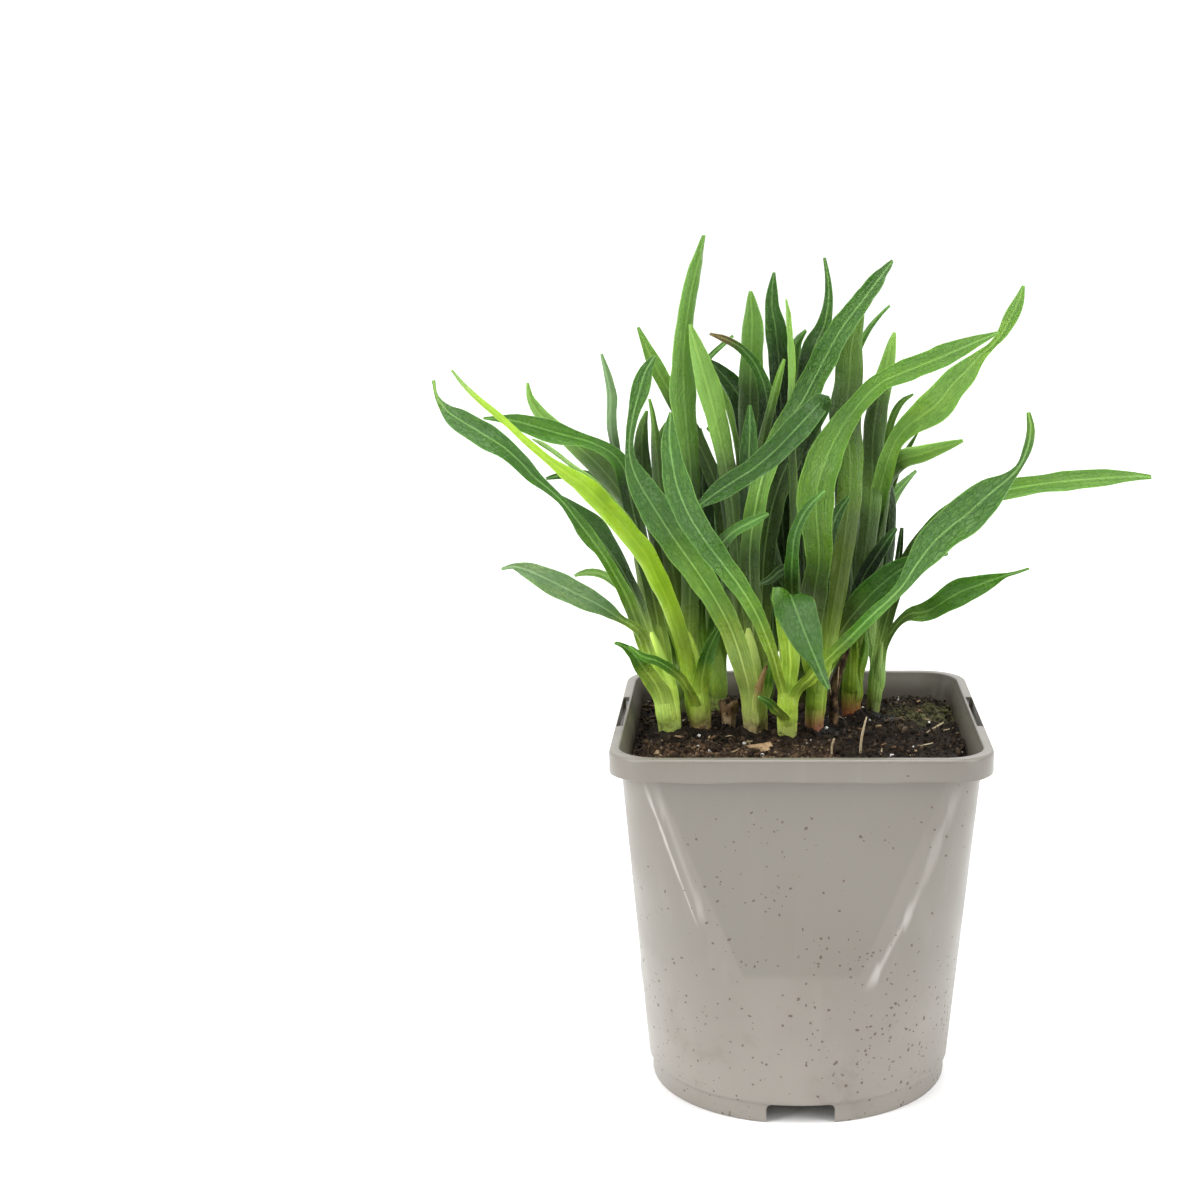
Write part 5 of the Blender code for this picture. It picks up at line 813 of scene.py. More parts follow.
def pot_wall(bm):
    """Outer wall up to the folded rim, over it and down inside to the base plate."""
    under = POT_HEIGHT - RIM_WALL
    hollow = RIM_HALF - RIM_WALL
    inside = FOOT_HALF - FOOT_WALL
    # Foot ring and its roundings, from the base plate's underside out and up to the wall.
    foot = ((inside, FOOT_HEIGHT - 0.4), (inside, 0.2), (inside + 0.2, 0), (FOOT_HALF - 0.4, 0),
            (FOOT_HALF - 0.1, 0.12), (FOOT_HALF, 0.5), (FOOT_HALF, FOOT_HEIGHT - 0.5),
            (FOOT_HALF + 0.15, FOOT_HEIGHT - 0.15), (BODY_FOOT_HALF - 0.25, FOOT_HEIGHT),
            (BODY_FOOT_HALF, FOOT_HEIGHT + 0.3))
    outlines = [square_ring(half, 0, z) for half, z in foot]
    outlines += [wall_ring(z) for z in WALL_HEIGHTS]
    outlines += [wall_ring(SKIRT),
                 square_ring(OPENING_HALF + 0.6, BODY_TOP_FLAT, SHOULDER + 0.8),
                 square_ring(OPENING_HALF + 0.8, BODY_TOP_FLAT, under),
                 square_ring(hollow, RIM_FLAT, under)]
    # The flange's lower edge, then the rim's outer and inner roundings.
    for half, z in ((hollow, SKIRT), (RIM_HALF - 0.35, SKIRT - 0.05), (RIM_HALF - 0.08, SKIRT + 0.12),
                    (RIM_HALF, SKIRT + 0.5)):
        outlines.append(waved(square_ring(half, RIM_FLAT, z), RIM_WAVER, RIM_PACE))
    outlines.append(square_ring(RIM_HALF - 0.05, RIM_FLAT, POT_HEIGHT - 3.0))
    for turn in (0.0, 22.5, 45.0, 67.5, 90.0):
        rise = math.sin(math.radians(turn)) - 1.0
        reach = math.cos(math.radians(turn)) - 1.0
        outlines.append(square_ring(RIM_HALF + RIM_ROUND * reach, RIM_FLAT,
                                    POT_HEIGHT + RIM_ROUND * rise))
    for turn in (90.0, 60.0, 30.0, 0.0):
        rise = math.sin(math.radians(turn)) - 1.0
        reach = 1.0 - math.cos(math.radians(turn))
        outlines.append(square_ring(OPENING_HALF + MOUTH_ROUND * reach, BODY_TOP_FLAT,
                                    POT_HEIGHT + MOUTH_ROUND * rise))
    outlines += [square_ring(OPENING_HALF - 0.3, BODY_TOP_FLAT, SHOULDER + 2.0),
                 wall_ring(SHOULDER, WALL + 0.1)]
    outlines += [wall_ring(z, WALL) for z in reversed(WALL_HEIGHTS)]
    loft(bm, outlines)


def pot_cutters(bm):
    """Notches in the foot, drain holes in the base plate and label slots in the rim."""
    for angle in NOTCH_ANGLES:
        made = bmesh.ops.create_cube(bm, size=1.0)
        top = FOOT_HEIGHT - 0.35
        bmesh.ops.scale(bm, verts=made["verts"], vec=(10.0, NOTCH_WIDTH, top + 1.0))
        bmesh.ops.translate(bm, verts=made["verts"], vec=(FOOT_HALF - 1.0, 0.0, (top - 1.0) / 2))
        upper = [edge for edge in {edge for vert in made["verts"] for edge in vert.link_edges}
                 if all(vert.co.z > 0 for vert in edge.verts)
                 and abs(edge.verts[0].co.y - edge.verts[1].co.y) < 0.1]
        solid = bmesh.ops.bevel(bm, geom=upper, offset=NOTCH_CORNER, segments=4, profile=0.5,
                                affect="EDGES", material=-1)
        whole = {vert for vert in made["verts"] if vert.is_valid} | set(solid["verts"])
        bmesh.ops.rotate(bm, verts=list(whole), cent=(0, 0, 0),
                         matrix=Matrix.Rotation(math.radians(angle), 3, "Z"))
    for k in range(DRAIN_HOLES):
        turn = 2 * math.pi * (k + 0.5) / DRAIN_HOLES
        made = bmesh.ops.create_cone(bm, cap_ends=True, segments=24, radius1=DRAIN_RADIUS,
                                     radius2=DRAIN_RADIUS, depth=6.0)
        bmesh.ops.translate(bm, verts=made["verts"], vec=(
            DRAIN_CIRCLE * math.cos(turn), DRAIN_CIRCLE * math.sin(turn), FOOT_HEIGHT))
    for sign in (-1.0, 1.0):
        made = bmesh.ops.create_cube(bm, size=1.0)
        bmesh.ops.scale(bm, verts=made["verts"],
                        vec=(SLOT_OUTER - SLOT_INNER, 2 * SLOT_HALF_LENGTH, 2 * SLOT_DEPTH))
        bmesh.ops.translate(bm, verts=made["verts"],
                            vec=(sign * (SLOT_OUTER + SLOT_INNER) / 2, 0.0, POT_HEIGHT))
    bmesh.ops.scale(bm, verts=bm.verts[:], vec=(MM, MM, MM))


def make_pot(material):
    """Moulded pot: its wall, with the notches, holes and slots cut out."""
    wall = bmesh.new()
    pot_wall(wall)
    face_outwards(wall)
    pot = new_piece("nursery_pot", wall, material, "pot_plastic", "pot")
    cutters = bmesh.new()
    pot_cutters(cutters)
    face_outwards(cutters)
    knife = new_object("knife", cutters)
    change = pot.modifiers.new("cut", "BOOLEAN")
    change.operation = "DIFFERENCE"
    change.solver = "EXACT"
    change.object = knife
    apply_changes(pot)
    bpy.data.objects.remove(knife, do_unlink=True)
    pot.data.shade_smooth()
    pot.data.set_sharp_from_angle(angle=math.radians(POT_EDGE_ANGLE))
    inner = pot.data.attributes.new("inner", "FLOAT", "POINT")
    for index, vert in enumerate(pot.data.vertices):
        faces_axis = vert.normal.x * vert.co.x + vert.normal.y * vert.co.y < 0
        inner.data[index].value = 1.0 if faces_axis and vert.co.z > SOIL_EDGE * MM / 2 else 0.0
    return pot


def apply_changes(piece):
    """Makes a piece's modifiers part of its mesh."""
    graph = bpy.context.evaluated_depsgraph_get()
    mesh = bpy.data.meshes.new_from_object(piece.evaluated_get(graph))
    piece.modifiers.clear()
    piece.data = mesh


def soil_height(x, y):
    """Uneven top of the soil, a little higher round the shoots."""
    mound = 1.0 * math.exp(-((x + 6) / 26) ** 2 - ((y - 12) / 22) ** 2)
    rough = (0.45 * math.sin(0.41 * x + 1.3) * math.cos(0.37 * y - 0.4)
             + 0.3 * math.sin(0.83 * x - 0.71 * y) + 0.2 * math.cos(1.27 * y + 0.6 * x))
    return SOIL_LEVEL - 0.2 + mound + rough


# Feet of the shoots on the soil: x, y and the two half-widths.
CORES = [core_path(name)[0, [0, 1, 3, 4]].tolist() for name in SHOOTS]


def ground(x, y):
    """Height of the crumbled surface: the soil's top with lumps and pits."""
    lumps = noise.noise(Vector((x, y, 3.0)) * 0.30) + 0.6 * noise.noise(Vector((x, y, 8.0)) * 0.75)
    grains = 0.32 * noise.noise(Vector((x, y, 5.0)) * 1.9)
    heap = 0.0
    for foot_x, foot_y, rx, ry in CORES:
        beyond = max(0.0, math.hypot((x - foot_x) / rx, (y - foot_y) / ry) - 0.9)
        heap += 1.1 * math.exp(-beyond ** 2 * 7)
    return soil_height(x, y) + lumps + grains + min(heap, 1.3)


def inside_pot(x, y, margin):
    """Whether a spot of soil is clear of the pot's wall."""
    half = BODY_TOP_HALF - WALL - margin
    over_x, over_y = max(0.0, abs(x) - BODY_TOP_FLAT), max(0.0, abs(y) - BODY_TOP_FLAT)
    return math.hypot(over_x, over_y) < half - BODY_TOP_FLAT


def near_shoot(x, y, margin):
    """Whether a spot of soil is taken by a shoot's core."""
    return any(math.hypot((x - foot_x) / (rx + margin), (y - foot_y) / (ry + margin)) < 1.0
               for foot_x, foot_y, rx, ry in CORES)


def make_soil(material):
    """Block of soil in the pot, with a crumbled top."""
    bm = bmesh.new()
    inset = WALL + 0.15
    outlines = [wall_ring(PLATE_TOP + 0.3, inset)]
    outlines += [wall_ring(z, inset) for z in WALL_HEIGHTS if z > 8]
    edge = wall_ring(SOIL_EDGE, inset)
    for step in range(SOIL_STEPS):
        share = 1.0 - step / SOIL_STEPS
        sink = 1.1 * max(0.0, 1.0 - (1.0 - share) * 14)
        outlines.append([(x * share, y * share, ground(x * share, y * share) - sink)
                         for x, y, _ in edge])
    loft(bm, outlines)
    face_outwards(bm)
    return new_piece("soil_bed", bm, material, "peat_soil", "soil")


def scatter(draw, margin):
    """Random spot on the soil, clear of the pot's wall and of the shoots."""
    while True:
        x, y = draw.uniform(-41, 41), draw.uniform(-41, 41)
        if inside_pot(x, y, margin) and not near_shoot(x, y, 0.2):
            return x, y


def gathered(rows, maker, at_once=40):
    """Many small shapes as one mesh in the making; they are made a few at a time, for speed."""
    whole = bmesh.new()
    for start in range(0, len(rows), at_once):
        part = bmesh.new()
        part.verts.layers.float.new("shade")
        for row in rows[start:start + at_once]:
            maker(part, *row)
        face_outwards(part)
        mesh = bpy.data.meshes.new("part")
        part.to_mesh(mesh)
        part.free()
        whole.from_mesh(mesh)
        bpy.data.meshes.remove(mesh)
    return whole


def add_lump(bm, draw, place, size, levels, shade, rough=0.2):
    """One irregular grain, with a shade of its own."""
    layer = bm.verts.layers.float["shade"]
    verts = bmesh.ops.create_icosphere(bm, subdivisions=levels, radius=1.0)["verts"]
    stretch = Vector((1.0, draw.uniform(0.55, 1.0), draw.uniform(0.45, 0.9))) * size * MM
    turn = Euler([draw.uniform(0, 2 * math.pi) for _ in range(3)]).to_matrix()
    seed = Vector([draw.uniform(-50, 50) for _ in range(3)])
    for vert in verts:
        puff = 1.0 + rough * 2.4 * noise.noise(vert.co * 1.3 + seed)
        point = Vector([value * stretch[k] * puff for k, value in enumerate(vert.co)])
        vert.co = turn @ point + Vector(place) * MM
        vert[layer] = shade


def make_crumbs(material):
    """Grains and lumps of peat lying on the soil, and dirt on the rim's inside at the front."""
    draw = random.Random(11)
    rows = []
    for index in range(CRUMBS):
        big = index % 40 == 0
        size = draw.uniform(0.8, 1.3) if big else 0.20 + 0.55 * draw.random() ** 2.4
        x, y = scatter(draw, size + 0.2)
        z = ground(x, y) + size * draw.uniform(0.0, 0.45)
        rows.append((draw, (x, y, z), size, 2 if big else 1, draw.random()))
    for _ in range(RIM_DIRT):
        x = draw.uniform(-36.0, 40.0)
        y = -OPENING_HALF + draw.uniform(0.2, 1.5)
        size = draw.uniform(0.18, 0.55)
        rows.append((draw, (x, y, SHOULDER + 2.6 * draw.random()), size, 1, draw.random()))
    return new_piece("soil_crumbs", gathered(rows, add_lump), material, "peat_soil")


def add_fibre(bm, draw, x, y, length, lift, radius, shade):
    """One fibre that wanders over the soil in a low arch."""
    layer = bm.verts.layers.float["shade"]
    heading = draw.uniform(0, 2 * math.pi)
    bend = draw.uniform(-0.8, 0.8)
    path = []
    for step in range(7):
        path.append((x, y, ground(x, y) + 0.15 + lift * math.sin(math.pi * step / 6)))
        heading += bend + draw.uniform(-0.25, 0.25)
        ahead = (x + length / 6 * math.cos(heading), y + length / 6 * math.sin(heading))
        if not inside_pot(*ahead, 0.8):
            break
        x, y = ahead
    if len(path) > 2:
        paint(tube(bm, path, np.linspace(radius, radius * 0.5, len(path)), 3), layer, shade)


def make_fibres(material):
    """Fine roots and peat fibres that lie over the soil."""
    draw = random.Random(23)
    rows = []
    for index in range(FIBRES):
        length = draw.uniform(1.6, 5.0) if index % 9 else draw.uniform(5.0, 10.0)
        radius = draw.uniform(0.04, 0.10) if index % 14 else draw.uniform(0.10, 0.17)
        rows.append((draw, *scatter(draw, 0.8), length, draw.uniform(0.2, 1.0), radius,
                     draw.random() ** 1.6))
    return new_piece("soil_fibres", gathered(rows, add_fibre, 12), material, "peat_soil")


def on_soil(x, z):
    """Spot of soil seen at (x, z) on the upright plane through the pot's axis."""
    reach = (SOIL_LEVEL - EYE[2]) / (z - EYE[2])
    return EYE[0] + (x - EYE[0]) * reach, (reach - 1.0) * -EYE[1]


def make_perlite(material):
    """White grains of perlite, the two largest in front of the left shoots."""
    draw = random.Random(31)
    spots = [(*on_soil(-22.3, 81.7), 0.75), (*on_soil(-9.0, 80.7), 0.7), (*on_soil(2.0, 83.5), 0.4)]
    for _ in range(PERLITE):
        spots.append((*scatter(draw, 1.0), draw.uniform(0.25, 0.6)))
    rows = [(draw, (x, y, ground(x, y) + size * 0.6), size, 2, draw.random(), 0.3)
            for x, y, size in spots]
    return new_piece("perlite_grains", gathered(rows, add_lump), material, "peat_soil")


def add_chip(bm, draw, x, y, length, width, shade):
    """One chip of bark: a thin ragged slab that lies flat or tilted."""
    layer = bm.verts.layers.float["shade"]
    bmesh.ops.create_cube(bm, size=2.0)
    bmesh.ops.subdivide_edges(bm, edges=bm.edges[:], cuts=2, use_grid_fill=True)
    seed = Vector([draw.uniform(-50, 50) for _ in range(3)])
    heading = 0.1 if length > BIG_CHIP else draw.uniform(0, 2 * math.pi)
    lean = 0.6 if length > BIG_CHIP else draw.uniform(-0.3, 0.3)
    turn = Euler((lean, draw.uniform(-0.2, 0.2), heading)).to_matrix()
    for vert in bm.verts:
        ragged = 1.0 + 0.35 * noise.noise(vert.co * 1.7 + seed)
        point = Vector((vert.co.x * length / 2 * ragged, vert.co.y * width / 2 * ragged,
                        vert.co.z * 0.16 + 0.1 * noise.noise(vert.co + seed)))
        vert.co = (turn @ point + Vector((x, y, ground(x, y) + 0.5))) * MM
        vert[layer] = shade


def make_chips(material):
    """Chips of bark and wood among the crumbs."""
    draw = random.Random(41)
    rows = [(draw, -9.9, -12.2, 6.0, 2.6, 0.97), (draw, *on_soil(-13.2, 87.0), 1.2, 0.5, 0.85)]
    for _ in range(CHIPS):
        rows.append((draw, *scatter(draw, 2.0), draw.uniform(0.8, 2.2), draw.uniform(0.3, 0.9),
                     draw.random()))
    return new_piece("bark_chips", gathered(rows, add_chip, 1), material, "peat_soil")


def make_straws(material):
    """Pale dry straws and root threads, some upright between the crumbs."""
    draw = random.Random(53)
    bm = bmesh.new()
    layer = bm.verts.layers.float.new("shade")
    rows = [(on_soil(x, z), lean, radius, shade) for x, z, lean, radius, shade in FRONT_STRAWS]
    for _ in range(STRAWS):
        x, y = scatter(draw, 5.5)
        turn = draw.uniform(0, 2 * math.pi)
        length = draw.uniform(2.5, 5.0)
        rows.append(((x, y), (length * math.cos(turn), length * math.sin(turn), draw.uniform(0.3, 1.6)),
                     draw.uniform(0.13, 0.3), draw.random()))
    for (x, y), lean, radius, shade in rows:
        sway = Vector([draw.uniform(-0.5, 0.5) for _ in range(3)])
        foot = Vector((x, y, ground(x, y) - 0.4))
        path = [foot + Vector(lean) * (step / 8) + sway * math.sin(math.pi * step / 8)
                for step in range(9)]
        thinner = [radius] * 6 + [radius * 0.9, radius * 0.8, radius * 0.6]
        paint(tube(bm, path, thinner, 6), layer, shade)
    face_outwards(bm)
    return new_piece("dry_straws", bm, material, "dry_stem")


def make_stump(material):
    """Cut-off old stem with a frayed brown top."""
    draw = random.Random(61)
    bm = bmesh.new()
    layer = bm.verts.layers.float.new("shade")
    x, y = STUMP_BASE
    levels = ((STUB_FOOT, 1.6), (84.0, 1.65), (87.0, 1.7), (88.4, 1.8), (89.5, 1.95), (90.6, 2.2),
              (91.6, 2.45), (92.3, 2.45), (92.9, 2.2), (92.6, 1.6), (91.4, 0.9), (90.8, 0.3))
    outlines = []
    for z, radius in levels:
        fray = smooth(z, 88.0, 92.0)
        ring = []
        for k in range(32):
            turn = 2 * math.pi * k / 32
            ragged = noise.noise(Vector((3 * math.cos(turn), 3 * math.sin(turn), z * 0.25)))
            reach = radius * (1.0 + 0.05 * math.sin(9 * turn) + 0.14 * fray * ragged)
            ring.append((x + reach * math.cos(turn), y + reach * math.sin(turn),
                         z + 1.4 * fray * ragged))
        outlines.append(ring)
    for step, ring in enumerate(loft(bm, outlines)):
        tone = 0.9 if step < 5 else 0.5 if step < 9 else 0.1
        for vert in ring:
            vert[layer] = tone + 0.25 * noise.noise(vert.co * 700)
    for k in range(SPLINTERS):
        turn = 2 * math.pi * k / SPLINTERS + draw.uniform(-0.1, 0.1)
        out = np.array((math.cos(turn), math.sin(turn), 0.0))
        reach = draw.uniform(1.2, 2.3)
        foot = np.array((x, y, draw.uniform(88.5, 91.5))) + out * reach
        tip = foot + out * draw.uniform(-0.3, 0.9) + np.array((0, 0, draw.uniform(1.0, 2.8)))
        middle = (foot + tip) / 2 + out * draw.uniform(-0.2, 0.4)
        paint(tube(bm, (foot, middle, tip), (0.2, 0.15, 0.06), 4), layer,
              lambda vert: draw.uniform(0.3, 1.0))
    face_outwards(bm)
    return new_piece("frayed_stump", bm, material, "dry_stem", "cut_stump")


def make_dry_stem(material):
    """Dry old stem, split near its top, with the split end leaning right."""
    bm = bmesh.new()
    layer = bm.verts.layers.float.new("shade")
    x, y = DRY_BASE
    rows = np.array(((x, y, STUB_FOOT, 1.15, 1.15), (x, y, 86.0, 1.2, 1.2), (x, y, 90.0, 1.2, 1.15),
                     (x - 0.1, y, 93.0, 1.15, 1.1), (x + 0.1, y, 95.2, 1.2, 1.0),
                     (x + 0.4, y, 97.0, 1.25, 0.95), (x + 0.9, y, 99.0, 1.15, 0.85),
                     (x + 1.5, y, 100.5, 1.05, 0.75), (x + 2.2, y - 0.1, 102.4, 0.9, 0.65),
                     (x + 2.9, y - 0.2, 104.0, 0.7, 0.5), (x + 3.8, y - 0.4, 106.2, 0.2, 0.2)))
    outlines = []
    for cx, cy, z, rx, ry in hermite(rows, np.linspace(0.0, 1.0, 40)):
        split = 0.45 * smooth(z, 94.0, 97.0)
        ring = []
        for k in range(28):
            turn = 2 * math.pi * k / 28
            knots = noise.noise(Vector((2 * math.cos(turn), 2 * math.sin(turn), z * 0.4)))
            rib = 1.0 + 0.05 * math.sin(7 * turn) + 0.12 * knots
            gash = 1.0 - split * math.exp(-((turn - 4.4) / 0.35) ** 2)
            ring.append((cx + rx * rib * gash * math.cos(turn),
                         cy + ry * rib * gash * math.sin(turn), z))
        outlines.append(ring)
    paint(loft(bm, outlines), layer, lambda vert: 0.25 + 0.6 * noise.noise(vert.co * 900))
    for foot, tip, radius in (((x + 0.7, y - 0.6, 95.5), (x + 1.2, y - 1.0, 101.5), 0.28),
                              ((x - 0.6, y - 0.5, 92.5), (x - 1.1, y - 0.8, 96.8), 0.24)):
        middle = [(a + b) / 2 for a, b in zip(foot, tip)]
        paint(tube(bm, (foot, middle, tip), (radius, radius * 0.8, 0.08), 5), layer, 0.95)
    face_outwards(bm)
    return new_piece("split_dry_stem", bm, material, "dry_stem", "dry_stem")


def paint_clump_shade(leaves):
    """For every leaf, how far in among the others each station sits, 0 to 1; it sets the painted shade.
    """
    owner = np.repeat(np.arange(len(leaves)), STATIONS)
    rows = np.concatenate([leaf["rows"] for leaf in leaves.values()])
    for index, leaf in enumerate(leaves.values()):
        own = leaf["rows"]
        aside = np.linalg.norm(own[:, None, :2] - rows[None, :, :2], axis=2)
        ahead = own[:, None, 2] - rows[None, :, 2]
        cover = np.exp(-(aside / CROWD_REACH) ** 2) * rows[None, :, 3] / 5.0 * (owner[None] != index)
        front = (cover * (ahead > 2.0)).sum(axis=1)
        back = (cover * (ahead < -2.0)).sum(axis=1)
        leaf["crowd"] = smooth(front, 1.2, 8.0) * (0.5 + 0.5 * smooth(back, 0.0, 4.0))


def core_at(shoot, z):
    """Centre and half-widths of a shoot's core at the heights."""
    path = core_path(shoot)
    return [np.interp(z, path[:, 2], path[:, k]) for k in (0, 1, 3, 4)]


def blend_tints(first, second, share):
    """Colour that lies the share of the way from the first to the second."""
    return tuple(a + (b - a) * share for a, b in zip(first, second))


def add_core(bm, layers, shoot, number):
    """Core of a shoot: ribbed, upright in the soil, then leaning and running out upwards."""
    # the foot colours carry painted shade on the back shoots and painted light on shoot_01
    foot, sheath = FOOT_COLOURS_AND_SHADE[shoot]
    path = core_path(shoot)
    path = np.vstack([path[0], path])
    path[0, 2] = STEM_FOOT
    outlines = []
    for cx, cy, z, rx, ry in hermite(path, np.linspace(0.0, 1.0, 44)):
        swell = 1.02 - 0.10 * math.exp(-((z - SOIL_LEVEL) / 5.0) ** 2)
        ring = []
        for k in range(CORE_SIDES):
            turn = 2 * math.pi * k / CORE_SIDES
            furrows = 0.012 * math.sin(13 * turn + 0.02 * z)
            rib = swell * (0.94 + furrows + 0.05 * math.sin(3 * turn + number + z * 0.05))
            ring.append((cx + rx * rib * math.cos(turn), cy + ry * rib * math.sin(turn), z))
        outlines.append(ring)
    for ring in loft(bm, outlines):
        for k, vert in enumerate(ring):
            z = vert.co.z / MM
            vert[layers["blade"]] = (9.0 * abs(2 * k / CORE_SIDES - 1), z - SOIL_LEVEL, number * 7.3)
            vert[layers["form"]] = (0.5, -1.0, 0.0)
            vert[layers["tint"]] = (*blend_tints(foot, sheath, smooth(z, *GREENING)), 0.4)


def blade_slab(bm, steps):
    """Slab of grid faces, one unit each way; gives back its corners and its faces."""
    made = bmesh.ops.create_grid(bm, x_segments=steps, y_segments=ACROSS, size=0.5)["verts"]
    sheet = list({face for vert in made for face in vert.link_faces})
    grown = bmesh.ops.extrude_face_region(bm, geom=sheet)["geom"]
    top = [part for part in grown if isinstance(part, bmesh.types.BMVert)]
    bmesh.ops.translate(bm, verts=top, vec=(0.0, 0.0, 1.0))
    verts = made + top
    slab = list({face for vert in verts for face in vert.link_faces})
    bmesh.ops.recalc_face_normals(bm, faces=slab)
    return verts, slab


def turned_in(slab):
    """Whether the faces of a closed slab point inwards."""
    volume = 0.0
    for facet in slab:
        corners = [vert.co for vert in facet.verts]
        for k in range(1, len(corners) - 1):
            volume += corners[0].dot(corners[k].cross(corners[k + 1]))
    return volume < 0


def add_blade(bm, layers, name, leaf, number, rank):
    """One leaf: a slab of grid faces, its corners moved to the blade's two faces."""
    run = leaf["rows"]
    # the foot colours carry painted shade on the back shoots and painted light on shoot_01
    foot, sheath = ((*colour, wrinkled) for colour, wrinkled in zip(FOOT_COLOURS_AND_SHADE[leaf["shoot"]], (0.6, 0.3)))
    low, high = (TINTS[tint] for tint in leaf["tints"])
    length = np.linalg.norm(np.diff(to_space(run[:, 0], run[:, 1], run[:, 2]), axis=0), axis=1).sum()
    steps = int(min(84, max(18, round(length / STEP))))
    verts, slab = blade_slab(bm, steps)
    flat = np.array([vert.co[:] for vert in verts])
    row = np.rint((flat[:, 0] + 0.5) * steps).astype(int)
    place = np.sign(flat[:, 1]) * np.abs(2 * flat[:, 1]) ** 1.5
    face = np.where(flat[:, 2] > 0.5, 1.0, -1.0)

    at = np.linspace(0.0, 1.0, steps + 1)
    crowd = np.interp(at, np.linspace(0.0, 1.0, STATIONS), leaf["crowd"])
    rows = hermite(run, at)
    centre, side, normal = blade_frames(rows)
    distance = at * length
    half = rows[:, 3] / 2
    along = unit(np.gradient(centre, axis=0))

    # Low down the blade lies round its shoot's core, and leaves it on the side it grows to.
    axis_x, axis_y, rx, ry = core_at(leaf["shoot"], centre[:, 2])
    hold = min(CLASP, 0.5 * length)
    leave = int(np.searchsorted(distance, hold))
    away = np.array((centre[leave, 0] - axis_x[leave], centre[leave, 1] - axis_y[leave], 0.0))
    away = unit(away + 0.35 * np.array((math.cos(2.4 * number), math.sin(2.4 * number), 0.0)))
    clasp = 1.0 - smooth(distance, 0.25 * hold, hold)
    sunk = 1.0 - 0.30 * np.exp(-distance / 1.2)
    radius = 0.5 * (rx + ry) * (0.96 + 0.05 * rank) * sunk
    core_middle = np.column_stack([axis_x, axis_y, centre[:, 2]])
    outward = unit(away[None] - along * (along @ away)[:, None])
    facing = 1.0 if outward[0, 1] > 0 else -1.0
    tangent = np.cross(along, outward * facing)

    across = place * half[row] * (1.0 + 0.035 * np.sin(distance[row] * 0.55 + number)
                                  * np.abs(place)) * (1.0 + 0.2 * clasp[row])
    turn = (across / np.maximum(radius[row], 0.8))[:, None]
    curl = radius[row][:, None]
    clasped = (core_middle[row] + outward[row] * curl * np.cos(turn)
               + tangent[row] * curl * np.sin(turn))
    clasped_face = (outward[row] * np.cos(turn) + tangent[row] * np.sin(turn)) * facing

    # Further out it is free: a gutter with waved edges.
    wave = 0.16 * np.sign(place) * np.abs(place) ** 1.5 * np.sin(
        2 * math.pi * (leaf["waves"] + 0.5) * at[row] + np.where(place > 0, 0.9, 0.0))
    wrinkled = high[3]
    fine = (0.05 + 0.06 * wrinkled) * np.abs(place) * (
        np.sin(distance[row] * 0.42 + 3.1 * number + 1.7 * np.sign(place))
        + 0.6 * np.sin(distance[row] * 1.07 + 1.3 * number + 2.2 * np.sign(place)))
    puffed = -0.10 * np.sin(math.pi * np.abs(place)) * leaf["face"]
    lift = leaf["face"] * GUTTER * place ** 2 + (wave if leaf["waves"] else 0.0) + fine + puffed
    free = centre[row] + side[row] * across[:, None] - normal[row] * (half[row] * lift)[:, None]
    weight = clasp[row][:, None]
    point = clasped * weight + free * (1.0 - weight)
    push = unit(clasped_face * weight + normal[row] * (1.0 - weight))

    # Its two faces: dented, thin towards the edges, with the midrib standing out below.
    dents = np.array([noise.noise(Vector((a * 0.55, d * 0.22, number * 5.1))) for a, d in
                      zip(across, distance[row])])
    point = point + push * ((0.1 + 0.22 * wrinkled) * dents * (1.0 - clasp[row]))[:, None]
    tip = np.minimum(1.0, (1.0 - at) / 0.08 + 0.35)
    thick = (SKIN * (1.0 - 0.6 * place ** 2) + 0.35 * clasp[row]) * tip[row]
    ridge = np.exp(-(across / MIDRIB) ** 2) * tip[row] * np.minimum(1.0, half[row] / 1.6)
    upper = face * leaf["face"] < 0
    bump = np.where(upper, -0.12, 0.26) * ridge
    point = point + push * (face * (thick / 2 + bump))[:, None]

    rib_strength = RIB_STRENGTH[leaf["tints"][1]]
    for k, vert in enumerate(verts):
        share = at[row[k]]
        z = centre[row[k], 2]
        vert.co = point[k] * MM
        tint = blend_tints(sheath, low, float(smooth(distance[row[k]], *SHEATH_LENGTHS)))
        tint = blend_tints(tint, high, float(smooth(share, *HIGH_SHARES)))
        if name in TIPS:
            tint = blend_tints(tint, TINTS[TIPS[name]], float(smooth(share, *TIP_SHARES)))
        tint = blend_tints(foot, tint, float(smooth(z, *GREENING)))
        # painted shade: leaves inside the clump are darkened in their colour by how crowded they sit
        painted_shade = 1.0 - PAINTED_CLUMP_SHADE * crowd[row[k]] ** 1.8 * float(smooth(z, *SHADE_HEIGHTS))
        vert[layers["blade"]] = (across[k], distance[row[k]], number * 3.7)
        vert[layers["form"]] = (abs(place[k]), 1.0 if upper[k] else -1.0,
                                rib_strength * float(1.0 - clasp[row[k]]))
        vert[layers["tint"]] = (tint[0] * painted_shade, tint[1] * painted_shade, tint[2] * painted_shade, tint[3])
    if turned_in(slab):
        bmesh.ops.reverse_faces(bm, faces=slab)


def make_shoot(shoot, leaves, material, first_number):
    """One shoot: its core and all of its leaves."""
    bm = bmesh.new()
    layers = {"blade": bm.verts.layers.float_vector.new("blade"),
              "form": bm.verts.layers.float_vector.new("form"),
              "tint": bm.verts.layers.float_color.new("tint")}
    add_core(bm, layers, shoot, first_number)
    face_outwards(bm)
    own = [name for name in leaves if leaves[name]["shoot"] == shoot]
    for rank, name in enumerate(own):
        add_blade(bm, layers, name, leaves[name], first_number + rank, rank % 5)
    return new_piece(shoot.replace("shoot", "leafy_shoot"), bm, material, "leaf_green", shoot,
                     sharp=LEAF_EDGE_ANGLE)


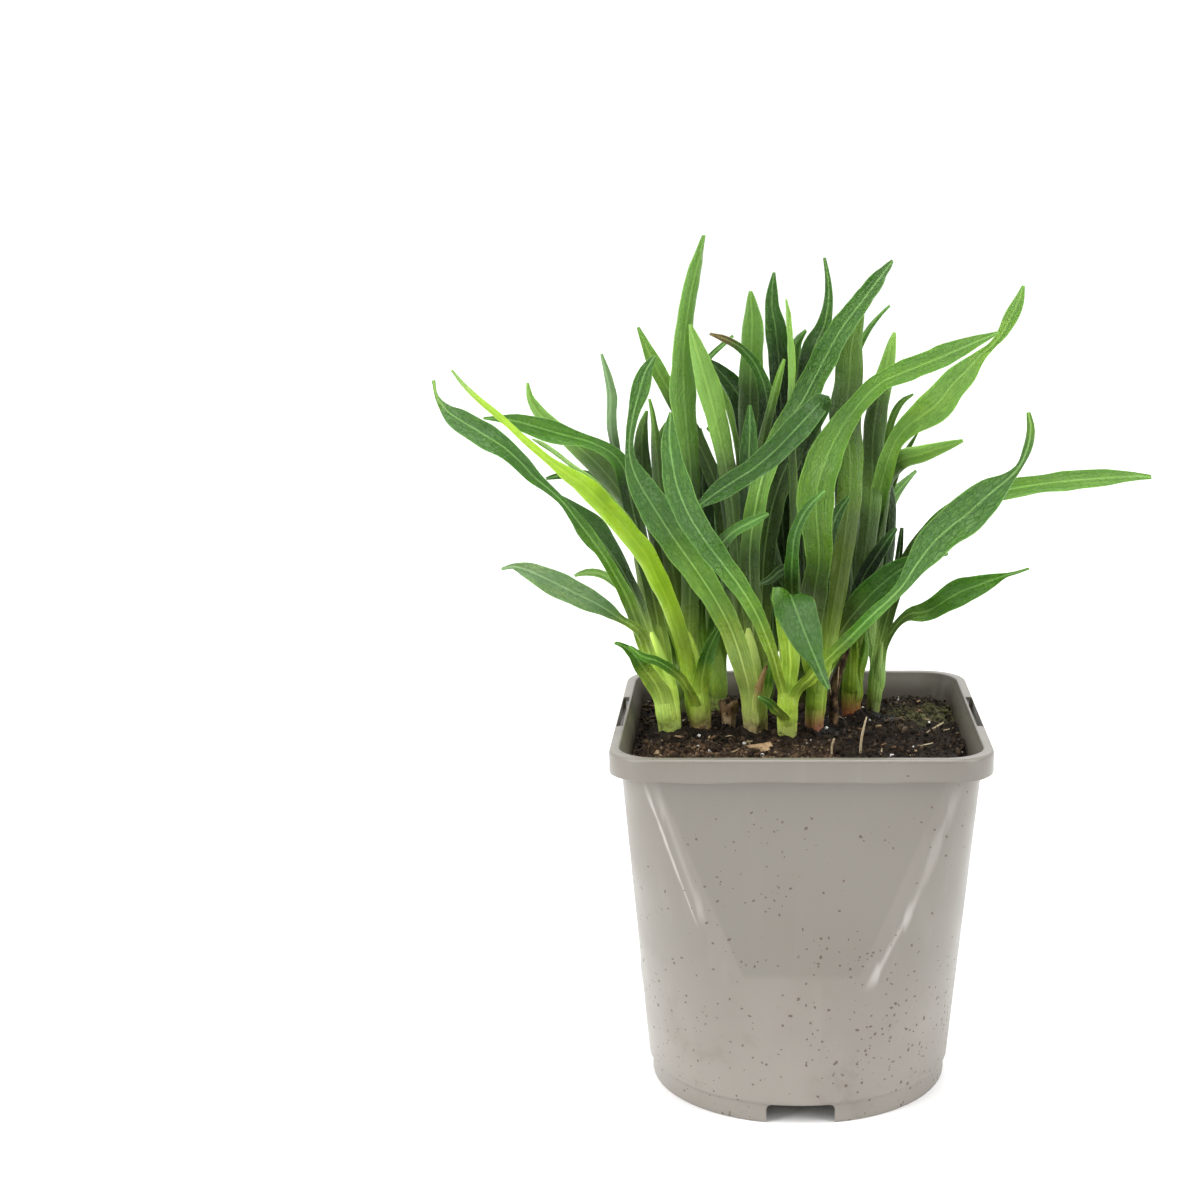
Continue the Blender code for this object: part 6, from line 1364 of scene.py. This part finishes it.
def node(tree, kind, sockets=None, **settings):
    """New shader node with its settings; a socket takes a value or another node's output."""
    made = tree.nodes.new("ShaderNode" + kind)
    for name, value in settings.items():
        setattr(made, name, value)
    for key, value in (sockets or {}).items():
        if isinstance(value, bpy.types.NodeSocket):
            tree.links.new(value, made.inputs[key])
        else:
            made.inputs[key].default_value = value
    return made


def sums(tree, operation, first, second=0.0, third=0.0):
    """Outcome of one step of arithmetic."""
    return node(tree, "Math", {0: first, 1: second, 2: third}, operation=operation).outputs[0]


def product(tree, *factors):
    """The factors multiplied, from the first to the last."""
    made = factors[0]
    for factor in factors[1:]:
        made = sums(tree, "MULTIPLY", made, factor)
    return made


def span(tree, value, low, high, start=0.0, end=1.0):
    """Soft step of a value: start below low, end above high."""
    return node(tree, "MapRange", {0: value, 1: low, 2: high, 3: start, 4: end},
                interpolation_type="SMOOTHSTEP").outputs[0]


def mixed(tree, factor, first, second, kind="MIX"):
    """Two colours blended."""
    made = node(tree, "Mix", {0: factor}, data_type="RGBA", blend_type=kind)
    for key, value in ((6, first), (7, second)):
        if isinstance(value, bpy.types.NodeSocket):
            tree.links.new(value, made.inputs[key])
        else:
            made.inputs[key].default_value = (*value, 1.0)
    return made.outputs[2]


def layered(tree, colour, layers):
    """Colour under layers that each have a mask and a tone."""
    for mask, tone in layers:
        colour = mixed(tree, mask, colour, tone)
    return colour


def shifted(tree, tint, gain, *lift):
    """Tint brightened or darkened, and lifted if a lift is given."""
    tone = mixed(tree, 1.0, tint, gain, "MULTIPLY")
    for added in lift:
        tone = mixed(tree, 1.0, tone, added, "ADD")
    return tone


def speckle(tree, vector, scale, detail=2.0, roughness=0.5):
    """Soft noise, 0 to 1."""
    return node(tree, "TexNoise", {"Vector": vector, "Scale": scale, "Detail": detail,
                                   "Roughness": roughness}).outputs[0]


def wandering(tree, place, scale, detail):
    """Noise with three parts of its own, to bend another pattern."""
    return node(tree, "TexNoise", {"Vector": place, "Scale": scale, "Detail": detail}).outputs["Color"]


def vector_math(tree, operation, first, second=(0.0, 0.0, 0.0)):
    """Outcome of one step of arithmetic on vectors."""
    return node(tree, "VectorMath", {0: first, 1: second}, operation=operation).outputs


def stretched(tree, vector, factors):
    """Vector with each part multiplied by its own factor."""
    return vector_math(tree, "MULTIPLY", vector, factors)[0]


def apart(tree, vector):
    """The three parts of a vector."""
    return node(tree, "SeparateXYZ", {0: vector}).outputs


def relief(tree, *layers):
    """Surface bent by layers, each a height with its strength and distance, one on another."""
    normal = None
    for height, strength, distance in layers:
        made = node(tree, "Bump", {"Height": height, "Strength": strength, "Distance": distance})
        if normal is not None:
            tree.links.new(normal, made.inputs["Normal"])
        normal = made.outputs[0]
    return normal


def attribute(tree, name, output):
    """Value that the corners of a piece carry."""
    return node(tree, "Attribute", attribute_name=name).outputs[output]


def new_material(name, levels=None):
    """Material with its shader's levels set; gives back its nodes and the place on the piece too."""
    made = bpy.data.materials.new(name)
    made.use_nodes = True
    tree = made.node_tree
    for key, level in (levels or {}).items():
        tree.nodes["Principled BSDF"].inputs[key].default_value = level
    return made, tree, node(tree, "TexCoord").outputs["Object"]


def coat(tree, colour, rough=None, normal=None):
    """Joins a colour, a roughness and a relief to the material's shader."""
    shader = tree.nodes["Principled BSDF"]
    for key, output in (("Base Color", colour), ("Roughness", rough), ("Normal", normal)):
        if output is not None:
            tree.links.new(output, shader.inputs[key])


def leaf_material():
    """Leaf: tint along the blade, pale midrib, fine veins, wrinkles, bloom with painted sheen, paler
    underside.
    """
    made, tree, place = new_material("leaf_skin", {
        "Subsurface Weight": 0.10, "Subsurface Radius": (0.5, 1.0, 0.1), "Subsurface Scale": 0.001,
        "Specular IOR Level": 0.30})
    tint = attribute(tree, "tint", "Color")
    wrinkled = attribute(tree, "tint", "Alpha")
    blade = attribute(tree, "blade", "Vector")
    across, along, _ = apart(tree, blade)
    outward, face, ribbed = apart(tree, attribute(tree, "form", "Vector"))
    veins = speckle(tree, stretched(tree, blade, (4.6, 0.06, 1.0)), 1.0, 2.0, 0.6)
    broad = speckle(tree, stretched(tree, blade, (0.8, 0.07, 1.0)), 1.0, 2.0)
    threads = speckle(tree, stretched(tree, blade, (11.0, 0.10, 1.0)), 1.0, 1.0)
    mottle = speckle(tree, stretched(tree, blade, (2.4, 1.1, 1.0)), 1.0, 3.0, 0.65)
    cloud = speckle(tree, place, 110.0, 4.0, 0.6)
    grain = speckle(tree, place, 1100.0, 2.0)
    warp = vector_math(tree, "ADD", stretched(tree, blade, (1.0, 0.30, 1.0)),
                       wandering(tree, place, 500.0, 1.0))[0]
    cells = node(tree, "TexVoronoi", {"Vector": warp, "Scale": 1.15},
                 feature="DISTANCE_TO_EDGE").outputs[0]
    creases = product(tree, span(tree, cells, 0.0, 0.16, 1.0, 0.0), wrinkled)
    ribs = sums(tree, "SINE", product(tree, across, 8.4))
    lower = span(tree, along, 50.0, 12.0, 0.12, 1.0)
    away = sums(tree, "ABSOLUTE", across)
    beside = span(tree, sums(tree, "ABSOLUTE", sums(tree, "SUBTRACT", away, 0.6)), 0.3, 0.0)
    # pale margin: partly the leaf's own pale edge, partly painted light where the edge is lit from behind
    margin = product(tree, span(tree, outward, 0.91, 0.98), span(tree, wrinkled, 0.0, 1.0, 0.45, 0.85))
    bloom_and_sheen = product(tree, span(tree, cloud, 0.5, 0.66), span(tree, grain, 0.45, 0.65), wrinkled)
    # From below: veins, broad and fine pale threads, dark clouds, ribs low down, pits, painted shade in
    # the creases, the paler underside, the midrib, the dark lines beside it, the pale margin with painted
    # backlight on it, and the bloom with painted sheen.
    layers = (
        (span(tree, veins, 0.40, 0.62, 0.0, 0.7), (0.66, 0.74, 0.6)),
        (span(tree, broad, 0.45, 0.65, 0.0, 0.55), (1.35, 1.18, 0.9)),
        (span(tree, threads, 0.52, 0.66, 0.0, 0.55), (1.35, 1.25, 1.3), (0.02, 0.03, 0.015)),
        (span(tree, cloud, 0.46, 0.62, 0.0, 0.5), (0.58, 0.70, 0.7)),
        (product(tree, span(tree, ribs, -0.2, 1.0, 0.0, 0.22), lower), (1.3, 1.22, 1.2)),
        (product(tree, span(tree, mottle, 0.50, 0.62), product(tree, wrinkled, 0.6)), (0.6, 0.66, 0.6)),
        # painted shade: the creases are darkened where shade lies in them
        (product(tree, creases, 0.5), (0.5, 0.6, 0.55)),
        (span(tree, face, 0.3, -0.3, 0.0, 0.35), (1.25, 1.15, 1.3), (0.02, 0.035, 0.012)),
        (product(tree, span(tree, away, 0.26, 0.10), ribbed), (1.45, 1.3, 1.5), (0.07, 0.105, 0.045)),
        (product(tree, beside, product(tree, ribbed, 0.5)), (0.55, 0.65, 0.55)),
        # pale margin, partly painted backlight on the edge
        (margin, (1.45, 1.3, 1.3), (0.06, 0.09, 0.035)),
        # pale wax bloom, partly painted sheen
        (product(tree, bloom_and_sheen, 0.45), (1.2, 1.1, 1.2), (0.07, 0.085, 0.065)),
    )
    colour = layered(tree, tint, [(mask, shifted(tree, tint, *tone)) for mask, *tone in layers])
    soiled = product(tree, span(tree, apart(tree, place)[2], 0.0900, 0.0860),
                     span(tree, speckle(tree, place, 620.0, 3.0), 0.51, 0.60), 0.8)
    colour = mixed(tree, soiled, colour, (0.06, 0.035, 0.02))
    rough = sums(tree, "ADD", span(tree, cloud, 0.38, 0.62, 0.22, 0.40),
                 span(tree, grain, 0.3, 0.7, 0.0, 0.10))
    coat(tree, colour, rough, relief(
        tree, (veins, 0.6, 0.00013), (product(tree, ribs, lower), 0.35, 0.00006),
        (creases, 0.6, -0.00026), (product(tree, mottle, wrinkled), 0.5, 0.00035),
        (grain, 0.3, 0.00010)))
    return made


def panel_mask(tree, place):
    """Where the flat side panels are: above a line, between edges that run apart upwards."""
    height = apart(tree, place)[2]
    flat = apart(tree, vector_math(tree, "ABSOLUTE", place)[0])
    above = sums(tree, "SUBTRACT", height, PANEL_FOOT * MM)
    edge = sums(tree, "ADD", product(tree, above, PANEL_FLARE), PANEL_FOOT_HALF * MM)
    past = sums(tree, "SUBTRACT", sums(tree, "MINIMUM", flat[0], flat[1]), edge)
    return product(tree, span(tree, past, 0.0006, -0.0006), span(tree, above, -0.0015, 0.0010),
                   span(tree, height, 0.0862, 0.0858))


def painted_highlight_streak(tree, place, grain, x_foot, z_foot, x_top, z_top, width, strength):
    """One painted highlight streak up the front wall, with ragged edges and soft ends."""
    x, y, z = apart(tree, place)
    slope = (x_top - x_foot) / (z_top - z_foot)
    line = sums(tree, "ADD", product(tree, z, slope), (x_foot - slope * z_foot) * MM)
    ragged = product(tree, span(tree, grain, 0.35, 0.65), 0.5 * width * MM)
    off = sums(tree, "ADD", sums(tree, "ABSOLUTE", sums(tree, "SUBTRACT", x, line)), ragged)
    shine = product(tree, span(tree, off, width * MM, 0.2 * width * MM), span(tree, y, 0.0, -0.030))
    ends = product(tree, span(tree, z, (z_foot - 2.5) * MM, (z_foot + 2.5) * MM),
                   span(tree, z, (z_top + 3.0) * MM, (z_top - 6.0) * MM))
    return product(tree, shine, ends, strength)


def speck_mask(tree, place):
    """Specks of dirt in two sizes, more of them towards the foot."""
    low = span(tree, apart(tree, place)[2], 0.085, 0.008, 0.0, 0.28)
    dense = speckle(tree, place, 30.0, 3.0)
    shift = stretched(tree, wandering(tree, place, 900.0, 2.0), (0.0011, 0.0011, 0.0011))
    bent = vector_math(tree, "ADD", place, shift)[0]
    specks = []
    for scale, most, rare in ((560.0, 0.26, 1.50), (1050.0, 0.36, 1.48)):
        dots = node(tree, "TexVoronoi", {"Vector": bent, "Scale": scale, "Randomness": 1.0}, feature="F1")
        chance = apart(tree, dots.outputs["Color"])
        size = span(tree, chance[0], 0.3, 1.0, 0.04, most)
        near = sums(tree, "LESS_THAN", dots.outputs["Distance"], size)
        crowd = sums(tree, "ADD", sums(tree, "ADD", chance[1], dense), low)
        specks.append(product(tree, near, sums(tree, "GREATER_THAN", crowd, rare)))
    return sums(tree, "MAXIMUM", *specks)


def pot_material():
    """Taupe plastic: satin, faintly clouded, with specks of dirt, smudges and pale scuffs; painted light
    and shade.
    """
    made, tree, place = new_material("taupe_plastic")
    x, _, z = apart(tree, place)
    cloud = speckle(tree, place, 38.0, 4.0)
    wide = speckle(tree, place, 14.0, 2.0)
    fine = speckle(tree, place, 1500.0, 2.0)
    scuffs = speckle(tree, stretched(tree, place, (260.0, 260.0, 22.0)), 1.0, 3.0)
    dirt = speck_mask(tree, place)
    smudge = product(tree, span(tree, speckle(tree, place, 150.0, 5.0, 0.65), 0.56, 0.70),
                     span(tree, z, 0.05, 0.0, 0.12, 0.45))
    # soil splashed up inside the wall, darker towards the soil, partly painted shade in the pot's mouth
    splash_and_shade = sums(tree, "ADD", span(tree, z, 0.0915, 0.0862), span(tree, cloud, 0.4, 0.65, -0.25, 0.25))
    # Paler towards the foot as painted light, clouds, scuffs, painted shade at the rim, on the right and
    # on the flat panels; then the painted highlight streaks, and last the dirt, its smudges and the soil
    # splashed up inside, darkened towards the soil partly as painted shade.
    layers = [
        # painted light: paler towards the foot, where the rounded wall catches more light
        (span(tree, z, 0.05, 0.0, 0.0, 0.8), (0.258, 0.235, 0.206)),
        (span(tree, cloud, 0.45, 0.65, 0.0, 0.3), (0.170, 0.152, 0.128)),
        (span(tree, scuffs, 0.55, 0.70, 0.0, 0.06), (0.31, 0.29, 0.26)),
        # painted shade on the rim
        (span(tree, z, 0.0858, 0.0866, 0.0, 0.24), (0.098, 0.088, 0.072)),
        # painted shade on the pot's right side
        (span(tree, x, 0.020, 0.045, 0.0, 0.22), (0.098, 0.088, 0.074)),
        # painted shade on the flat panels
        (product(tree, panel_mask(tree, place), 0.6), (0.150, 0.136, 0.113))]
    # painted highlights: pale glossy streaks on the front wall
    layers += [(painted_highlight_streak(tree, place, scuffs, *streak), (0.47, 0.45, 0.42)) for streak in PAINTED_HIGHLIGHT_STREAKS]
    layers += [
        (product(tree, dirt, 0.72), (0.07, 0.045, 0.03)),
        (product(tree, smudge, 0.5), (0.13, 0.105, 0.085)),
        (product(tree, splash_and_shade, attribute(tree, "inner", "Fac"), 0.8), (0.055, 0.040, 0.030))]
    plastic = mixed(tree, span(tree, wide, 0.38, 0.62), (0.183, 0.167, 0.143), (0.168, 0.152, 0.130))
    rough = sums(tree, "ADD", span(tree, cloud, 0.35, 0.65, 0.30, 0.42), product(tree, dirt, 0.4))
    coat(tree, layered(tree, plastic, layers), rough, relief(
        tree, (fine, 0.12, 0.00005), (cloud, 0.12, 0.0004), (dirt, 0.5, 0.0001)))
    return made


def stains_and_shade(tree, place, colour, broken):
    """Soil colour with painted shade behind the shoots and at the right, black wet patches and a
    mossy corner; gives back how wet it is too."""
    def away_from(spot):
        return vector_math(tree, "DISTANCE", place, spot)[1]

    x, y, _ = apart(tree, place)
    # painted shade: the soil behind the front shoots and on the right darkened
    shaded = product(tree, span(tree, y, -0.020, 0.000), span(tree, x, 0.026, 0.016))
    shaded = sums(tree, "MAXIMUM", shaded, span(tree, x, 0.000, 0.014))
    damp = 0.0
    for spot, reach in WET_SPOTS:
        damp = sums(tree, "MAXIMUM", damp, span(tree, away_from(spot), reach, 0.45 * reach))
    green = product(tree, span(tree, away_from(MOSSY_SPOT), 0.013, 0.004), span(tree, broken, 0.35, 0.6))
    layers = ((product(tree, shaded, 0.74), (0.005, 0.004, 0.003)),
              (product(tree, damp, 0.85), (0.006, 0.005, 0.004)),
              (product(tree, green, 0.75), (0.115, 0.115, 0.045)))
    return layered(tree, colour, layers), damp


def bit_material(name, stops, dull, soiled):
    """Peat or dry stuff: each piece takes a colour by its own shade, broken up by finer noise."""
    made, tree, place = new_material(name, {"Specular IOR Level": SOIL_SHINE})
    fine = speckle(tree, place, 1400.0, 3.0)
    wide = speckle(tree, place, 300.0, 2.0)
    shade = sums(tree, "ADD", attribute(tree, "shade", "Fac"), span(tree, wide, 0.3, 0.7, -0.14, 0.14))
    ramp = node(tree, "ValToRGB", {0: shade})
    marks = ramp.color_ramp.elements
    while len(marks) < len(stops):
        marks.new(0.5)
    for mark, (position, colour) in zip(marks, stops):
        mark.position = position
        mark.color = (*colour, 1.0)
    colour = mixed(tree, span(tree, fine, 0.35, 0.7, 0.0, 0.55), ramp.outputs[0],
                   shifted(tree, ramp.outputs[0], (0.5, 0.48, 0.45)))
    rough = span(tree, fine, 0.3, 0.7, dull - 0.15, dull)
    # the soil's stains together with its painted shade
    if soiled:
        colour, damp = stains_and_shade(tree, place, colour, wide)
        rough = sums(tree, "SUBTRACT", rough, product(tree, damp, 0.4))
    coat(tree, colour, rough, relief(tree, (fine, 0.6, 0.0003)))
    return made


def bed_material():
    """Soil bed: dark crumbly peat, with wet patches, a mossy corner and painted shade."""
    made, tree, place = new_material("peat_bed", {"Specular IOR Level": SOIL_SHINE})
    fine = speckle(tree, place, 1500.0, 4.0, 0.7)
    wide = speckle(tree, place, 420.0, 3.0, 0.6)
    broad = speckle(tree, place, 70.0, 2.0)
    peat = mixed(tree, span(tree, wide, 0.3, 0.7), (0.012, 0.008, 0.006), (0.075, 0.048, 0.031))
    peat = layered(tree, peat, ((span(tree, fine, 0.55, 0.8, 0.0, 0.7), (0.095, 0.065, 0.042)),
                                (span(tree, broad, 0.5, 0.7, 0.0, 0.35), (0.025, 0.018, 0.012))))
    colour, damp = stains_and_shade(tree, place, peat, wide)
    coat(tree, colour, span(tree, damp, 0.0, 1.0, 0.92, 0.4),
         relief(tree, (wide, 0.7, 0.0008), (fine, 0.6, 0.0003)))
    return made


def make_studio():
    """Wide pale floor, white surroundings that are brighter behind, and soft lamps."""
    scene = bpy.context.scene
    scene.view_settings.view_transform = "Standard"
    world = bpy.data.worlds.new("white_surroundings")
    world.use_nodes = True
    tree = world.node_tree
    back = tree.nodes["Background"]
    back.inputs[0].default_value = (1.0, 1.0, 1.0, 1.0)
    ahead = apart(tree, node(tree, "TexCoord").outputs["Generated"])[1]
    tree.links.new(span(tree, ahead, -0.8, 0.4, FRONT_LIGHT, BACK_LIGHT), back.inputs[1])
    scene.world = world
    paper, tree, place = new_material("pale_paper", {"Roughness": 0.9})
    coat(tree, mixed(tree, speckle(tree, place, 3.0), (0.90, 0.90, 0.90), (0.93, 0.93, 0.93)))
    bm = bmesh.new()
    bmesh.ops.create_circle(bm, cap_ends=True, segments=96, radius=FLOOR_RADIUS)
    floor = new_object("pale_floor", bm)
    floor.data.materials.append(paper)
    for name, place, aim, size, power in LAMPS:
        lamp = bpy.data.lights.new(name, "AREA")
        lamp.shape = "RECTANGLE"
        lamp.size, lamp.size_y = size
        lamp.energy = power
        light = bpy.data.objects.new(name, lamp)
        light.location = place
        light.rotation_euler = (Vector(aim) - Vector(place)).to_track_quat("-Z", "Y").to_euler()
        light.visible_camera = False
        scene.collection.objects.link(light)


def make_camera():
    """Camera where the photograph was taken from; the shift frames the plant as there."""
    data = bpy.data.cameras.new("front_camera")
    data.lens = LENS
    data.sensor_width = SENSOR
    data.shift_x, data.shift_y = SHIFT
    camera = bpy.data.objects.new("front_camera", data)
    camera.location = Vector(EYE) * MM
    camera.rotation_euler = (math.radians(90.0 - LOOK_DOWN), 0.0, 0.0)
    bpy.context.scene.collection.objects.link(camera)
    bpy.context.scene.camera = camera


def main():
    make_camera()
    make_studio()
    make_pot(pot_material())
    make_soil(bed_material())
    bits = {name: bit_material(name, *finish) for name, finish in BITS.items()}
    make_crumbs(bits["peat_crumb"])
    make_fibres(bits["peat_fibre"])
    make_perlite(bits["white_perlite"])
    make_chips(bits["bark_chip"])
    make_straws(bits["dry_straw"])
    make_stump(bits["dry_stalk"])
    make_dry_stem(bits["dry_stalk"])
    green = leaf_material()
    leaves = gather_leaves()
    settle(leaves)
    paint_clump_shade(leaves)
    for index, shoot in enumerate(SHOOTS):
        make_shoot(shoot, leaves, green, NUMBERS_EACH * index + 1)


main()
